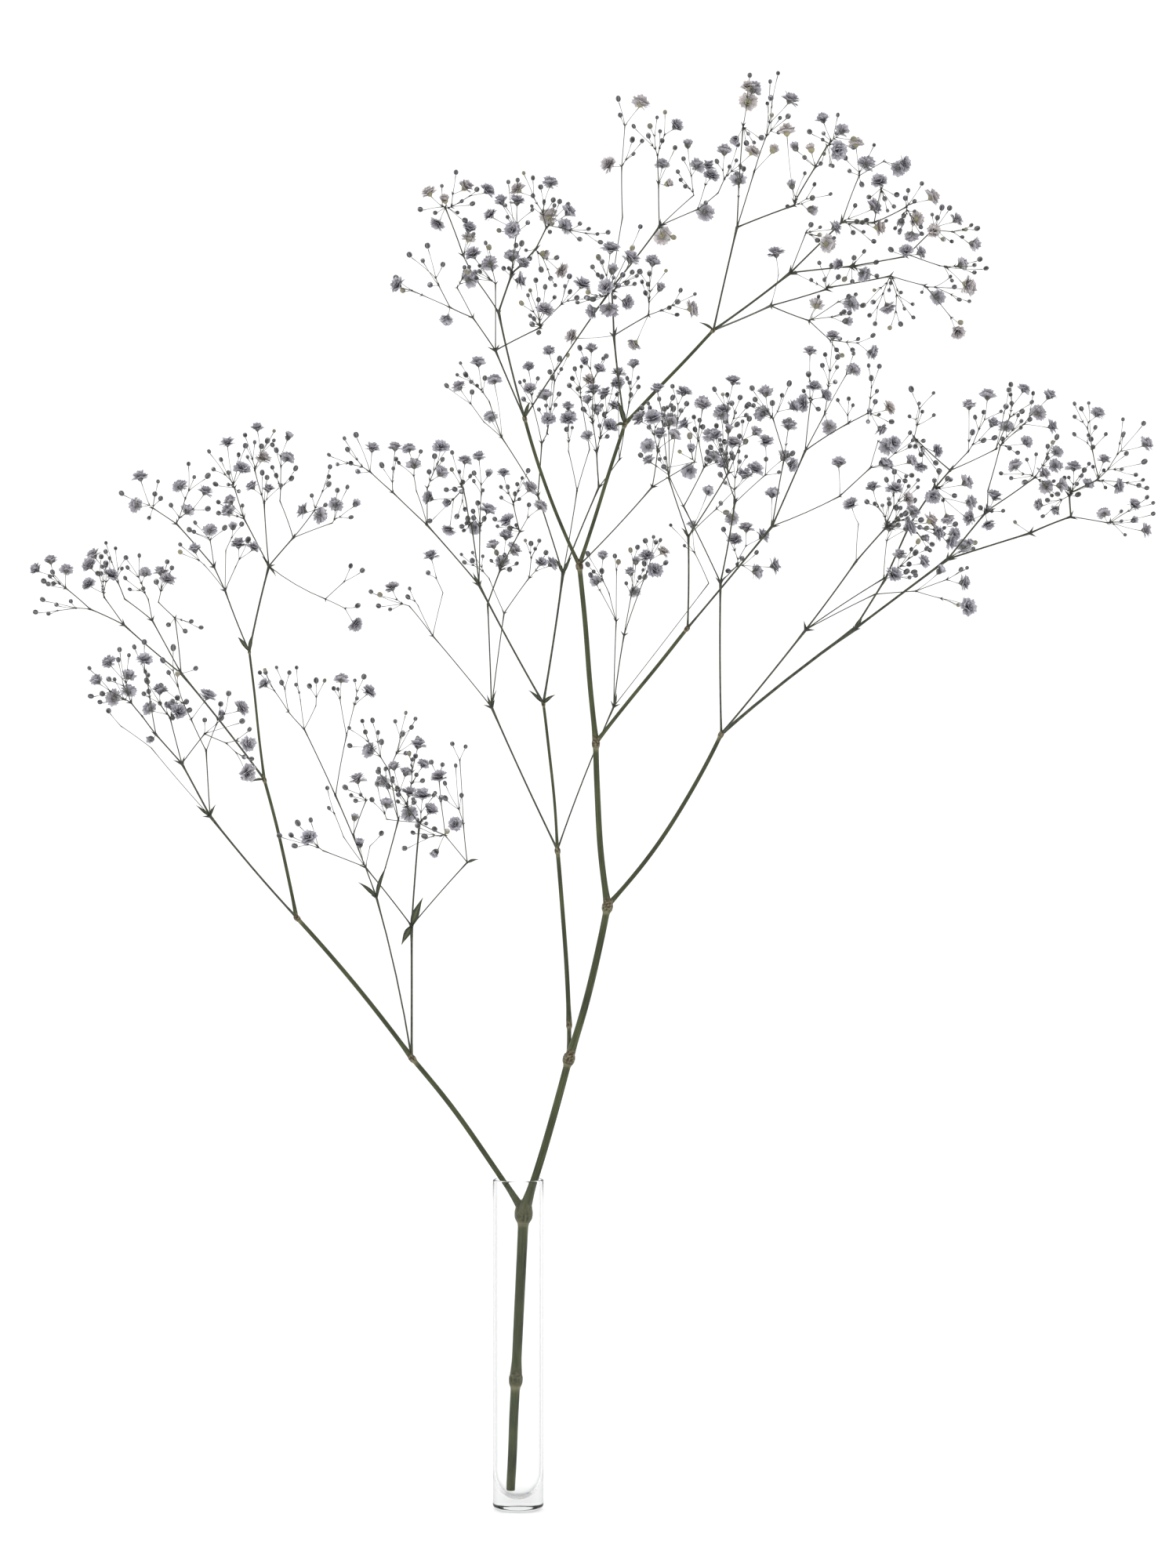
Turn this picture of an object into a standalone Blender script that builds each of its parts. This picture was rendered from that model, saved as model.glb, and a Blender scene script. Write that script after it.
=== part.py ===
"""A cut stem of double-flowered gypsophila, dyed silver grey, standing in a clear glass tube.

The stem forks again and again. Its knots are read from a front view, and each one stands at a depth of
its own. Past the last knots the twigs are grown by rule: every tuft is a small cloud of blooms and buds,
and the twigs that carry it fork in twos and threes until each bloom and bud has its own stalk.
Units are metres, +Z is up, and the origin is the centre of the tube's foot. The front faces -Y.
"""

import itertools
import math
import random

import bmesh
import bpy
import numpy as np
from mathutils import Matrix, Vector
from mathutils.bvhtree import BVHTree

MM = 0.001

# The glass tube
TUBE_DIAMETER = 26 * MM
TUBE_HEIGHT = 168 * MM
TUBE_WALL = 1.4 * MM
TUBE_FOOT = 5.0 * MM
HEEL_RADIUS = 2.5 * MM
BOWL_DEPTH = 15.0 * MM
TUBE_SIDES = 24

# Blooms and buds
BLOOM_DIAMETER = 7.5 * MM
BLOOM_RIM_HEIGHT = 2.8 * MM
BLOOM_HEIGHT = 4.4 * MM
PETAL_NOTCH = 0.66
PETAL_DROP = 0.5 * MM
BUD_DIAMETER = 2.7 * MM
BUD_BELLY_HEIGHT = 1.5 * MM
BUD_HEIGHT = 3.0 * MM
BLOOM_SHARE = 0.93
BUD_SHARE = 1.2
BLOOM_SIZES = (0.84, 1.08)
BUD_SIZES = (0.7, 1.1)
SOLID_BUD_SHARE = 0.04

# Twigs: a stalk that carries one bloom, and how a twig thickens with what it carries
STALK_DIAMETER = 0.23 * MM
TWIG_GAIN = 0.105 * MM
TWIG_POWER = 0.53
THINNEST_SOLID = 0.6 * MM
SHORTEST_STALK = 5.0 * MM
SHORTEST_TWIG = 2.0 * MM
MOST_TWIGS = 4
STRAIGHT_ENOUGH = 2.0 * MM
FORK_STEP = 1.6 * MM
COLLAR = 0.9 * MM
ROOT_DEPTH = 0.25 * MM
ROOT_CLEARANCE = 1.4 * MM
ROOT_RADIUS = 0.87 * MM
SHORT_COLLAR = 0.4
NECK_DEPTH = 0.6
UPWARD_LEAN = 0.35
RING_FACTOR = 1.2
TWIG_SIDES = 4
SMALL_BLOOM = 1.02

# The stem and its leaves
KNOT_SWELLING = 1.45
KNOT_LENGTH = 2.2 * MM
TAPER_LENGTH = 6.0 * MM
LIMB_FLARE = 1.2
FORK_FLARES = {"first_fork": 1.5}
CAP_SHARE = 0.55
THICK_STEM = 2.8 * MM
LEAF_THICKNESS = 0.7 * MM
LEAF_LIFT = 0.5
LEAF_ARCH = 0.10
LEAF_STATIONS = ((-0.02, 0.28), (0.45, 0.5), (1.0, 0.04))
JOINT_GAP = 0.35 * MM

# How freely blooms spread: the room that each takes in its tuft, and how far tufts stand in or out
BLOOM_ROOM = 650 * MM ** 3
BUD_ROOM = 110 * MM ** 3
DEEPEST_TUFT = 20 * MM
TUFT_WANDER = 0.45
BLOOM_SPREAD = 1.1
BUD_SPREAD = 1.2
LEAST_SPREAD = 0.2
BALL_FACTOR = 4.19
FRONT_WEIGHTS = (1.0, 0.3, 1.0)
PLACE_TRIES = 24
TUFT_TRIES = 60
FORK_CLEARANCE = 2.0 * MM
KNOT_TWIG_RADIUS = 0.45 * MM
HEAD_FILL = 0.95
FIRST_SEED = 7

# The front view: what one step of its grid is worth at the tube, and where the eye stands
GRID = 0.4 * MM
TUBE_COLUMN, FLOOR_ROW = 661, 1924
EYE_COLUMN, EYE_ROW = 750, 1000
EYE_DISTANCE = 2.0
DEPTH_SCALE = 1.3

STEM = "main_stem"
TUBE = "glass_tube"

# knot: (the knot it grows from, column, row, depth behind the tube in millimetres before DEPTH_SCALE)
KNOTS = {
    "cut_end": (None, 651, 1903, 0),
    "lower_knot": ("cut_end", 658, 1757, 0),
    "first_fork": ("lower_knot", 668, 1546, 0),
    "left_1": ("first_fork", 525, 1349, -9),
    "left_2": ("left_1", 378, 1170, -30),
    "left_3": ("left_2", 337, 994, -18),
    "left_4": ("left_3", 318, 831, 5),
    "right_1": ("first_fork", 726, 1349, 4),
    "right_2": ("right_1", 775, 1155, 2),
    "right_3": ("right_2", 760, 947, -8),
    "right_4": ("right_3", 739, 721, -12),
    "right_5": ("right_4", 797, 541, -22),
    "right_6": ("right_5", 910, 421, -12),
    "right_7": ("right_4", 669, 533, -22),
    "inner_1": ("right_1", 726, 1307, 12),
    "inner_2": ("inner_1", 711, 1084, 30),
    "inner_3": ("inner_2", 693, 897, 18),
    "outer_1": ("right_2", 920, 936, 16),
    "outer_2": ("right_3", 877, 801, -34),
    # far left
    "far_left": ("left_3", 231, 859, 0),
    "far_left_a": ("far_left", 158, 797, -14),
    "far_left_a1": ("far_left_a", 115, 777, -26),
    "far_left_a2": ("far_left_a", 133, 762, -2),
    "far_left_b": ("far_left", 194, 791, 14),
    "far_left_b1": ("far_left_b", 159, 764, 26),
    "far_left_b2": ("far_left_b", 189, 764, 10),
    "far_left_c": ("far_left", 223, 788, -16),
    "far_left_c1": ("far_left_c", 202, 768, -24),
    # low left
    "low_left": ("left_2", 268, 1041, -66),
    "low_left_a": ("low_left", 193, 954, -86),
    "low_left_a1": ("low_left_a", 154, 926, -90),
    "low_left_b": ("low_left", 232, 974, -60),
    "low_left_b1": ("low_left_b", 199, 937, -68),
    "low_left_b2": ("low_left_b1", 181, 913, -74),
    "low_left_b3": ("low_left_b", 217, 916, -48),
    "low_left_b4": ("low_left_b", 261, 936, -46),
    "low_left_c": ("low_left", 263, 958, -84),
    "low_left_c1": ("low_left_c", 244, 918, -92),
    "low_left_c2": ("low_left_c", 276, 924, -78),
    # left, upper pair
    "left_a": ("left_4", 287, 753, -18),
    "left_a1": ("left_a", 273, 723, -28),
    "left_a2": ("left_a1", 225, 668, -38),
    "left_a3": ("left_a2", 195, 648, -46),
    "left_a4": ("left_a1", 268, 689, -22),
    "left_a5": ("left_a", 260, 720, -48),
    "left_a6": ("left_a", 288, 702, -2),
    "left_a7": ("left_a", 301, 722, -12),
    "left_b": ("left_4", 343, 722, 36),
    "left_b1": ("left_b", 311, 661, 24),
    "left_b2": ("left_b1", 299, 622, 16),
    "left_b3": ("left_b", 337, 642, 44),
    "left_b4": ("left_b3", 325, 600, 52),
    "left_b5": ("left_b", 374, 686, 46),
    "left_b6": ("left_b5", 357, 639, 62),
    "left_b7": ("left_b5", 401, 651, 34),
    "left_b8": ("left_b5", 424, 667, 58),
    "left_b9": ("left_b", 415, 764, 8),
    "left_b10": ("left_b9", 439, 742, -4),
    "left_b11": ("left_b9", 440, 776, 14),
    # between the two limbs
    "tall_front": ("left_1", 480, 1144, 34),
    "tall_front_a": ("tall_front", 428, 1015, 56),
    "tall_front_b": ("tall_front_a", 388, 930, 68),
    "tall_front_c": ("tall_front_b", 368, 908, 76),
    "tall_front_d": ("tall_front_b", 383, 892, 60),
    "tall_front_e": ("tall_front_b", 403, 900, 50),
    "tall_front_f": ("tall_front_a", 442, 938, 42),
    "tall_front_g": ("tall_front_f", 452, 899, 34),
    "tall_front_h": ("tall_front", 508, 1046, 42),
    "tall_front_i": ("tall_front_h", 496, 982, 36),
    "low_front": ("left_1", 525, 1181, -30),
    "low_front_a": ("low_front", 466, 1106, -48),
    "low_front_b": ("low_front_a", 412, 1085, -60),
    "low_front_c": ("low_front_a", 438, 1067, -70),
    "low_front_d": ("low_front_a", 472, 1079, -36),
    "low_front_e": ("low_front_a", 451, 1064, -46),
    "low_front_f": ("low_front_e", 467, 1021, -42),
    "low_front_g": ("low_front", 535, 1050, -22),
    "low_front_h": ("low_front_g", 493, 1045, -34),
    "low_front_i": ("low_front_g", 519, 1029, -14),
    "low_front_j": ("low_front_g", 567, 1065, -34),
    "low_front_k": ("low_front", 596, 1100, -2),
    "low_front_l": ("low_front_k", 591, 1051, 8),
    "low_front_m": ("low_front_k", 568, 1066, -8),
    # middle, left of the tall limb
    "inner_left": ("inner_2", 627, 902, 54),
    "inner_left_a": ("inner_left", 552, 811, 64),
    "inner_left_b": ("inner_left_a", 565, 756, 72),
    "inner_left_c": ("inner_left_a", 522, 773, 54),
    "inner_left_d": ("inner_left_a", 533, 772, 76),
    "inner_left_e": ("inner_left", 622, 770, 52),
    "inner_left_f": ("inner_left_e", 638, 727, 46),
    "inner_left_g": ("inner_left_f", 663, 678, 34),
    "inner_left_h": ("inner_left_g", 655, 644, 30),
    "inner_left_i": ("inner_left", 643, 782, 84),
    "inner_left_j": ("inner_left_i", 675, 737, 94),
    "inner_left_k": ("inner_left_i", 624, 738, 98),
    "inner_mid": ("inner_3", 611, 746, -16),
    "inner_mid_a": ("inner_mid", 545, 670, -30),
    "inner_mid_b": ("inner_mid_a", 501, 628, -44),
    "inner_mid_c": ("inner_mid_a", 531, 626, -18),
    "inner_mid_d": ("inner_mid_a", 545, 622, -36),
    "inner_mid_e": ("inner_mid", 601, 668, -8),
    "inner_mid_f": ("inner_mid_e", 591, 624, -16),
    "inner_mid_g": ("inner_mid", 612, 672, -24),
    "inner_mid_h": ("inner_mid_g", 614, 630, -34),
    "inner_right": ("inner_3", 718, 732, 46),
    "inner_right_a": ("inner_right", 686, 632, 62),
    "inner_right_b": ("inner_right_a", 640, 558, 80),
    "inner_right_c": ("inner_right_b", 617, 538, 90),
    "inner_right_d": ("inner_right_b", 624, 512, 76),
    "inner_right_e": ("inner_right_a", 691, 565, 52),
    "inner_right_f": ("inner_right_e", 698, 553, 60),
    "inner_right_g": ("inner_right", 736, 626, 74),
    "inner_right_h": ("inner_right_g", 725, 575, 84),
    "inner_right_i": ("inner_right_g", 752, 573, 84),
    "inner_right_j": ("inner_right", 764, 621, 44),
    "inner_right_k": ("inner_right_j", 761, 576, 36),
    "inner_right_l": ("inner_right_k", 756, 540, 38),
    "inner_right_m": ("inner_right_j", 790, 586, 54),
    "behind": ("inner_2", 783, 901, 62),
    "behind_a": ("behind", 786, 792, 62),
    "behind_b": ("behind_a", 777, 757, 56),
    "behind_c": ("behind", 796, 810, 84),
    "behind_d": ("behind", 904, 744, 56),
    "behind_e": ("behind_d", 886, 705, 62),
    # top left
    "top_left": ("right_7", 632, 447, -44),
    "top_left_a": ("top_left", 603, 405, -52),
    "top_left_b": ("top_left_a", 574, 392, -62),
    "top_left_c": ("top_left_a", 583, 367, -44),
    "top_left_d": ("top_left", 632, 362, -48),
    "top_left_e": ("top_left", 689, 418, -34),
    "top_left_f": ("top_left_e", 716, 388, -30),
    "top_back": ("right_7", 636, 398, 12),
    "top_back_a": ("top_back", 606, 355, 16),
    "top_back_b": ("top_back_a", 591, 326, 10),
    "top_back_c": ("top_back_b", 568, 265, 4),
    "top_back_d": ("top_back", 652, 352, 16),
    "top_back_e": ("top_back_d", 659, 295, 8),
    "top_back_f": ("top_back_d", 683, 318, 30),
    "top_back_g": ("top_back_f", 697, 290, 36),
    "top_near": ("right_7", 776, 374, -66),
    "top_mid": ("right_5", 783, 428, -10),
    "top_mid_a": ("top_mid", 780, 367, -4),
    "top_mid_b": ("top_mid_a", 794, 277, -10),
    "top_mid_c": ("top_mid_b", 793, 212, -18),
    "top_mid_d": ("top_mid_a", 841, 289, 14),
    "top_mid_e": ("top_mid_d", 840, 234, 6),
    "top_mid_f": ("top_mid_d", 885, 249, 20),
    "top_mid_g": ("top_mid_d", 890, 267, 34),
    "top_mid_h": ("top_mid_g", 916, 246, 40),
    "top_mid_i": ("top_mid", 827, 402, 12),
    # crown
    "crown_a": ("right_6", 940, 290, -34),
    "crown_a1": ("crown_a", 948, 160, -44),
    "crown_a2": ("crown_a", 962, 219, -30),
    "crown_a3": ("crown_a", 1013, 262, -46),
    "crown_a4": ("crown_a3", 1040, 213, -50),
    "crown_a5": ("crown_a4", 1055, 186, -44),
    "crown_b": ("right_6", 1008, 348, 0),
    "crown_b1": ("crown_b", 1028, 297, -10),
    "crown_b2": ("crown_b", 1074, 283, 2),
    "crown_b3": ("crown_b2", 1096, 224, 10),
    "crown_b4": ("crown_b3", 1127, 206, 8),
    "crown_b5": ("crown_b2", 1115, 284, -4),
    "crown_b6": ("crown_b5", 1124, 240, -14),
    "crown_b7": ("crown_b5", 1156, 264, 2),
    "crown_b8": ("crown_b", 1085, 340, -8),
    "crown_b9": ("crown_b8", 1156, 327, -20),
    "crown_b10": ("crown_b9", 1189, 294, -14),
    "crown_b11": ("crown_b9", 1199, 339, -30),
    "crown_c": ("right_6", 983, 390, 34),
    "crown_c1": ("crown_c", 993, 350, 44),
    "crown_c2": ("crown_c", 1054, 369, 40),
    "crown_c3": ("crown_c2", 1136, 352, 32),
    "crown_c4": ("crown_c3", 1179, 364, 26),
    "crown_c5": ("crown_c", 1032, 409, 52),
    "crown_c6": ("crown_c5", 1069, 385, 56),
    "crown_c7": ("crown_c5", 1059, 434, 60),
    # middle right
    "mid_near": ("right_4", 832, 621, -64),
    "mid_near_a": ("mid_near", 839, 573, -72),
    "mid_near_b": ("mid_near", 886, 589, -68),
    "mid_a": ("outer_2", 878, 684, -44),
    "mid_a1": ("mid_a", 853, 610, -34),
    "mid_a2": ("mid_a", 914, 649, -64),
    "mid_a3": ("mid_a", 929, 603, -50),
    "mid_back": ("outer_1", 919, 743, 20),
    "mid_back_a": ("mid_back", 872, 646, 24),
    "mid_back_b": ("mid_back_a", 853, 606, 20),
    "mid_back_c": ("mid_back_a", 898, 596, 34),
    "mid_back_d": ("mid_back", 937, 642, 14),
    "mid_back_e": ("mid_back_d", 923, 595, 20),
    "mid_back_f": ("mid_back_d", 976, 606, 10),
    "mid_back_g": ("mid_back", 940, 722, 36),
    "mid_c": ("outer_2", 985, 671, -30),
    "mid_c1": ("mid_c", 1000, 586, -40),
    "mid_c2": ("mid_c1", 986, 534, -48),
    "mid_c3": ("mid_c", 1027, 575, -24),
    "mid_c4": ("mid_c3", 1034, 512, -34),
    "mid_c5": ("mid_c3", 1052, 528, -18),
    "mid_c6": ("mid_c3", 1082, 540, -8),
    "mid_c7": ("mid_c6", 1107, 527, -2),
    "mid_c8": ("mid_c", 1071, 633, -26),
    "mid_c9": ("mid_c8", 1110, 597, -32),
    "mid_c10": ("mid_c9", 1120, 563, -36),
    # right
    "right_near": ("outer_1", 1028, 803, -34),
    "right_near_a": ("right_near", 1092, 716, -46),
    "right_near_b": ("right_near_a", 1095, 668, -54),
    "right_near_c": ("right_near_a", 1130, 673, -62),
    "right_near_d": ("right_near", 1127, 738, -34),
    "right_near_e": ("right_near_d", 1131, 690, -36),
    "right_near_f": ("right_near", 1116, 758, -54),
    "right_near_g": ("right_near_f", 1168, 754, -60),
    "right_far": ("outer_1", 1089, 803, 44),
    "right_far_a": ("right_far", 1129, 739, 30),
    "right_far_b": ("right_far_a", 1160, 670, 14),
    "right_far_c": ("right_far_b", 1190, 625, 4),
    "right_far_d": ("right_far_c", 1212, 600, 0),
    "right_far_e": ("right_far_d", 1166, 558, -8),
    "right_far_f": ("right_far_d", 1235, 576, 8),
    "right_far_g": ("right_far_d", 1270, 573, -8),
    "right_far_h": ("right_far", 1209, 713, 58),
    "right_far_i": ("right_far_h", 1257, 654, 44),
    "right_far_j": ("right_far_i", 1260, 626, 52),
    "right_far_k": ("right_far_j", 1276, 568, 60),
    "right_far_l": ("right_far_i", 1320, 609, 36),
    "right_far_m": ("right_far_h", 1314, 680, 66),
    "right_far_n": ("right_far_m", 1366, 659, 66),
    "right_far_o": ("right_far_n", 1364, 632, 58),
    "right_far_p": ("right_far_o", 1400, 612, 50),
    "right_far_q": ("right_far_n", 1413, 667, 74),
}

# Where a stem bows to one side of the straight line from its knot below: grid steps right, and up
BOWS = {
    "left_1": (3.6, 2.7),
    "left_2": (2.6, 2.1),
    "left_3": (2.0, 0.5),
    "right_1": (2.0, -0.6),
    "right_2": (3.5, -0.9),
    "right_3": (-3.7, 0),
    "right_7": (-4.5, -1.7),
    "inner_2": (1.6, 0),
    "inner_3": (2.1, 0),
    "outer_1": (8.7, -5.8),
    "tall_front": (3.1, 0.7),
    "right_far": (-1.7, 2.1),
    "left_b9": (-1.6, -2.8),
    "mid_c8": (0.6, -1.4),
}

# stretch of the stem, by the knot at its top: diameters at its lower and upper end, in millimetres
STRETCHES = {
    "lower_knot": (4.6, 4.8),
    "first_fork": (4.9, 5.4),
    "left_1": (2.9, 2.5),
    "left_2": (2.4, 2.1),
    "left_3": (1.7, 1.6),
    "left_4": (1.3, 1.2),
    "right_1": (4.1, 3.8),
    "right_2": (3.8, 3.5),
    "right_3": (3.2, 2.9),
    "right_4": (2.7, 2.5),
    "right_5": (1.9, 1.8),
    "right_6": (1.8, 1.6),
    "right_7": (1.8, 1.7),
    "inner_1": (2.3, 2.2),
    "inner_2": (2.4, 2.2),
    "inner_3": (1.5, 1.5),
    "outer_1": (2.3, 2.1),
    "outer_2": (1.9, 1.8),
}
FORK_SWELLING = {"lower_knot": 1.5, "first_fork": 1.75, "right_1": 1.7, "right_2": 1.65, "right_4": 1.6}

# spray: the knot that it grows out of, with all that stands above
SPRAYS = (
    "far_left", "low_left", "left_a", "left_b", "tall_front", "low_front", "inner_left", "inner_mid",
    "inner_right", "behind", "top_left", "top_back", "top_near", "top_mid", "crown_a", "crown_b",
    "crown_c", "mid_near", "mid_a", "mid_back", "mid_c", "right_near", "right_far",
)

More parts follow.
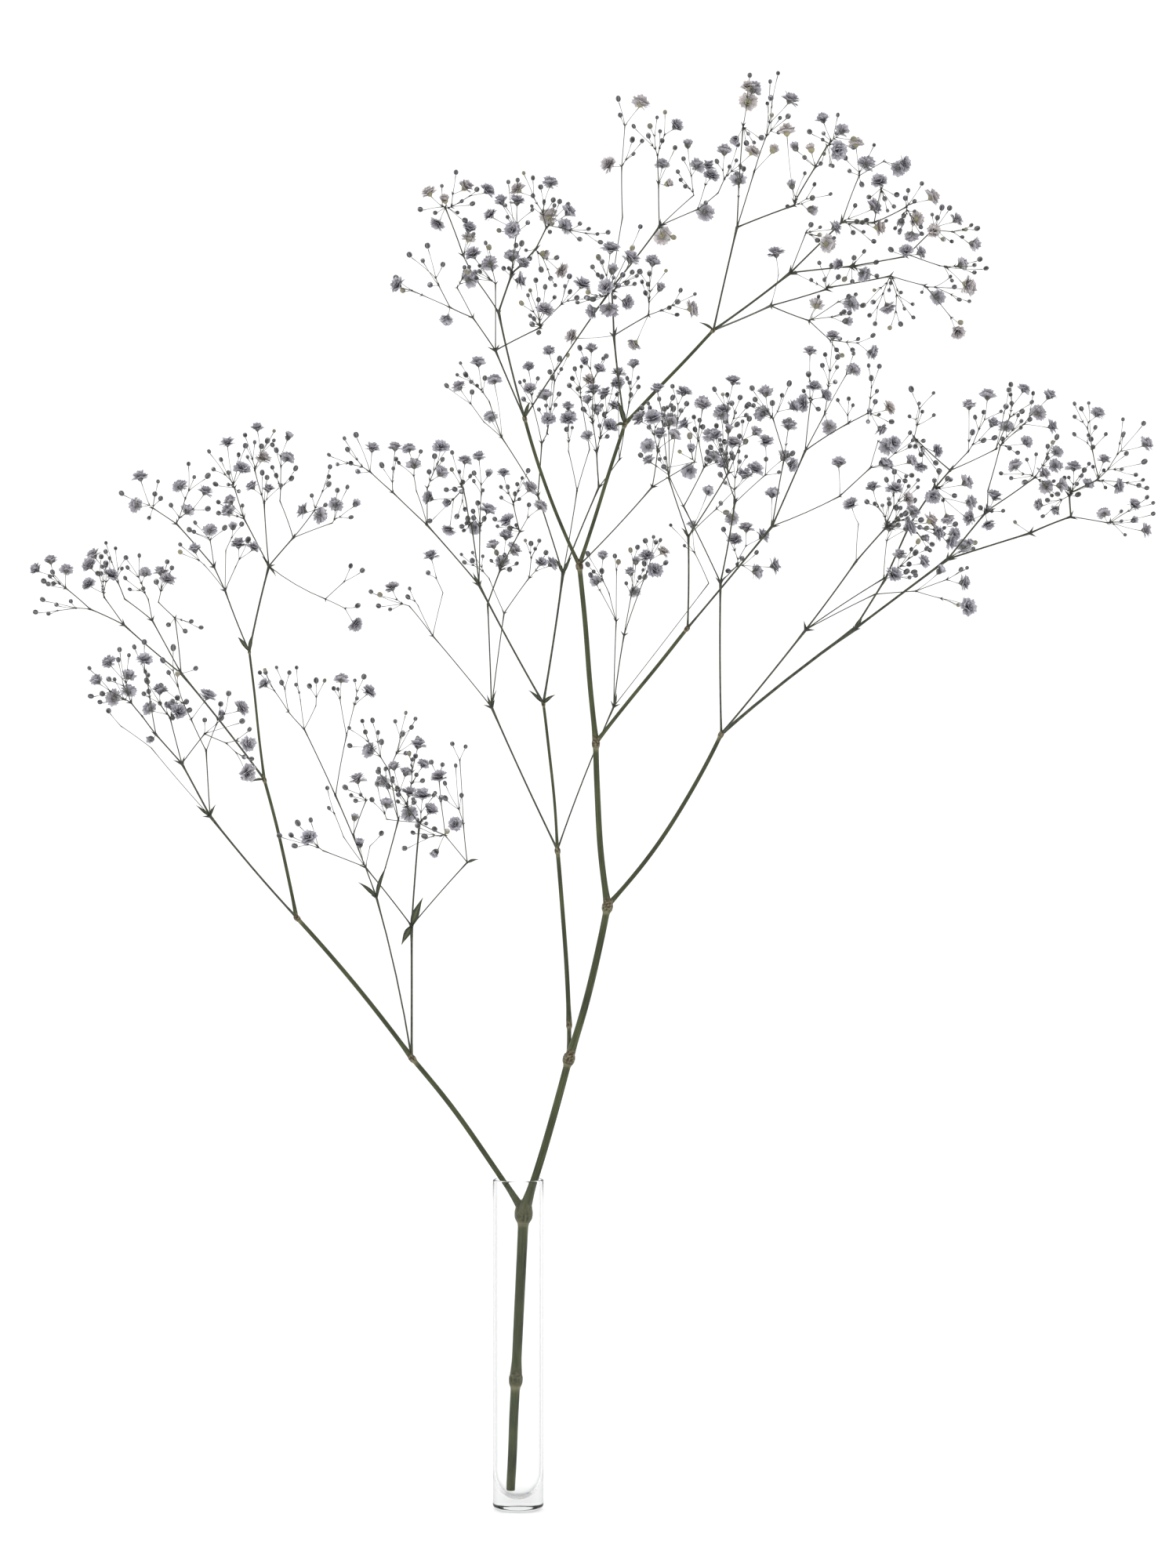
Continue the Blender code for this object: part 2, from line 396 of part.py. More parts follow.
# tuft: (knot, column, row, half width, half height, blooms, buds)
TUFTS = (
    ("far_left_a1", 66, 773, 25, 15, 0, 4),
    ("far_left_a1", 66, 727, 28, 20, 3, 4),
    ("far_left_a2", 120, 732, 32, 24, 4, 4),
    ("far_left_b1", 135, 712, 27, 22, 1, 8),
    ("far_left_b2", 174, 732, 20, 28, 1, 5),
    ("far_left_c1", 210, 733, 16, 18, 2, 2),
    ("far_left_c", 236, 798, 26, 10, 0, 3),
    ("far_left", 250, 850, 7, 7, 0, 1),
    ("low_left_a1", 143, 905, 7, 7, 0, 1),
    ("low_left_b2", 143, 864, 31, 36, 5, 7),
    ("low_left_b1", 180, 852, 18, 32, 1, 5),
    ("low_left_b1", 191, 941, 9, 9, 1, 0),
    ("low_left_b3", 196, 892, 19, 24, 3, 3),
    ("low_left_b3", 226, 904, 16, 16, 2, 3),
    ("low_left_c1", 220, 862, 16, 31, 0, 5),
    ("low_left_c1", 263, 887, 9, 9, 1, 0),
    ("low_left_c2", 298, 896, 22, 18, 1, 3),
    ("low_left_b4", 282, 918, 26, 7, 0, 3),
    ("low_left_b4", 318, 964, 12, 30, 2, 2),
    ("left_a3", 180, 630, 26, 36, 2, 4),
    ("left_a2", 242, 628, 28, 33, 3, 4),
    ("left_a4", 258, 674, 28, 10, 1, 3),
    ("left_a5", 243, 698, 18, 12, 1, 1),
    ("left_a6", 296, 670, 14, 9, 1, 1),
    ("left_a7", 316, 694, 22, 14, 2, 1),
    ("left_b1", 292, 646, 18, 16, 3, 2),
    ("left_b2", 290, 593, 30, 36, 2, 7),
    ("left_b4", 330, 562, 22, 30, 2, 6),
    ("left_b3", 334, 618, 24, 16, 2, 2),
    ("left_b6", 363, 582, 19, 36, 2, 5),
    ("left_b7", 398, 648, 22, 20, 2, 2),
    ("left_b7", 421, 611, 7, 17, 0, 3),
    ("left_b8", 442, 641, 26, 21, 2, 3),
    ("left_b10", 458, 723, 17, 7, 0, 2),
    ("left_b11", 454, 788, 9, 18, 1, 1),
    ("tall_front_c", 336, 866, 10, 18, 1, 2),
    ("tall_front_c", 360, 860, 12, 16, 0, 3),
    ("tall_front_d", 378, 862, 8, 14, 0, 2),
    ("tall_front_e", 404, 871, 16, 7, 0, 2),
    ("tall_front_f", 432, 868, 13, 16, 1, 2),
    ("tall_front_g", 465, 878, 17, 18, 1, 3),
    ("tall_front_i", 466, 942, 24, 26, 1, 6),
    ("tall_front_i", 516, 934, 20, 28, 0, 6),
    ("tall_front_h", 488, 990, 9, 16, 1, 1),
    ("low_front_b", 387, 1064, 30, 18, 1, 4),
    ("low_front_c", 414, 1021, 9, 18, 0, 2),
    ("low_front_d", 484, 1062, 7, 7, 0, 1),
    ("low_front_e", 451, 1043, 9, 9, 1, 0),
    ("low_front_f", 452, 1003, 14, 21, 1, 3),
    ("low_front_a", 460, 1075, 9, 9, 1, 0),
    ("low_front_h", 488, 1018, 16, 20, 2, 2),
    ("low_front_i", 520, 1020, 14, 22, 2, 3),
    ("low_front_i", 504, 986, 22, 21, 2, 5),
    ("low_front_i", 534, 970, 16, 28, 2, 5),
    ("low_front_g", 541, 1026, 18, 25, 2, 4),
    ("low_front_j", 546, 1073, 32, 25, 1, 5),
    ("low_front_m", 557, 994, 14, 26, 2, 3),
    ("low_front_l", 578, 1004, 14, 34, 0, 3),
    ("low_front_l", 578, 952, 18, 7, 0, 2),
    ("low_front_l", 581, 1050, 9, 10, 1, 1),
    ("inner_left_c", 491, 756, 20, 23, 1, 3),
    ("inner_left_d", 520, 752, 7, 13, 0, 2),
    ("inner_left_b", 549, 718, 13, 19, 2, 1),
    ("inner_left_f", 642, 702, 22, 28, 5, 4),
    ("inner_left_h", 641, 618, 10, 26, 1, 3),
    ("inner_left_h", 670, 621, 18, 23, 1, 4),
    ("inner_left_g", 686, 641, 14, 15, 2, 1),
    ("inner_left_g", 645, 666, 16, 12, 1, 3),
    ("inner_left_j", 698, 716, 18, 14, 2, 1),
    ("inner_left_j", 680, 694, 14, 10, 0, 3),
    ("inner_left_k", 601, 712, 19, 10, 0, 4),
    ("inner_mid_b", 453, 577, 31, 24, 1, 6),
    ("inner_mid_b", 498, 578, 15, 24, 1, 3),
    ("inner_mid_c", 525, 584, 18, 20, 2, 2),
    ("inner_mid_d", 558, 594, 14, 20, 1, 2),
    ("inner_mid_d", 563, 571, 11, 9, 1, 1),
    ("inner_mid_f", 588, 594, 16, 25, 1, 4),
    ("inner_mid_h", 616, 598, 16, 28, 2, 3),
    ("inner_mid_f", 564, 648, 28, 36, 3, 5),
    ("inner_mid_e", 600, 672, 14, 12, 1, 3),
    ("inner_mid_g", 616, 654, 16, 16, 2, 3),
    ("inner_right_c", 585, 497, 21, 15, 2, 1),
    ("inner_right_d", 602, 474, 22, 23, 1, 5),
    ("inner_right_b", 630, 482, 9, 9, 1, 0),
    ("inner_right_b", 625, 530, 9, 9, 1, 0),
    ("inner_right_e", 673, 484, 16, 28, 2, 3),
    ("inner_right_f", 698, 512, 17, 36, 2, 4),
    ("inner_right_f", 708, 456, 18, 24, 2, 3),
    ("inner_right_h", 726, 528, 10, 23, 3, 1),
    ("inner_right_i", 740, 482, 22, 19, 1, 4),
    ("inner_right_l", 756, 458, 24, 22, 3, 2),
    ("inner_right_l", 756, 512, 16, 24, 4, 3),
    ("inner_right_k", 776, 522, 18, 34, 3, 6),
    ("inner_right_m", 788, 479, 10, 23, 2, 0),
    ("inner_right_m", 808, 481, 12, 32, 1, 4),
    ("inner_right_k", 750, 554, 9, 9, 1, 0),
    ("behind_b", 762, 714, 18, 21, 1, 3),
    ("behind_a", 760, 740, 13, 10, 1, 1),
    ("behind_a", 786, 715, 7, 10, 0, 2),
    ("behind_c", 810, 730, 16, 36, 4, 5),
    ("behind_c", 835, 710, 20, 26, 4, 5),
    ("behind_e", 871, 674, 21, 25, 2, 2),
    ("top_left_b", 508, 364, 9, 14, 1, 2),
    ("top_left_b", 542, 340, 22, 30, 0, 4),
    ("top_left_b", 568, 405, 9, 9, 1, 0),
    ("top_left_c", 597, 352, 9, 16, 1, 2),
    ("top_left_d", 604, 332, 12, 22, 1, 3),
    ("top_left_d", 623, 334, 9, 28, 2, 2),
    ("top_left_e", 688, 389, 22, 31, 1, 9),
    ("top_left_f", 736, 367, 16, 18, 1, 4),
    ("top_back_c", 554, 262, 23, 34, 3, 2),
    ("top_back_c", 589, 248, 16, 32, 1, 4),
    ("top_back_b", 598, 298, 14, 14, 2, 1),
    ("top_back_c", 619, 244, 13, 9, 1, 1),
    ("top_back_e", 644, 265, 33, 36, 4, 6),
    ("top_back_g", 682, 240, 31, 24, 2, 6),
    ("top_back_g", 712, 278, 26, 24, 3, 4),
    ("top_back_d", 658, 336, 18, 28, 3, 4),
    ("top_back_f", 686, 326, 16, 24, 2, 3),
    ("top_back_f", 710, 344, 16, 20, 2, 3),
    ("top_back_g", 755, 296, 24, 17, 0, 5),
    ("top_near", 775, 340, 19, 34, 3, 6),
    ("top_near", 800, 344, 18, 24, 1, 4),
    ("top_near", 774, 387, 34, 20, 3, 5),
    ("top_mid_c", 806, 134, 20, 20, 1, 2),
    ("top_mid_c", 776, 200, 9, 18, 2, 0),
    ("top_mid_c", 812, 186, 10, 15, 0, 3),
    ("top_mid_e", 842, 161, 32, 21, 1, 6),
    ("top_mid_e", 848, 210, 18, 34, 3, 1),
    ("top_mid_f", 880, 204, 20, 36, 2, 4),
    ("top_mid_g", 902, 218, 15, 20, 3, 0),
    ("top_mid_h", 942, 199, 30, 20, 2, 4),
    ("top_mid_g", 900, 267, 9, 11, 1, 1),
    ("top_mid_d", 848, 299, 14, 9, 1, 1),
    ("top_mid_a", 809, 305, 14, 21, 0, 2),
    ("top_mid_i", 835, 353, 19, 28, 2, 5),
    ("top_mid_i", 872, 387, 21, 20, 1, 4),
    ("top_mid_i", 809, 441, 9, 9, 1, 0),
    ("top_mid", 729, 429, 9, 9, 1, 0),
    ("crown_a1", 956, 118, 14, 22, 4, 1),
    ("crown_a1", 948, 177, 23, 9, 1, 3),
    ("crown_a", 942, 224, 10, 14, 1, 2),
    ("crown_a2", 990, 132, 25, 36, 1, 6),
    ("crown_a2", 987, 188, 9, 9, 1, 0),
    ("crown_a4", 1023, 191, 19, 15, 3, 1),
    ("crown_a5", 1060, 177, 28, 36, 3, 9),
    ("crown_a3", 1028, 242, 32, 32, 2, 4),
    ("crown_a3", 1002, 171, 9, 9, 1, 0),
    ("crown_b1", 1054, 292, 21, 14, 1, 3),
    ("crown_b1", 1054, 309, 14, 10, 1, 2),
    ("crown_b3", 1098, 201, 23, 29, 2, 3),
    ("crown_b4", 1146, 211, 14, 9, 2, 0),
    ("crown_b2", 1109, 282, 24, 28, 2, 7),
    ("crown_b6", 1127, 250, 20, 22, 2, 5),
    ("crown_b7", 1174, 250, 26, 20, 2, 4),
    ("crown_b7", 1162, 287, 21, 22, 4, 5),
    ("crown_b10", 1204, 287, 24, 28, 3, 5),
    ("crown_b10", 1238, 304, 14, 18, 1, 3),
    ("crown_b8", 1092, 340, 32, 20, 2, 5),
    ("crown_b9", 1156, 323, 26, 9, 2, 1),
    ("crown_b11", 1236, 349, 22, 24, 2, 4),
    ("crown_c1", 991, 321, 9, 9, 1, 0),
    ("crown_c2", 1044, 348, 29, 16, 0, 5),
    ("crown_c6", 1086, 384, 10, 12, 1, 2),
    ("crown_c5", 1042, 386, 10, 9, 1, 1),
    ("crown_c5", 1080, 406, 12, 12, 1, 2),
    ("crown_c4", 1212, 370, 36, 20, 2, 4),
    ("crown_c4", 1220, 420, 10, 14, 1, 1),
    ("crown_c3", 1136, 388, 36, 30, 1, 11),
    ("crown_c7", 1108, 442, 24, 16, 1, 3),
    ("crown_c7", 1072, 444, 8, 14, 0, 3),
    ("mid_near_a", 825, 532, 21, 14, 2, 3),
    ("mid_near_a", 827, 567, 9, 9, 1, 0),
    ("mid_near_a", 852, 554, 18, 14, 3, 1),
    ("mid_near_b", 867, 599, 21, 14, 2, 1),
    ("mid_near_b", 877, 569, 14, 18, 1, 2),
    ("mid_near_b", 896, 518, 9, 14, 2, 0),
    ("mid_a1", 839, 508, 19, 20, 1, 4),
    ("mid_a1", 854, 531, 12, 15, 1, 3),
    ("mid_a1", 868, 506, 15, 20, 2, 2),
    ("mid_a3", 930, 560, 14, 22, 2, 5),
    ("mid_a3", 954, 548, 18, 16, 2, 3),
    ("mid_a3", 910, 556, 12, 15, 2, 2),
    ("mid_a2", 961, 599, 9, 9, 1, 0),
    ("mid_a2", 920, 646, 7, 8, 0, 2),
    ("mid_a", 902, 625, 9, 9, 1, 0),
    ("mid_back_b", 832, 584, 17, 12, 1, 3),
    ("mid_back_c", 909, 583, 13, 12, 1, 3),
    ("mid_back_c", 881, 541, 17, 11, 1, 3),
    ("mid_back_e", 921, 524, 9, 11, 2, 0),
    ("mid_back_e", 935, 510, 25, 33, 1, 8),
    ("mid_back_d", 937, 598, 22, 24, 2, 5),
    ("mid_back_f", 992, 586, 17, 20, 1, 2),
    ("mid_back_f", 976, 564, 12, 9, 2, 0),
    ("mid_back_d", 933, 660, 11, 9, 1, 1),
    ("mid_back_g", 950, 682, 36, 22, 3, 1),
    ("mid_back_g", 959, 719, 36, 20, 2, 4),
    ("mid_c2", 971, 514, 18, 26, 2, 4),
    ("mid_c2", 1006, 509, 18, 21, 2, 2),
    ("mid_c1", 1006, 540, 9, 10, 1, 1),
    ("mid_c1", 1008, 589, 9, 12, 1, 1),
    ("mid_c", 986, 628, 9, 9, 1, 0),
    ("mid_c4", 1032, 457, 12, 21, 2, 1),
    ("mid_c4", 1042, 504, 21, 22, 3, 2),
    ("mid_c5", 1060, 456, 14, 36, 1, 4),
    ("mid_c5", 1086, 466, 12, 16, 2, 1),
    ("mid_c5", 1059, 542, 9, 9, 1, 0),
    ("mid_c6", 1080, 512, 14, 10, 0, 3),
    ("mid_c7", 1115, 482, 12, 26, 0, 4),
    ("mid_c7", 1124, 531, 22, 24, 3, 4),
    ("mid_c8", 1068, 592, 9, 9, 1, 0),
    ("mid_c10", 1136, 568, 12, 9, 2, 0),
    ("mid_c9", 1130, 590, 14, 10, 2, 0),
    ("mid_c9", 1158, 582, 12, 32, 1, 4),
    ("right_near_b", 1084, 645, 9, 9, 1, 0),
    ("right_near_c", 1136, 625, 36, 23, 3, 10),
    ("right_near_c", 1158, 655, 18, 25, 2, 7),
    ("right_near_e", 1142, 670, 18, 12, 1, 2),
    ("right_near_d", 1165, 710, 25, 20, 2, 5),
    ("right_near_d", 1148, 732, 20, 9, 1, 2),
    ("right_near_g", 1200, 724, 9, 16, 2, 0),
    ("right_near_g", 1232, 773, 12, 9, 1, 1),
    ("right_near_g", 1229, 737, 10, 17, 1, 2),
    ("right_far_e", 1171, 517, 26, 23, 0, 5),
    ("right_far_e", 1184, 582, 21, 26, 2, 5),
    ("right_far_c", 1214, 634, 35, 34, 5, 6),
    ("right_far_b", 1186, 678, 19, 24, 3, 3),
    ("right_far_b", 1214, 684, 14, 18, 2, 3),
    ("right_far_f", 1233, 530, 12, 28, 2, 1),
    ("right_far_f", 1261, 528, 18, 36, 3, 4),
    ("right_far_g", 1280, 507, 10, 26, 0, 2),
    ("right_far_g", 1302, 504, 16, 24, 1, 4),
    ("right_far_k", 1298, 554, 26, 26, 3, 6),
    ("right_far_k", 1333, 524, 21, 36, 4, 1),
    ("right_far_l", 1308, 598, 32, 22, 2, 4),
    ("right_far_l", 1347, 579, 13, 23, 2, 3),
    ("right_far_l", 1342, 620, 22, 14, 2, 2),
    ("right_far_p", 1386, 542, 28, 35, 1, 8),
    ("right_far_o", 1377, 610, 24, 25, 3, 7),
    ("right_far_p", 1405, 589, 17, 15, 2, 2),
    ("right_far_p", 1439, 570, 33, 36, 1, 7),
    ("right_far_p", 1442, 618, 32, 12, 2, 3),
    ("right_far_o", 1336, 648, 22, 14, 2, 2),
    ("right_far_q", 1411, 654, 9, 9, 1, 0),
    ("right_far_q", 1452, 660, 26, 28, 3, 5),
    ("right_far_m", 1297, 666, 7, 7, 0, 1),
    ("right_far_i", 1266, 652, 16, 33, 3, 3),
    ("right_far_i", 1237, 662, 9, 9, 1, 0),
    ("right_far_h", 1233, 695, 14, 13, 2, 1),
)

# leaf: (knot, column and row of its tip, depth of its tip in front of the knot in millimetres, width)
LEAVES = (
    ("left_3", 320, 997, 4, 1.8 * MM),
    ("left_4", 303, 812, -5, 2.2 * MM),
    ("left_4", 322, 809, -3, 2.2 * MM),
    ("low_left", 250, 1027, 2, 1.6 * MM),
    ("low_left", 275, 1026, 2, 1.4 * MM),
    ("left_b", 334, 709, 2, 1.4 * MM),
    ("left_b", 352, 735, 3, 1.4 * MM),
    ("tall_front", 457, 1125, 3, 2.4 * MM),
    ("tall_front", 492, 1106, 2, 2.4 * MM),
    ("low_front", 512, 1205, 5, 3.6 * MM),
    ("low_front", 539, 1145, 4, 4.0 * MM),
    ("low_front_k", 610, 1096, 3, 1.8 * MM),
    ("inner_left", 621, 886, 2, 1.4 * MM),
    ("inner_left", 633, 880, 2, 1.4 * MM),
    ("inner_3", 674, 880, 0, 2.0 * MM),
    ("inner_3", 708, 886, 3, 2.4 * MM),
    ("inner_mid", 603, 730, 2, 1.4 * MM),
    ("inner_right", 708, 712, 3, 2.2 * MM),
    ("inner_right", 729, 710, 3, 2.2 * MM),
    ("behind", 787, 884, 2, 1.4 * MM),
    ("right_5", 787, 510, 4, 3.0 * MM),
    ("right_5", 784, 543, 6, 2.4 * MM),
    ("right_6", 892, 411, 3, 1.8 * MM),
    ("right_7", 676, 512, -5, 2.0 * MM),
    ("right_far", 1101, 783, 3, 2.4 * MM),
    ("mid_a", 869, 673, 2, 1.4 * MM),
)


def seen(column, row, depth_mm):
    """A point of the front view, moved along its line of sight to the given depth."""
    depth = depth_mm * MM * DEPTH_SCALE
    eye_across = (EYE_COLUMN - TUBE_COLUMN) * GRID
    eye_up = (FLOOR_ROW - EYE_ROW) * GRID
    across = (column - TUBE_COLUMN) * GRID
    up = (FLOOR_ROW - row) * GRID
    growth = 1 + depth / EYE_DISTANCE
    return Vector((
        eye_across + (across - eye_across) * growth,
        depth,
        eye_up + (up - eye_up) * growth,
    ))


def knot_place(name):
    return seen(*KNOTS[name][1:])


def spray_of(knot):
    """The spray that a knot belongs to, or None for a knot of the stem."""
    while knot is not None and knot not in SPRAYS:
        knot = KNOTS[knot][0]
    return knot


def twig_diameter(carried):
    return STALK_DIAMETER + TWIG_GAIN * carried ** TWIG_POWER


def solid_diameter(carried):
    return max(THINNEST_SOLID, twig_diameter(carried))


# Growing

def share_of(rng, count, share):
    """A count scaled by a share, rounded up or down at random, and never scaled to nothing."""
    if count == 0:
        return 0
    return max(1, int(count * share + rng.random()))


def draw_place(rng, middle, halves):
    while True:
        draw = Vector((rng.uniform(-1, 1), rng.uniform(-1, 1), rng.uniform(-1, 1)))
        if draw.length <= 1:
            return middle + Vector((draw[0] * halves[0], draw[1] * halves[1], draw[2] * halves[2]))


def clearest_place(rng, middle, halves, reach, taken):
    """Of several places drawn in an ellipsoid, the one that stands clearest of what is there already."""
    draws = [draw_place(rng, middle, halves) for _ in range(PLACE_TRIES)]
    if not taken:
        return draws[0]
    filled = np.array(taken)
    rooms = []
    for place in draws:
        distances = np.linalg.norm((filled[:, :3] - np.array(place)) * FRONT_WEIGHTS, axis=1)
        rooms.append(float(np.min(distances - filled[:, 3])) - reach)
    return draws[rooms.index(max(rooms))]


def grow_tuft(rng, tuft, taken):
    """The blooms and buds of one tuft: (kind, place, size), spread so that none sits in another."""
    knot, column, row, half_width, half_height, blooms, buds = tuft
    bloom_count = share_of(rng, blooms, BLOOM_SHARE)
    bud_count = share_of(rng, buds, BUD_SHARE)
    base = KNOTS[knot]
    away = math.hypot(column - base[1], row - base[2]) * GRID / MM
    depth = base[3] + rng.uniform(-1, 1) * TUFT_WANDER * away
    middle = seen(column, row, depth)
    half_x, half_z = half_width * GRID, half_height * GRID
    room = bloom_count * BLOOM_ROOM + bud_count * BUD_ROOM
    half_y = max((half_x + half_z) / 2, room / (BALL_FACTOR * half_x * half_z))
    half_y = min(half_y, DEEPEST_TUFT)
    halves = (half_x, half_y, half_z)
    items = []
    for kind, count, reach, spread in (
        ("bloom", bloom_count, BLOOM_DIAMETER / 2, BLOOM_SPREAD),
        ("bud", bud_count, BUD_DIAMETER / 2, BUD_SPREAD),
    ):
        for _ in range(count):
            inner = tuple(max(spread * half - reach, LEAST_SPREAD * half) for half in halves)
            place = clearest_place(rng, middle, inner, reach, taken)
            taken.append((*place, reach))
            size = rng.uniform(*(BLOOM_SIZES if kind == "bloom" else BUD_SIZES))
            kept = kind == "bloom" or rng.random() < SOLID_BUD_SHARE
            turn = rng.uniform(0, math.tau)
            items.append({"kind": kind, "place": place, "size": size, "kept": kept, "turn": turn})
    return items


def fork_node(place):
    return {"place": place, "twigs": [], "item": None}


def branch(node, items):
    """Twigs from a fork to a group of blooms and buds, which part in twos and threes."""
    if len(items) == 1:
        item = items[0]
        away = item["place"] - node["place"]
        if away.length < SHORTEST_STALK:
            item["place"] = node["place"] + away.normalized() * SHORTEST_STALK
        tip = fork_node(item["place"])
        tip["item"] = item
        node["twigs"].append(tip)
        return
    places = [item["place"] for item in items]
    centre = sum(places, Vector()) / len(places)
    spread = max((place - centre).length for place in places)
    length = (centre - node["place"]).length
    climb = 1 - (SHORTEST_STALK + 0.8 * spread) / length
    if climb * length > SHORTEST_TWIG:
        fork = fork_node(node["place"].lerp(centre, climb))
        node["twigs"].append(fork)
        node = fork
    rest = list(items)
    if len(rest) % 2 == 1:
        axis = (centre - node["place"]).normalized()
        middle_item = min(rest, key=lambda item: off_axis(item["place"], node["place"], axis))
        rest.remove(middle_item)
        branch(node, [middle_item])
    first, second = farthest_pair(rest)
    left = [item for item in rest if nearer(item, first, second)]
    right = [item for item in rest if not nearer(item, first, second)]
    branch(node, left)
    branch(node, right)


def off_axis(place, start, axis):
    offset = place - start
    return (offset - axis * offset.dot(axis)).length


def farthest_pair(items):
    pairs = [(a, b) for i, a in enumerate(items) for b in items[i + 1:]]
    return max(pairs, key=lambda pair: (pair[0]["place"] - pair[1]["place"]).length)


def nearer(item, first, second):
    return (item["place"] - first["place"]).length <= (item["place"] - second["place"]).length


def spray_nodes():
    """One fork for each knot of the sprays, joined as the table says. The roots are kept by name."""
    nodes = {}
    for knot, (below, *_) in KNOTS.items():
        if spray_of(knot) is None:
            continue
        nodes[knot] = fork_node(knot_place(knot))
        nodes[knot]["knot"] = knot
        if knot not in SPRAYS:
            nodes[below]["twigs"].append(nodes[knot])
    return nodes


def grow_all():
    """Grows each tuft on its knot, in whichever of a few ways crosses least of what already stands."""
    nodes = spray_nodes()
    rods = standing_rods()
    taken = []
    for number, tuft in enumerate(TUFTS):
        best = None
        near = rods_near(rods, nodes[tuft[0]]["place"], tuft)
        for attempt in range(TUFT_TRIES):
            rng = random.Random(FIRST_SEED + number * 100 + attempt)
            filled = list(taken)
            base = fork_node(nodes[tuft[0]]["place"])
            base["knot"] = tuft[0]
            branch(base, grow_tuft(rng, tuft, filled))
            limit_forks(base)
            weigh(base)
            standing = thin(base)
            own = rods_of(standing, number) if standing else []
            crossed = crossings(own, near) if own else 0
            if best is None or crossed < best[0]:
                best = (crossed, base, filled, own)
            if crossed == 0:
                break
        crossed, base, taken, own = best
        rods += own
        nodes[tuft[0]]["twigs"] += base["twigs"]
    for name in SPRAYS:
        limit_forks(nodes[name])
        weigh(nodes[name])
    return {name: nodes[name] for name in SPRAYS}


def onwardness(node, twig, onward):
    return (twig["place"] - node["place"]).normalized().dot(onward)


def limit_forks(node):
    """Sets the twigs of a crowded fork on two or more forks a short way apart, four at most on each."""
    if len(node["twigs"]) > MOST_TWIGS:
        ends = [twig["place"] for twig in node["twigs"]]
        onward = (sum(ends, Vector()) / len(ends) - node["place"]).normalized()
        ordered = sorted(node["twigs"], key=lambda twig: onwardness(node, twig, onward))
        upper = fork_node(node["place"] + onward * FORK_STEP)
        upper["twigs"] = ordered[MOST_TWIGS - 1:]
        node["twigs"] = ordered[:MOST_TWIGS - 1] + [upper]
    for twig in node["twigs"]:
        limit_forks(twig)


def weigh(node):
    """Notes on each fork how many blooms and buds it carries."""
    node["carried"] = 1 if node["item"] else sum(weigh(twig) for twig in node["twigs"])
    return node["carried"]


def twigs_of(node, start):
    """Every twig above a fork as (start, end, number carried, its upper node)."""
    found = []
    for twig in node["twigs"]:
        found.append((start, twig["place"], twig["carried"], twig))
        found += twigs_of(twig, twig["place"])
    return found


def thin(node):
    """The tree with only the buds that stay in the solids. A fork left with one twig is passed over."""
    if node["item"]:
        return node if node["item"]["kept"] else None
    twigs = [kept for kept in (thin(twig) for twig in node["twigs"]) if kept]
    if not twigs:
        return None
    if len(twigs) == 1 and "knot" not in node:
        return twigs[0]
    return {**node, "twigs": [straighten(node["place"], twig) for twig in twigs]}


def straighten(start, node):
    """Passes over a knot that has one twig left and lies almost on the straight line past it."""
    if node["item"] or len(node["twigs"]) != 1:
        return node
    onward = node["twigs"][0]["place"]
    axis = (onward - start).normalized()
    if off_axis(node["place"], start, axis) < STRAIGHT_ENOUGH:
        return node["twigs"][0]
    return node


def rods_near(rods, place, tuft):
    """The rods within reach of a tuft and of the knot it grows from."""
    middle = (place + seen(tuft[1], tuft[2], KNOTS[tuft[0]][3])) / 2
    reach = (place - middle).length + (tuft[3] + tuft[4]) * GRID + DEEPEST_TUFT
    rows = np.array(rods)
    low = np.minimum(rows[:, 0:3], rows[:, 3:6]) - reach
    high = np.maximum(rows[:, 0:3], rows[:, 3:6]) + reach
    near = np.all((low < np.array(middle)) & (high > np.array(middle)), axis=1)
    return [row for row, kept in zip(rods, near) if kept]


def crossings(ours, others):
    """How many times our rods come too close to the others, or to each other."""
    rows = np.array(others + ours)
    count = 0
    for rod in ours:
        gaps = gaps_to(np.array(rod[0:3]), np.array(rod[3:6]), rows) - rod[6]
        count += int(np.sum((gaps < JOINT_GAP) & (rows[:, 7] != rod[7])))
    return count


def gaps_to(start, end, rows):
    """The least distance from one straight rod to the skin of each row's rod."""
    ours = end - start
    lows, theirs = rows[:, 0:3], rows[:, 3:6] - rows[:, 0:3]
    between = start - lows
    our_square = max(ours @ ours, 1e-12)
    their_squares = np.maximum(np.einsum("ij,ij->i", theirs, theirs), 1e-12)
    along_theirs = np.einsum("ij,ij->i", theirs, between)
    along_ours = between @ ours
    shared = theirs @ ours
    slope = np.maximum(our_square * their_squares - shared * shared, 1e-18)
    s = np.clip((shared * along_theirs - along_ours * their_squares) / slope, 0, 1)
    t = np.clip((shared * s + along_theirs) / their_squares, 0, 1)
    s = np.clip((shared * t - along_ours) / our_square, 0, 1)
    nearest = (start + s[:, None] * ours) - (lows + t[:, None] * theirs)
    return np.linalg.norm(nearest, axis=1) - rows[:, 6]


def rod(start, end, radius, mark):
    """A twig as a straight rod, held back a little from the forks at its ends."""
    along = end - start
    back = min(FORK_CLEARANCE, 0.4 * along.length)
    low = start + along.normalized() * back
    high = end - along.normalized() * back * 0.5
    return (*low, *high, radius, mark)


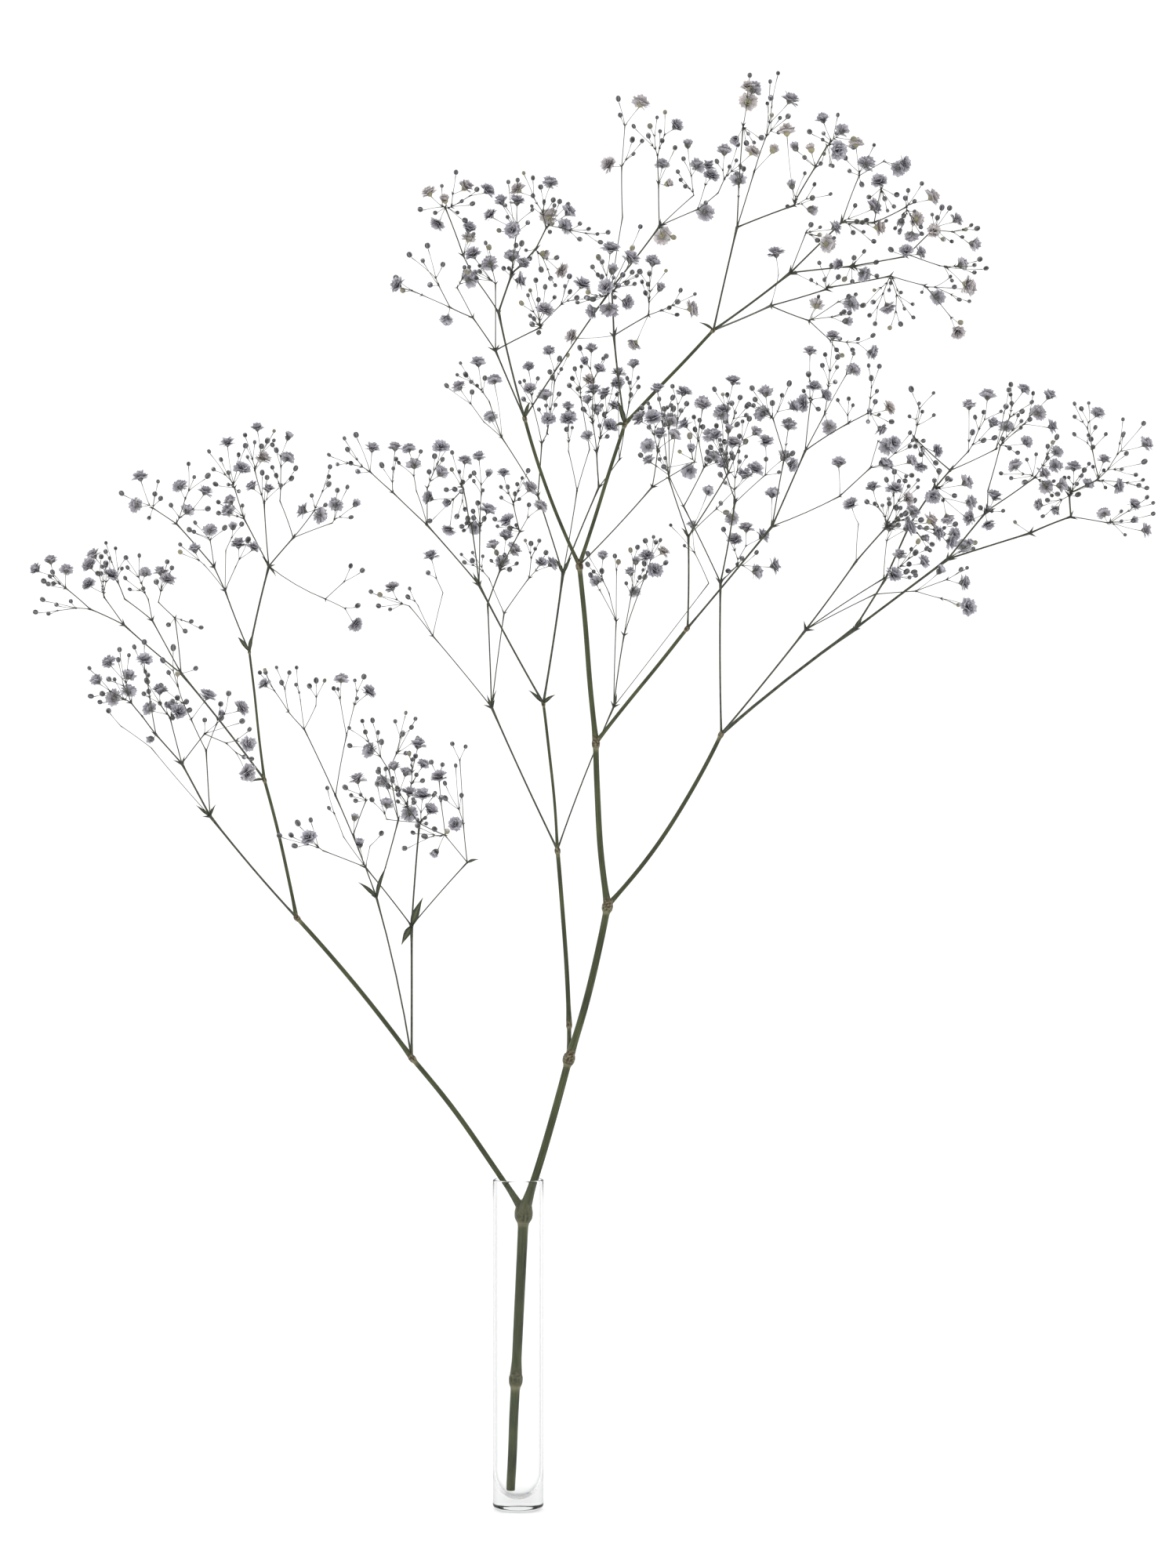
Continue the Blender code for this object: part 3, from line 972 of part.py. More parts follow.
def rods_of(node, mark):
    """The twigs, blooms and buds above a fork, as rods with a radius. Each has a mark of its own."""
    rods = []
    for number, (start, end, carried, upper) in enumerate(twigs_of(node, node["place"])):
        own = mark + number / 1000
        if upper["item"] is None:
            rods.append(rod(start, end, solid_diameter(carried) / 2, own))
            continue
        wide = BLOOM_DIAMETER if upper["item"]["kind"] == "bloom" else BUD_DIAMETER
        reach = HEAD_FILL * upper["item"]["size"] * wide / 2
        rods.append(rod(start, end, THINNEST_SOLID / 2, own))
        rods.append((*end, *(end + Vector((0, 0, 0.2 * MM))), reach, own))
    return rods


def standing_rods():
    """The stem's stretches and the twigs between the knots, for the tufts to keep clear of."""
    rods = []
    for knot, (lower, upper) in STRETCHES.items():
        points = stretch_points(knot)
        for start, end in zip(points, points[1:]):
            rods.append((*start, *end, max(lower, upper) / 2 * MM, -1))
    for number, (knot, (below, *_)) in enumerate(KNOTS.items()):
        if spray_of(knot) is not None:
            rods.append(rod(knot_place(below), knot_place(knot), KNOT_TWIG_RADIUS, -2 - number))
    return rods


# Stem

def stretch_points(knot):
    """Points up one stretch of the stem, from the knot below it to its own, with its bow."""
    start, end = knot_place(KNOTS[knot][0]), knot_place(knot)
    right, up = BOWS.get(knot, (0, 0))
    pieces = 4 if knot in BOWS else 2
    bow = Vector((right * GRID, 0, up * GRID))
    points = []
    for step in range(pieces + 1):
        t = step / pieces
        points.append(start.lerp(end, t) + bow * (4 * t * (1 - t)))
    return points


def mesh_object(name, bm, collection):
    mesh = bpy.data.meshes.new(name)
    bm.to_mesh(mesh)
    bm.free()
    obj = bpy.data.objects.new(name, mesh)
    collection.objects.link(obj)
    return obj


def tube_along(name, points, radii, collection, resolution):
    """A rod through points, as a bevelled curve made a mesh with its caps welded."""
    curve = bpy.data.curves.new(name, "CURVE")
    curve.dimensions = "3D"
    curve.bevel_depth = 1.0
    curve.bevel_resolution = resolution
    curve.use_fill_caps = True
    spline = curve.splines.new("POLY")
    spline.points.add(len(points) - 1)
    for spot, place, radius in zip(spline.points, points, radii):
        spot.co = (*place, 1)
        spot.radius = radius
    guide = bpy.data.objects.new(name, curve)
    collection.objects.link(guide)
    bpy.context.view_layer.update()
    mesh = bpy.data.meshes.new_from_object(guide.evaluated_get(bpy.context.evaluated_depsgraph_get()))
    bpy.data.objects.remove(guide)
    bm = bmesh.new()
    bm.from_mesh(mesh)
    bpy.data.meshes.remove(mesh)
    bmesh.ops.remove_doubles(bm, verts=bm.verts, dist=0.001 * MM)
    bmesh.ops.recalc_face_normals(bm, faces=bm.faces)
    return mesh_object(name, bm, collection)


def add_stretch(knot, collection):
    """One stretch of the stem, swollen towards the knots at both ends."""
    lower, upper = (diameter * MM / 2 for diameter in STRETCHES[knot])
    points = stretch_points(knot)
    below = KNOTS[knot][0]
    start, end = points[0], points[-1]
    first, last = (points[1] - start).normalized(), (end - points[-2]).normalized()
    flare = 1.0 if KNOTS[below][0] is None else FORK_FLARES.get(below, LIMB_FLARE)
    swell = FORK_SWELLING.get(knot, KNOT_SWELLING)
    line = [start, start + first * TAPER_LENGTH] + points[1:-1]
    line += [end - last * KNOT_LENGTH, end, end + last * upper]
    radii = [lower * flare, lower]
    for step in range(1, len(points) - 1):
        radii.append(lower + (upper - lower) * step / (len(points) - 1))
    radii += [upper, upper * swell, upper * CAP_SHARE]
    return tube_along(STEM, line, radii, collection, 2 if lower > THICK_STEM / 2 else 1)


def square_up(face, centre, along, radius):
    """Moves a face's corners to a new centre, evenly spaced round the line of the twig."""
    side = along.orthogonal().normalized()
    other = along.cross(side)
    middle = face.calc_center_median()
    corners = list(face.verts)
    angles = []
    for vert in corners:
        offset = vert.co - middle
        angles.append(math.atan2(offset.dot(other), offset.dot(side)))
    step = math.tau / len(corners)
    turned = face.normal.dot(along)
    if turned < 0:
        step = -step
    lean_x = sum(math.cos(angle - step * i) for i, angle in enumerate(angles))
    lean_y = sum(math.sin(angle - step * i) for i, angle in enumerate(angles))
    start = math.atan2(lean_y, lean_x)
    for i, vert in enumerate(corners):
        angle = start + step * i
        vert.co = centre + (side * math.cos(angle) + other * math.sin(angle)) * radius


def draw_out(bm, face, centre, along, radius, number):
    """Extrudes a face to a new centre. Returns the new end face and the faces round its side."""
    end = bmesh.ops.extrude_discrete_faces(bm, faces=[face])["faces"][0]
    end.normal_update()
    square_up(end, centre, along, radius)
    sides = [other for edge in end.edges for other in edge.link_faces if other is not end]
    for drawn in [end] + sides:
        drawn.normal_update()
        drawn.material_index = number
    return end, sides


def add_head(bm, face, node):
    """A stalk drawn out of a face, which opens into a bloom's ring of petals or a bud."""
    item = node["item"]
    start = face.calc_center_median()
    bloom = item["kind"] == "bloom"
    facing = ((item["place"] - start).normalized() + Vector((0, 0, UPWARD_LEAN))).normalized()
    height = (BLOOM_HEIGHT if bloom else BUD_HEIGHT) * item["size"]
    ring_height = (BLOOM_RIM_HEIGHT if bloom else BUD_BELLY_HEIGHT) * item["size"]
    radius = (BLOOM_DIAMETER if bloom else BUD_DIAMETER) / 2 * item["size"]
    neck = item["place"] - facing * height * NECK_DEPTH
    stalk = (neck - start).normalized()
    end, _ = draw_out(bm, face, neck, stalk, RING_FACTOR * THINNEST_SOLID / 2, node["number"])
    if not bloom or item["size"] < SMALL_BLOOM:
        pair = list(end.edges)[0].verts
        middle = (pair[0].co + pair[1].co) / 2
        bmesh.ops.pointmerge(bm, verts=list(pair), merge_co=middle)
        end.normal_update()
    rim, _ = draw_out(bm, end, neck + facing * ring_height, facing, radius, node["number"])
    if bloom:
        corners = list(rim.verts)
        middle = rim.calc_center_median()
        bmesh.ops.bisect_edges(bm, edges=list(rim.edges), cuts=1)
        for vert in rim.verts:
            offset = vert.co - middle
            if vert in corners:
                vert.co = middle + offset.normalized() * radius * PETAL_NOTCH - facing * PETAL_DROP
            else:
                vert.co = middle + offset.normalized() * radius
    crown = bmesh.ops.poke(bm, faces=[rim])["verts"][0]
    crown.co = neck + facing * height


def add_twigs(bm, face, node, loose):
    """Twigs drawn out of the collar at a fork: one through its end, the others through its sides."""
    start = face.calc_center_median()
    along = (node["place"] - start).normalized()
    collar = min(COLLAR, SHORT_COLLAR * (node["place"] - start).length)
    radius = RING_FACTOR * solid_diameter(node["carried"]) / 2
    lower, _ = draw_out(bm, face, node["place"] - along * collar, along, radius, node["number"])
    end, sides = draw_out(bm, lower, node["place"], along, radius, node["number"])
    twigs = [twig for twig in node["twigs"] if twig["number"] not in loose]
    if not twigs:
        return
    aims = [(twig["place"] - node["place"]).normalized() for twig in twigs]
    onward = max(range(len(aims)), key=lambda i: aims[i].dot(along))
    others = [i for i in range(len(aims)) if i != onward]
    best = max(
        itertools.permutations(sides, len(others)),
        key=lambda picked: sum(side.normal.dot(aims[i]) for side, i in zip(picked, others)),
    )
    for side, i in [(end, onward)] + list(zip(best, others)):
        if twigs[i]["item"]:
            add_head(bm, side, twigs[i])
        else:
            add_twigs(bm, side, twigs[i], loose)


def twig_solid(start, node, loose):
    """A closed solid of one twig and all that it carries, apart from the twigs set loose."""
    along = (node["place"] - start).normalized()
    bm = bmesh.new()
    turn = along.to_track_quat("Z", "Y").to_matrix().to_4x4()
    radius = RING_FACTOR * solid_diameter(node["carried"]) / 2
    bmesh.ops.create_circle(
        bm, cap_ends=True, segments=TWIG_SIDES, radius=radius, matrix=Matrix.Translation(start) @ turn,
    )
    bm.faces.ensure_lookup_table()
    foot = bm.faces[0]
    foot.normal_update()
    if foot.normal.dot(along) < 0:
        foot.normal_flip()
    foot.material_index = node["number"]
    foot.copy(verts=False, edges=False)
    if node["item"]:
        add_head(bm, foot, node)
    else:
        add_twigs(bm, foot, node, loose)
    bmesh.ops.triangulate(bm, faces=bm.faces)
    bmesh.ops.recalc_face_normals(bm, faces=bm.faces)
    return bm


def most_crossed(bm, by_number):
    """The number of the light twig whose faces cross the most others in one solid, if any do."""
    bm.faces.ensure_lookup_table()
    tree = BVHTree.FromBMesh(bm)
    pairs = set()
    for first, second in tree.overlap(tree):
        one, other = bm.faces[first], bm.faces[second]
        if first < second and not set(one.verts) & set(other.verts):
            pairs.add((one.material_index, other.material_index))
    votes = {}
    for pair in pairs:
        lightest = min(by_number[number]["carried"] for number in pair)
        for number in set(pair):
            if by_number[number]["carried"] == lightest:
                votes[number] = votes.get(number, 0) + 1
    return max(votes, key=lambda number: (votes[number], number)) if votes else None


def number_twigs(node, by_number):
    node["number"] = len(by_number)
    by_number.append(node)
    for twig in node["twigs"]:
        number_twigs(twig, by_number)


def add_twig_solids(root, start, pieces):
    """The solids of a spray. What would cross in one solid is set loose as another, for the union."""
    by_number = []
    number_twigs(root, by_number)
    below = {twig["number"]: node for node in by_number for twig in node["twigs"]}
    loose = set()
    while True:
        bm = twig_solid(start, root, loose)
        crossed = most_crossed(bm, by_number)
        bm.free()
        if not crossed:
            break
        loose.add(crossed)
    for number in [root["number"]] + sorted(loose):
        node = by_number[number]
        foot = start
        if node is not root:
            fork = below[number]["place"]
            foot = fork - (node["place"] - fork).normalized() * ROOT_DEPTH
        bm = twig_solid(foot, node, loose)
        for face in bm.faces:
            face.material_index = 0
        mesh_object("twigs", bm, pieces)


def leaf_tip(leaf):
    knot, column, row, forward, _ = leaf
    return seen(column, row, KNOTS[knot][3] - forward)


def add_leaf(leaf, collection):
    """A lance-shaped blade from a knot to its tip, arched along its length."""
    knot, width = leaf[0], leaf[4]
    base = knot_place(knot)
    along = leaf_tip(leaf) - base
    below = knot_place(KNOTS[knot][0])
    normal = (base - below).normalized() * LEAF_LIFT - Vector((0, 1, 0))
    normal = (normal - along.normalized() * normal.dot(along.normalized())).normalized()
    across = along.normalized().cross(normal)
    bm = bmesh.new()
    rows = []
    for t, half in LEAF_STATIONS:
        arch = normal * along.length * LEAF_ARCH * 4 * t * (1 - t)
        middle = base + along * t + arch
        rows.append([bm.verts.new(middle + across * half * width * side) for side in (-1, 1)])
    faces = []
    for (a, b), (c, d) in zip(rows, rows[1:]):
        faces.append(bm.faces.new((a, b, d, c)))
    bm.normal_update()
    if sum((face.normal for face in faces), Vector()).dot(normal) < 0:
        bmesh.ops.reverse_faces(bm, faces=faces)
    bmesh.ops.solidify(bm, geom=faces, thickness=LEAF_THICKNESS)
    bmesh.ops.triangulate(bm, faces=bm.faces)
    bmesh.ops.recalc_face_normals(bm, faces=bm.faces)
    return mesh_object("leaf", bm, collection)


def root_gap(name):
    """How far from its knot a spray's first twig starts, to stand clear of the stem and its sisters."""
    knot = KNOTS[name][0]
    origin = knot_place(knot)
    own = knot_place(name) - origin
    radius = ROOT_RADIUS
    far = STRETCHES[knot][1] / 2 * MM * FORK_SWELLING.get(knot, KNOT_SWELLING) + ROOT_CLEARANCE
    for other, (below, *_) in KNOTS.items():
        if below != knot or other == name:
            continue
        angle = own.angle(knot_place(other) - origin)
        if other in STRETCHES:
            other_radius = max(STRETCHES[other]) / 2 * MM
            far = max(far, (radius + other_radius + JOINT_GAP) / max(math.sin(angle), 0.05))
        else:
            far = max(far, (2 * radius + JOINT_GAP) / (2 * math.sin(angle / 2)))
    for leaf in LEAVES:
        if leaf[0] == knot:
            angle = own.angle(leaf_tip(leaf) - origin)
            far = max(far, (radius + leaf[4] / 2 + JOINT_GAP) / max(math.sin(angle), 0.2))
    return far


def join(name, collection, parent_collection, material):
    """One Boolean union of all that stands in a collection, as a single object."""
    pieces = list(collection.objects)
    first = pieces[0]
    collection.objects.unlink(first)
    parent_collection.objects.link(first)
    if len(pieces) > 1:
        union = first.modifiers.new("join", "BOOLEAN")
        union.operation = "UNION"
        union.operand_type = "COLLECTION"
        union.collection = collection
        union.solver = "MANIFOLD"
    bpy.context.view_layer.update()
    joined = bpy.data.meshes.new_from_object(first.evaluated_get(bpy.context.evaluated_depsgraph_get()))
    for piece in pieces:
        bpy.data.objects.remove(piece)
    bpy.data.collections.remove(collection)
    joined.materials.clear()
    joined.materials.append(material)
    obj = bpy.data.objects.new(name, joined)
    parent_collection.objects.link(obj)
    return obj


def add_tube(collection, material):
    """The glass tube: one turned wall with a bowl for its inner floor, and a rounded heel and rim."""
    outer, wall = TUBE_DIAMETER / 2, TUBE_WALL
    inner = outer - wall
    profile = [(0, TUBE_FOOT)]
    for step in range(1, 5):
        angle = math.radians(-90 + 22.5 * step)
        profile.append((inner * math.cos(angle), TUBE_FOOT + BOWL_DEPTH + BOWL_DEPTH * math.sin(angle)))
    for step in range(4):
        angle = math.radians(180 - 60 * step)
        profile.append((
            outer - wall / 2 + wall / 2 * math.cos(angle),
            TUBE_HEIGHT - wall / 2 + wall / 2 * math.sin(angle),
        ))
    for step in range(3):
        angle = math.radians(-45 * step)
        profile.append((
            outer - HEEL_RADIUS + HEEL_RADIUS * math.cos(angle),
            HEEL_RADIUS + HEEL_RADIUS * math.sin(angle),
        ))
    profile.append((0, 0))
    mesh = bpy.data.meshes.new(TUBE)
    verts = [(across, 0, up) for across, up in profile]
    mesh.from_pydata(verts, [(i, i + 1) for i in range(len(verts) - 1)], [])
    obj = bpy.data.objects.new(TUBE, mesh)
    collection.objects.link(obj)
    turn = obj.modifiers.new("turn", "SCREW")
    turn.angle = math.tau
    turn.steps = turn.render_steps = TUBE_SIDES
    turn.use_merge_vertices = True
    turn.merge_threshold = 0.001 * MM
    mesh.materials.append(material)
    return obj


def finish(name, colour, roughness, transmission=0.0):
    material = bpy.data.materials.new(name)
    material.use_nodes = True
    shader = material.node_tree.nodes["Principled BSDF"]
    shader.inputs["Base Color"].default_value = (*colour, 1)
    shader.inputs["Roughness"].default_value = roughness
    shader.inputs["Transmission Weight"].default_value = transmission
    return material


def new_collection(name):
    collection = bpy.data.collections.new(name)
    bpy.context.scene.collection.children.link(collection)
    return collection


def build_stem(collection):
    pieces = new_collection("stem_pieces")
    for knot in STRETCHES:
        add_stretch(knot, pieces)
    for leaf in LEAVES:
        if spray_of(leaf[0]) is None:
            add_leaf(leaf, pieces)
    join(STEM, pieces, collection, finish("stem_green", (0.075, 0.09, 0.042), 0.6))


def build_spray(name, root, collection, material):
    pieces = new_collection(name + "_pieces")
    foot = knot_place(KNOTS[name][0])
    along = (root["place"] - foot).normalized()
    add_twig_solids(thin(root), foot + along * root_gap(name), pieces)
    for leaf in LEAVES:
        if spray_of(leaf[0]) == name:
            add_leaf(leaf, pieces)
    join("spray_" + name, pieces, collection, material)


def main():
    for obj in list(bpy.data.objects):
        bpy.data.objects.remove(obj)
    collection = new_collection("gypsophila_stem")
    add_tube(collection, finish("clear_glass", (1.0, 1.0, 1.0), 0.02, 1.0))
    build_stem(collection)
    petals = finish("grey_petals", (0.27, 0.26, 0.31), 0.75)
    for name, root in grow_all().items():
        build_spray(name, root, collection, petals)


main()
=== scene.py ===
import math
import random

import bpy
import numpy as np
from mathutils import Matrix, Vector


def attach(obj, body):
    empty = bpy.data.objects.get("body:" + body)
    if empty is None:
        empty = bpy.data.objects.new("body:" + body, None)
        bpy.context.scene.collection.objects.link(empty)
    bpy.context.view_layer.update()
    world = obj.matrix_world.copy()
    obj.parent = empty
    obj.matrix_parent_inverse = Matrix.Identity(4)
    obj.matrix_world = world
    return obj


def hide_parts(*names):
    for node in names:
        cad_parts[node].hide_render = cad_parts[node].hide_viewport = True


# The looks of a cut stem of double gypsophila, dyed silver grey, in a clear glass tube.
# The knots, tufts and growth rules repeat those of the solids, so every twig stands where they have it.

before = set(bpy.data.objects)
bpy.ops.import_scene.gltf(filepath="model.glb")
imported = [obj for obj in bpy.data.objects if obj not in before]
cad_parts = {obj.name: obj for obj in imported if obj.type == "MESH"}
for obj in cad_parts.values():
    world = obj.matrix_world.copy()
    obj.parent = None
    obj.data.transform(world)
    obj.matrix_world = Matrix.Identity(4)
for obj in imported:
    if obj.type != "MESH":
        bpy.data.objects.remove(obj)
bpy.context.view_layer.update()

MM = 0.001

# The glass tube
TUBE_DIAMETER = 26 * MM
TUBE_HEIGHT = 168 * MM
TUBE_WALL = 1.4 * MM
TUBE_FOOT = 5.0 * MM
HEEL_RADIUS = 2.5 * MM
BOWL_DEPTH = 15.0 * MM
TUBE_SIDES = 96

# Blooms and buds, as the solids have them
BLOOM_DIAMETER = 7.5 * MM
BLOOM_HEIGHT = 4.4 * MM
BUD_DIAMETER = 2.7 * MM
BUD_HEIGHT = 3.0 * MM
NECK_DEPTH = 0.6
UPWARD_LEAN = 0.35
BLOOM_SHARE = 0.93
BUD_SHARE = 1.2
BLOOM_SIZES = (0.84, 1.08)
BUD_SIZES = (0.7, 1.1)
SOLID_BUD_SHARE = 0.04

# Twigs: a stalk that carries one bloom, and how a twig thickens with what it carries
STALK_DIAMETER = 0.23 * MM
TWIG_GAIN = 0.105 * MM
TWIG_POWER = 0.53
THINNEST_SOLID = 0.6 * MM
SHORTEST_STALK = 5.0 * MM
SHORTEST_TWIG = 2.0 * MM
MOST_TWIGS = 4
FORK_STEP = 1.6 * MM

# How freely blooms spread, and how far tufts stand in or out
BLOOM_ROOM = 650 * MM ** 3
BUD_ROOM = 110 * MM ** 3
DEEPEST_TUFT = 20 * MM
TUFT_WANDER = 0.45
BLOOM_SPREAD = 1.1
BUD_SPREAD = 1.2
LEAST_SPREAD = 0.2
BALL_FACTOR = 4.19
FRONT_WEIGHTS = (1.0, 0.3, 1.0)
PLACE_TRIES = 24
TUFT_TRIES = 60
STRAIGHT_ENOUGH = 2.0 * MM
FORK_CLEARANCE = 2.0 * MM
KNOT_TWIG_RADIUS = 0.45 * MM
HEAD_FILL = 0.95
JOINT_GAP = 0.35 * MM
FIRST_SEED = 7

# The front view: what one step of its grid is worth at the tube, and where the eye stands
GRID = 0.4 * MM
TUBE_COLUMN, FLOOR_ROW = 661, 1924
EYE_COLUMN, EYE_ROW = 750, 1000
EYE_DISTANCE = 2.0
DEPTH_SCALE = 1.3

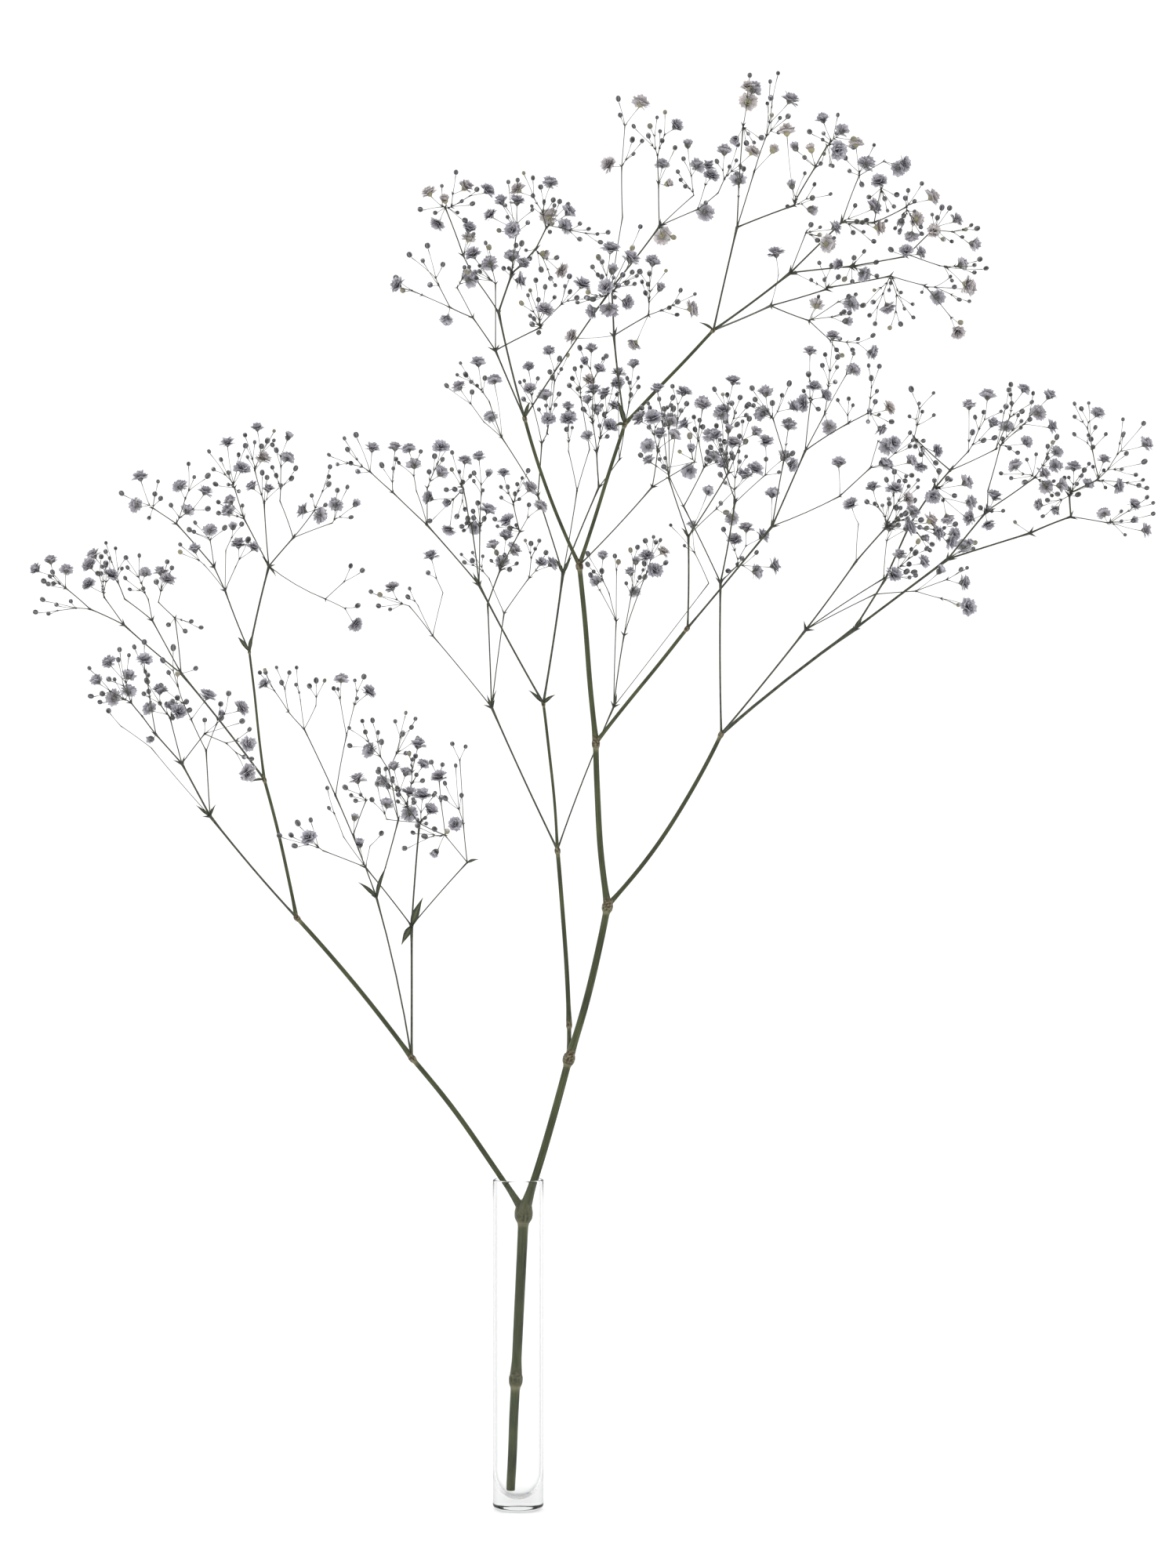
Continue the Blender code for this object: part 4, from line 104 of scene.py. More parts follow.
# knot: (the knot it grows from, column, row, depth behind the tube in millimetres before DEPTH_SCALE)
KNOTS = {
    "cut_end": (None, 651, 1903, 0),
    "lower_knot": ("cut_end", 658, 1757, 0),
    "first_fork": ("lower_knot", 668, 1546, 0),
    "left_1": ("first_fork", 525, 1349, -9),
    "left_2": ("left_1", 378, 1170, -30),
    "left_3": ("left_2", 337, 994, -18),
    "left_4": ("left_3", 318, 831, 5),
    "right_1": ("first_fork", 726, 1349, 4),
    "right_2": ("right_1", 775, 1155, 2),
    "right_3": ("right_2", 760, 947, -8),
    "right_4": ("right_3", 739, 721, -12),
    "right_5": ("right_4", 797, 541, -22),
    "right_6": ("right_5", 910, 421, -12),
    "right_7": ("right_4", 669, 533, -22),
    "inner_1": ("right_1", 726, 1307, 12),
    "inner_2": ("inner_1", 711, 1084, 30),
    "inner_3": ("inner_2", 693, 897, 18),
    "outer_1": ("right_2", 920, 936, 16),
    "outer_2": ("right_3", 877, 801, -34),
    # far left
    "far_left": ("left_3", 231, 859, 0),
    "far_left_a": ("far_left", 158, 797, -14),
    "far_left_a1": ("far_left_a", 115, 777, -26),
    "far_left_a2": ("far_left_a", 133, 762, -2),
    "far_left_b": ("far_left", 194, 791, 14),
    "far_left_b1": ("far_left_b", 159, 764, 26),
    "far_left_b2": ("far_left_b", 189, 764, 10),
    "far_left_c": ("far_left", 223, 788, -16),
    "far_left_c1": ("far_left_c", 202, 768, -24),
    # low left
    "low_left": ("left_2", 268, 1041, -66),
    "low_left_a": ("low_left", 193, 954, -86),
    "low_left_a1": ("low_left_a", 154, 926, -90),
    "low_left_b": ("low_left", 232, 974, -60),
    "low_left_b1": ("low_left_b", 199, 937, -68),
    "low_left_b2": ("low_left_b1", 181, 913, -74),
    "low_left_b3": ("low_left_b", 217, 916, -48),
    "low_left_b4": ("low_left_b", 261, 936, -46),
    "low_left_c": ("low_left", 263, 958, -84),
    "low_left_c1": ("low_left_c", 244, 918, -92),
    "low_left_c2": ("low_left_c", 276, 924, -78),
    # left, upper pair
    "left_a": ("left_4", 287, 753, -18),
    "left_a1": ("left_a", 273, 723, -28),
    "left_a2": ("left_a1", 225, 668, -38),
    "left_a3": ("left_a2", 195, 648, -46),
    "left_a4": ("left_a1", 268, 689, -22),
    "left_a5": ("left_a", 260, 720, -48),
    "left_a6": ("left_a", 288, 702, -2),
    "left_a7": ("left_a", 301, 722, -12),
    "left_b": ("left_4", 343, 722, 36),
    "left_b1": ("left_b", 311, 661, 24),
    "left_b2": ("left_b1", 299, 622, 16),
    "left_b3": ("left_b", 337, 642, 44),
    "left_b4": ("left_b3", 325, 600, 52),
    "left_b5": ("left_b", 374, 686, 46),
    "left_b6": ("left_b5", 357, 639, 62),
    "left_b7": ("left_b5", 401, 651, 34),
    "left_b8": ("left_b5", 424, 667, 58),
    "left_b9": ("left_b", 415, 764, 8),
    "left_b10": ("left_b9", 439, 742, -4),
    "left_b11": ("left_b9", 440, 776, 14),
    # between the two limbs
    "tall_front": ("left_1", 480, 1144, 34),
    "tall_front_a": ("tall_front", 428, 1015, 56),
    "tall_front_b": ("tall_front_a", 388, 930, 68),
    "tall_front_c": ("tall_front_b", 368, 908, 76),
    "tall_front_d": ("tall_front_b", 383, 892, 60),
    "tall_front_e": ("tall_front_b", 403, 900, 50),
    "tall_front_f": ("tall_front_a", 442, 938, 42),
    "tall_front_g": ("tall_front_f", 452, 899, 34),
    "tall_front_h": ("tall_front", 508, 1046, 42),
    "tall_front_i": ("tall_front_h", 496, 982, 36),
    "low_front": ("left_1", 525, 1181, -30),
    "low_front_a": ("low_front", 466, 1106, -48),
    "low_front_b": ("low_front_a", 412, 1085, -60),
    "low_front_c": ("low_front_a", 438, 1067, -70),
    "low_front_d": ("low_front_a", 472, 1079, -36),
    "low_front_e": ("low_front_a", 451, 1064, -46),
    "low_front_f": ("low_front_e", 467, 1021, -42),
    "low_front_g": ("low_front", 535, 1050, -22),
    "low_front_h": ("low_front_g", 493, 1045, -34),
    "low_front_i": ("low_front_g", 519, 1029, -14),
    "low_front_j": ("low_front_g", 567, 1065, -34),
    "low_front_k": ("low_front", 596, 1100, -2),
    "low_front_l": ("low_front_k", 591, 1051, 8),
    "low_front_m": ("low_front_k", 568, 1066, -8),
    # middle, left of the tall limb
    "inner_left": ("inner_2", 627, 902, 54),
    "inner_left_a": ("inner_left", 552, 811, 64),
    "inner_left_b": ("inner_left_a", 565, 756, 72),
    "inner_left_c": ("inner_left_a", 522, 773, 54),
    "inner_left_d": ("inner_left_a", 533, 772, 76),
    "inner_left_e": ("inner_left", 622, 770, 52),
    "inner_left_f": ("inner_left_e", 638, 727, 46),
    "inner_left_g": ("inner_left_f", 663, 678, 34),
    "inner_left_h": ("inner_left_g", 655, 644, 30),
    "inner_left_i": ("inner_left", 643, 782, 84),
    "inner_left_j": ("inner_left_i", 675, 737, 94),
    "inner_left_k": ("inner_left_i", 624, 738, 98),
    "inner_mid": ("inner_3", 611, 746, -16),
    "inner_mid_a": ("inner_mid", 545, 670, -30),
    "inner_mid_b": ("inner_mid_a", 501, 628, -44),
    "inner_mid_c": ("inner_mid_a", 531, 626, -18),
    "inner_mid_d": ("inner_mid_a", 545, 622, -36),
    "inner_mid_e": ("inner_mid", 601, 668, -8),
    "inner_mid_f": ("inner_mid_e", 591, 624, -16),
    "inner_mid_g": ("inner_mid", 612, 672, -24),
    "inner_mid_h": ("inner_mid_g", 614, 630, -34),
    "inner_right": ("inner_3", 718, 732, 46),
    "inner_right_a": ("inner_right", 686, 632, 62),
    "inner_right_b": ("inner_right_a", 640, 558, 80),
    "inner_right_c": ("inner_right_b", 617, 538, 90),
    "inner_right_d": ("inner_right_b", 624, 512, 76),
    "inner_right_e": ("inner_right_a", 691, 565, 52),
    "inner_right_f": ("inner_right_e", 698, 553, 60),
    "inner_right_g": ("inner_right", 736, 626, 74),
    "inner_right_h": ("inner_right_g", 725, 575, 84),
    "inner_right_i": ("inner_right_g", 752, 573, 84),
    "inner_right_j": ("inner_right", 764, 621, 44),
    "inner_right_k": ("inner_right_j", 761, 576, 36),
    "inner_right_l": ("inner_right_k", 756, 540, 38),
    "inner_right_m": ("inner_right_j", 790, 586, 54),
    "behind": ("inner_2", 783, 901, 62),
    "behind_a": ("behind", 786, 792, 62),
    "behind_b": ("behind_a", 777, 757, 56),
    "behind_c": ("behind", 796, 810, 84),
    "behind_d": ("behind", 904, 744, 56),
    "behind_e": ("behind_d", 886, 705, 62),
    # top left
    "top_left": ("right_7", 632, 447, -44),
    "top_left_a": ("top_left", 603, 405, -52),
    "top_left_b": ("top_left_a", 574, 392, -62),
    "top_left_c": ("top_left_a", 583, 367, -44),
    "top_left_d": ("top_left", 632, 362, -48),
    "top_left_e": ("top_left", 689, 418, -34),
    "top_left_f": ("top_left_e", 716, 388, -30),
    "top_back": ("right_7", 636, 398, 12),
    "top_back_a": ("top_back", 606, 355, 16),
    "top_back_b": ("top_back_a", 591, 326, 10),
    "top_back_c": ("top_back_b", 568, 265, 4),
    "top_back_d": ("top_back", 652, 352, 16),
    "top_back_e": ("top_back_d", 659, 295, 8),
    "top_back_f": ("top_back_d", 683, 318, 30),
    "top_back_g": ("top_back_f", 697, 290, 36),
    "top_near": ("right_7", 776, 374, -66),
    "top_mid": ("right_5", 783, 428, -10),
    "top_mid_a": ("top_mid", 780, 367, -4),
    "top_mid_b": ("top_mid_a", 794, 277, -10),
    "top_mid_c": ("top_mid_b", 793, 212, -18),
    "top_mid_d": ("top_mid_a", 841, 289, 14),
    "top_mid_e": ("top_mid_d", 840, 234, 6),
    "top_mid_f": ("top_mid_d", 885, 249, 20),
    "top_mid_g": ("top_mid_d", 890, 267, 34),
    "top_mid_h": ("top_mid_g", 916, 246, 40),
    "top_mid_i": ("top_mid", 827, 402, 12),
    # crown
    "crown_a": ("right_6", 940, 290, -34),
    "crown_a1": ("crown_a", 948, 160, -44),
    "crown_a2": ("crown_a", 962, 219, -30),
    "crown_a3": ("crown_a", 1013, 262, -46),
    "crown_a4": ("crown_a3", 1040, 213, -50),
    "crown_a5": ("crown_a4", 1055, 186, -44),
    "crown_b": ("right_6", 1008, 348, 0),
    "crown_b1": ("crown_b", 1028, 297, -10),
    "crown_b2": ("crown_b", 1074, 283, 2),
    "crown_b3": ("crown_b2", 1096, 224, 10),
    "crown_b4": ("crown_b3", 1127, 206, 8),
    "crown_b5": ("crown_b2", 1115, 284, -4),
    "crown_b6": ("crown_b5", 1124, 240, -14),
    "crown_b7": ("crown_b5", 1156, 264, 2),
    "crown_b8": ("crown_b", 1085, 340, -8),
    "crown_b9": ("crown_b8", 1156, 327, -20),
    "crown_b10": ("crown_b9", 1189, 294, -14),
    "crown_b11": ("crown_b9", 1199, 339, -30),
    "crown_c": ("right_6", 983, 390, 34),
    "crown_c1": ("crown_c", 993, 350, 44),
    "crown_c2": ("crown_c", 1054, 369, 40),
    "crown_c3": ("crown_c2", 1136, 352, 32),
    "crown_c4": ("crown_c3", 1179, 364, 26),
    "crown_c5": ("crown_c", 1032, 409, 52),
    "crown_c6": ("crown_c5", 1069, 385, 56),
    "crown_c7": ("crown_c5", 1059, 434, 60),
    # middle right
    "mid_near": ("right_4", 832, 621, -64),
    "mid_near_a": ("mid_near", 839, 573, -72),
    "mid_near_b": ("mid_near", 886, 589, -68),
    "mid_a": ("outer_2", 878, 684, -44),
    "mid_a1": ("mid_a", 853, 610, -34),
    "mid_a2": ("mid_a", 914, 649, -64),
    "mid_a3": ("mid_a", 929, 603, -50),
    "mid_back": ("outer_1", 919, 743, 20),
    "mid_back_a": ("mid_back", 872, 646, 24),
    "mid_back_b": ("mid_back_a", 853, 606, 20),
    "mid_back_c": ("mid_back_a", 898, 596, 34),
    "mid_back_d": ("mid_back", 937, 642, 14),
    "mid_back_e": ("mid_back_d", 923, 595, 20),
    "mid_back_f": ("mid_back_d", 976, 606, 10),
    "mid_back_g": ("mid_back", 940, 722, 36),
    "mid_c": ("outer_2", 985, 671, -30),
    "mid_c1": ("mid_c", 1000, 586, -40),
    "mid_c2": ("mid_c1", 986, 534, -48),
    "mid_c3": ("mid_c", 1027, 575, -24),
    "mid_c4": ("mid_c3", 1034, 512, -34),
    "mid_c5": ("mid_c3", 1052, 528, -18),
    "mid_c6": ("mid_c3", 1082, 540, -8),
    "mid_c7": ("mid_c6", 1107, 527, -2),
    "mid_c8": ("mid_c", 1071, 633, -26),
    "mid_c9": ("mid_c8", 1110, 597, -32),
    "mid_c10": ("mid_c9", 1120, 563, -36),
    # right
    "right_near": ("outer_1", 1028, 803, -34),
    "right_near_a": ("right_near", 1092, 716, -46),
    "right_near_b": ("right_near_a", 1095, 668, -54),
    "right_near_c": ("right_near_a", 1130, 673, -62),
    "right_near_d": ("right_near", 1127, 738, -34),
    "right_near_e": ("right_near_d", 1131, 690, -36),
    "right_near_f": ("right_near", 1116, 758, -54),
    "right_near_g": ("right_near_f", 1168, 754, -60),
    "right_far": ("outer_1", 1089, 803, 44),
    "right_far_a": ("right_far", 1129, 739, 30),
    "right_far_b": ("right_far_a", 1160, 670, 14),
    "right_far_c": ("right_far_b", 1190, 625, 4),
    "right_far_d": ("right_far_c", 1212, 600, 0),
    "right_far_e": ("right_far_d", 1166, 558, -8),
    "right_far_f": ("right_far_d", 1235, 576, 8),
    "right_far_g": ("right_far_d", 1270, 573, -8),
    "right_far_h": ("right_far", 1209, 713, 58),
    "right_far_i": ("right_far_h", 1257, 654, 44),
    "right_far_j": ("right_far_i", 1260, 626, 52),
    "right_far_k": ("right_far_j", 1276, 568, 60),
    "right_far_l": ("right_far_i", 1320, 609, 36),
    "right_far_m": ("right_far_h", 1314, 680, 66),
    "right_far_n": ("right_far_m", 1366, 659, 66),
    "right_far_o": ("right_far_n", 1364, 632, 58),
    "right_far_p": ("right_far_o", 1400, 612, 50),
    "right_far_q": ("right_far_n", 1413, 667, 74),
}

# Where a stem bows to one side of the straight line from its knot below: grid steps right, and up
BOWS = {
    "left_1": (3.6, 2.7),
    "left_2": (2.6, 2.1),
    "left_3": (2.0, 0.5),
    "right_1": (2.0, -0.6),
    "right_2": (3.5, -0.9),
    "right_3": (-3.7, 0),
    "right_7": (-4.5, -1.7),
    "inner_2": (1.6, 0),
    "inner_3": (2.1, 0),
    "outer_1": (8.7, -5.8),
    "tall_front": (3.1, 0.7),
    "right_far": (-1.7, 2.1),
    "left_b9": (-1.6, -2.8),
    "mid_c8": (0.6, -1.4),
}

# stretch of the stem, by the knot at its top: diameters at its lower and upper end, in millimetres
STRETCHES = {
    "lower_knot": (4.6, 4.8),
    "first_fork": (4.9, 5.4),
    "left_1": (2.9, 2.5),
    "left_2": (2.4, 2.1),
    "left_3": (1.7, 1.6),
    "left_4": (1.3, 1.2),
    "right_1": (4.1, 3.8),
    "right_2": (3.8, 3.5),
    "right_3": (3.2, 2.9),
    "right_4": (2.7, 2.5),
    "right_5": (1.9, 1.8),
    "right_6": (1.8, 1.6),
    "right_7": (1.8, 1.7),
    "inner_1": (2.3, 2.2),
    "inner_2": (2.4, 2.2),
    "inner_3": (1.5, 1.5),
    "outer_1": (2.3, 2.1),
    "outer_2": (1.9, 1.8),
}
# How far the knots at these forks swell, in place of KNOT_SWELLING
FORK_SWELLING = {"lower_knot": 1.5, "first_fork": 1.75, "right_1": 1.7, "right_2": 1.65, "right_4": 1.6}

# Each spray has the name of its lowest knot, and takes in all that stands above it
SPRAYS = (
    "far_left", "low_left", "left_a", "left_b", "tall_front", "low_front", "inner_left", "inner_mid",
    "inner_right", "behind", "top_left", "top_back", "top_near", "top_mid", "crown_a", "crown_b",
    "crown_c", "mid_near", "mid_a", "mid_back", "mid_c", "right_near", "right_far",
)

# tuft: (knot, column, row, half width, half height, blooms, buds)
TUFTS = (
    ("far_left_a1", 66, 773, 25, 15, 0, 4),
    ("far_left_a1", 66, 727, 28, 20, 3, 4),
    ("far_left_a2", 120, 732, 32, 24, 4, 4),
    ("far_left_b1", 135, 712, 27, 22, 1, 8),
    ("far_left_b2", 174, 732, 20, 28, 1, 5),
    ("far_left_c1", 210, 733, 16, 18, 2, 2),
    ("far_left_c", 236, 798, 26, 10, 0, 3),
    ("far_left", 250, 850, 7, 7, 0, 1),
    ("low_left_a1", 143, 905, 7, 7, 0, 1),
    ("low_left_b2", 143, 864, 31, 36, 5, 7),
    ("low_left_b1", 180, 852, 18, 32, 1, 5),
    ("low_left_b1", 191, 941, 9, 9, 1, 0),
    ("low_left_b3", 196, 892, 19, 24, 3, 3),
    ("low_left_b3", 226, 904, 16, 16, 2, 3),
    ("low_left_c1", 220, 862, 16, 31, 0, 5),
    ("low_left_c1", 263, 887, 9, 9, 1, 0),
    ("low_left_c2", 298, 896, 22, 18, 1, 3),
    ("low_left_b4", 282, 918, 26, 7, 0, 3),
    ("low_left_b4", 318, 964, 12, 30, 2, 2),
    ("left_a3", 180, 630, 26, 36, 2, 4),
    ("left_a2", 242, 628, 28, 33, 3, 4),
    ("left_a4", 258, 674, 28, 10, 1, 3),
    ("left_a5", 243, 698, 18, 12, 1, 1),
    ("left_a6", 296, 670, 14, 9, 1, 1),
    ("left_a7", 316, 694, 22, 14, 2, 1),
    ("left_b1", 292, 646, 18, 16, 3, 2),
    ("left_b2", 290, 593, 30, 36, 2, 7),
    ("left_b4", 330, 562, 22, 30, 2, 6),
    ("left_b3", 334, 618, 24, 16, 2, 2),
    ("left_b6", 363, 582, 19, 36, 2, 5),
    ("left_b7", 398, 648, 22, 20, 2, 2),
    ("left_b7", 421, 611, 7, 17, 0, 3),
    ("left_b8", 442, 641, 26, 21, 2, 3),
    ("left_b10", 458, 723, 17, 7, 0, 2),
    ("left_b11", 454, 788, 9, 18, 1, 1),
    ("tall_front_c", 336, 866, 10, 18, 1, 2),
    ("tall_front_c", 360, 860, 12, 16, 0, 3),
    ("tall_front_d", 378, 862, 8, 14, 0, 2),
    ("tall_front_e", 404, 871, 16, 7, 0, 2),
    ("tall_front_f", 432, 868, 13, 16, 1, 2),
    ("tall_front_g", 465, 878, 17, 18, 1, 3),
    ("tall_front_i", 466, 942, 24, 26, 1, 6),
    ("tall_front_i", 516, 934, 20, 28, 0, 6),
    ("tall_front_h", 488, 990, 9, 16, 1, 1),
    ("low_front_b", 387, 1064, 30, 18, 1, 4),
    ("low_front_c", 414, 1021, 9, 18, 0, 2),
    ("low_front_d", 484, 1062, 7, 7, 0, 1),
    ("low_front_e", 451, 1043, 9, 9, 1, 0),
    ("low_front_f", 452, 1003, 14, 21, 1, 3),
    ("low_front_a", 460, 1075, 9, 9, 1, 0),
    ("low_front_h", 488, 1018, 16, 20, 2, 2),
    ("low_front_i", 520, 1020, 14, 22, 2, 3),
    ("low_front_i", 504, 986, 22, 21, 2, 5),
    ("low_front_i", 534, 970, 16, 28, 2, 5),
    ("low_front_g", 541, 1026, 18, 25, 2, 4),
    ("low_front_j", 546, 1073, 32, 25, 1, 5),
    ("low_front_m", 557, 994, 14, 26, 2, 3),
    ("low_front_l", 578, 1004, 14, 34, 0, 3),
    ("low_front_l", 578, 952, 18, 7, 0, 2),
    ("low_front_l", 581, 1050, 9, 10, 1, 1),
    ("inner_left_c", 491, 756, 20, 23, 1, 3),
    ("inner_left_d", 520, 752, 7, 13, 0, 2),
    ("inner_left_b", 549, 718, 13, 19, 2, 1),
    ("inner_left_f", 642, 702, 22, 28, 5, 4),
    ("inner_left_h", 641, 618, 10, 26, 1, 3),
    ("inner_left_h", 670, 621, 18, 23, 1, 4),
    ("inner_left_g", 686, 641, 14, 15, 2, 1),
    ("inner_left_g", 645, 666, 16, 12, 1, 3),
    ("inner_left_j", 698, 716, 18, 14, 2, 1),
    ("inner_left_j", 680, 694, 14, 10, 0, 3),
    ("inner_left_k", 601, 712, 19, 10, 0, 4),
    ("inner_mid_b", 453, 577, 31, 24, 1, 6),
    ("inner_mid_b", 498, 578, 15, 24, 1, 3),
    ("inner_mid_c", 525, 584, 18, 20, 2, 2),
    ("inner_mid_d", 558, 594, 14, 20, 1, 2),
    ("inner_mid_d", 563, 571, 11, 9, 1, 1),
    ("inner_mid_f", 588, 594, 16, 25, 1, 4),
    ("inner_mid_h", 616, 598, 16, 28, 2, 3),
    ("inner_mid_f", 564, 648, 28, 36, 3, 5),
    ("inner_mid_e", 600, 672, 14, 12, 1, 3),
    ("inner_mid_g", 616, 654, 16, 16, 2, 3),
    ("inner_right_c", 585, 497, 21, 15, 2, 1),
    ("inner_right_d", 602, 474, 22, 23, 1, 5),
    ("inner_right_b", 630, 482, 9, 9, 1, 0),
    ("inner_right_b", 625, 530, 9, 9, 1, 0),
    ("inner_right_e", 673, 484, 16, 28, 2, 3),
    ("inner_right_f", 698, 512, 17, 36, 2, 4),
    ("inner_right_f", 708, 456, 18, 24, 2, 3),
    ("inner_right_h", 726, 528, 10, 23, 3, 1),
    ("inner_right_i", 740, 482, 22, 19, 1, 4),
    ("inner_right_l", 756, 458, 24, 22, 3, 2),
    ("inner_right_l", 756, 512, 16, 24, 4, 3),
    ("inner_right_k", 776, 522, 18, 34, 3, 6),
    ("inner_right_m", 788, 479, 10, 23, 2, 0),
    ("inner_right_m", 808, 481, 12, 32, 1, 4),
    ("inner_right_k", 750, 554, 9, 9, 1, 0),
    ("behind_b", 762, 714, 18, 21, 1, 3),
    ("behind_a", 760, 740, 13, 10, 1, 1),
    ("behind_a", 786, 715, 7, 10, 0, 2),
    ("behind_c", 810, 730, 16, 36, 4, 5),
    ("behind_c", 835, 710, 20, 26, 4, 5),
    ("behind_e", 871, 674, 21, 25, 2, 2),
    ("top_left_b", 508, 364, 9, 14, 1, 2),
    ("top_left_b", 542, 340, 22, 30, 0, 4),
    ("top_left_b", 568, 405, 9, 9, 1, 0),
    ("top_left_c", 597, 352, 9, 16, 1, 2),
    ("top_left_d", 604, 332, 12, 22, 1, 3),
    ("top_left_d", 623, 334, 9, 28, 2, 2),
    ("top_left_e", 688, 389, 22, 31, 1, 9),
    ("top_left_f", 736, 367, 16, 18, 1, 4),
    ("top_back_c", 554, 262, 23, 34, 3, 2),
    ("top_back_c", 589, 248, 16, 32, 1, 4),
    ("top_back_b", 598, 298, 14, 14, 2, 1),
    ("top_back_c", 619, 244, 13, 9, 1, 1),
    ("top_back_e", 644, 265, 33, 36, 4, 6),
    ("top_back_g", 682, 240, 31, 24, 2, 6),
    ("top_back_g", 712, 278, 26, 24, 3, 4),
    ("top_back_d", 658, 336, 18, 28, 3, 4),
    ("top_back_f", 686, 326, 16, 24, 2, 3),
    ("top_back_f", 710, 344, 16, 20, 2, 3),
    ("top_back_g", 755, 296, 24, 17, 0, 5),
    ("top_near", 775, 340, 19, 34, 3, 6),
    ("top_near", 800, 344, 18, 24, 1, 4),
    ("top_near", 774, 387, 34, 20, 3, 5),
    ("top_mid_c", 806, 134, 20, 20, 1, 2),
    ("top_mid_c", 776, 200, 9, 18, 2, 0),
    ("top_mid_c", 812, 186, 10, 15, 0, 3),
    ("top_mid_e", 842, 161, 32, 21, 1, 6),
    ("top_mid_e", 848, 210, 18, 34, 3, 1),
    ("top_mid_f", 880, 204, 20, 36, 2, 4),
    ("top_mid_g", 902, 218, 15, 20, 3, 0),
    ("top_mid_h", 942, 199, 30, 20, 2, 4),
    ("top_mid_g", 900, 267, 9, 11, 1, 1),
    ("top_mid_d", 848, 299, 14, 9, 1, 1),
    ("top_mid_a", 809, 305, 14, 21, 0, 2),
    ("top_mid_i", 835, 353, 19, 28, 2, 5),
    ("top_mid_i", 872, 387, 21, 20, 1, 4),
    ("top_mid_i", 809, 441, 9, 9, 1, 0),
    ("top_mid", 729, 429, 9, 9, 1, 0),
    ("crown_a1", 956, 118, 14, 22, 4, 1),
    ("crown_a1", 948, 177, 23, 9, 1, 3),
    ("crown_a", 942, 224, 10, 14, 1, 2),
    ("crown_a2", 990, 132, 25, 36, 1, 6),
    ("crown_a2", 987, 188, 9, 9, 1, 0),
    ("crown_a4", 1023, 191, 19, 15, 3, 1),
    ("crown_a5", 1060, 177, 28, 36, 3, 9),
    ("crown_a3", 1028, 242, 32, 32, 2, 4),
    ("crown_a3", 1002, 171, 9, 9, 1, 0),
    ("crown_b1", 1054, 292, 21, 14, 1, 3),
    ("crown_b1", 1054, 309, 14, 10, 1, 2),
    ("crown_b3", 1098, 201, 23, 29, 2, 3),
    ("crown_b4", 1146, 211, 14, 9, 2, 0),
    ("crown_b2", 1109, 282, 24, 28, 2, 7),
    ("crown_b6", 1127, 250, 20, 22, 2, 5),
    ("crown_b7", 1174, 250, 26, 20, 2, 4),
    ("crown_b7", 1162, 287, 21, 22, 4, 5),
    ("crown_b10", 1204, 287, 24, 28, 3, 5),
    ("crown_b10", 1238, 304, 14, 18, 1, 3),
    ("crown_b8", 1092, 340, 32, 20, 2, 5),
    ("crown_b9", 1156, 323, 26, 9, 2, 1),
    ("crown_b11", 1236, 349, 22, 24, 2, 4),
    ("crown_c1", 991, 321, 9, 9, 1, 0),
    ("crown_c2", 1044, 348, 29, 16, 0, 5),
    ("crown_c6", 1086, 384, 10, 12, 1, 2),
    ("crown_c5", 1042, 386, 10, 9, 1, 1),
    ("crown_c5", 1080, 406, 12, 12, 1, 2),
    ("crown_c4", 1212, 370, 36, 20, 2, 4),
    ("crown_c4", 1220, 420, 10, 14, 1, 1),
    ("crown_c3", 1136, 388, 36, 30, 1, 11),
    ("crown_c7", 1108, 442, 24, 16, 1, 3),
    ("crown_c7", 1072, 444, 8, 14, 0, 3),
    ("mid_near_a", 825, 532, 21, 14, 2, 3),
    ("mid_near_a", 827, 567, 9, 9, 1, 0),
    ("mid_near_a", 852, 554, 18, 14, 3, 1),
    ("mid_near_b", 867, 599, 21, 14, 2, 1),
    ("mid_near_b", 877, 569, 14, 18, 1, 2),
    ("mid_near_b", 896, 518, 9, 14, 2, 0),
    ("mid_a1", 839, 508, 19, 20, 1, 4),
    ("mid_a1", 854, 531, 12, 15, 1, 3),
    ("mid_a1", 868, 506, 15, 20, 2, 2),
    ("mid_a3", 930, 560, 14, 22, 2, 5),
    ("mid_a3", 954, 548, 18, 16, 2, 3),
    ("mid_a3", 910, 556, 12, 15, 2, 2),
    ("mid_a2", 961, 599, 9, 9, 1, 0),
    ("mid_a2", 920, 646, 7, 8, 0, 2),
    ("mid_a", 902, 625, 9, 9, 1, 0),
    ("mid_back_b", 832, 584, 17, 12, 1, 3),
    ("mid_back_c", 909, 583, 13, 12, 1, 3),
    ("mid_back_c", 881, 541, 17, 11, 1, 3),
    ("mid_back_e", 921, 524, 9, 11, 2, 0),
    ("mid_back_e", 935, 510, 25, 33, 1, 8),
    ("mid_back_d", 937, 598, 22, 24, 2, 5),
    ("mid_back_f", 992, 586, 17, 20, 1, 2),
    ("mid_back_f", 976, 564, 12, 9, 2, 0),
    ("mid_back_d", 933, 660, 11, 9, 1, 1),
    ("mid_back_g", 950, 682, 36, 22, 3, 1),
    ("mid_back_g", 959, 719, 36, 20, 2, 4),
    ("mid_c2", 971, 514, 18, 26, 2, 4),
    ("mid_c2", 1006, 509, 18, 21, 2, 2),
    ("mid_c1", 1006, 540, 9, 10, 1, 1),
    ("mid_c1", 1008, 589, 9, 12, 1, 1),
    ("mid_c", 986, 628, 9, 9, 1, 0),
    ("mid_c4", 1032, 457, 12, 21, 2, 1),
    ("mid_c4", 1042, 504, 21, 22, 3, 2),
    ("mid_c5", 1060, 456, 14, 36, 1, 4),
    ("mid_c5", 1086, 466, 12, 16, 2, 1),
    ("mid_c5", 1059, 542, 9, 9, 1, 0),
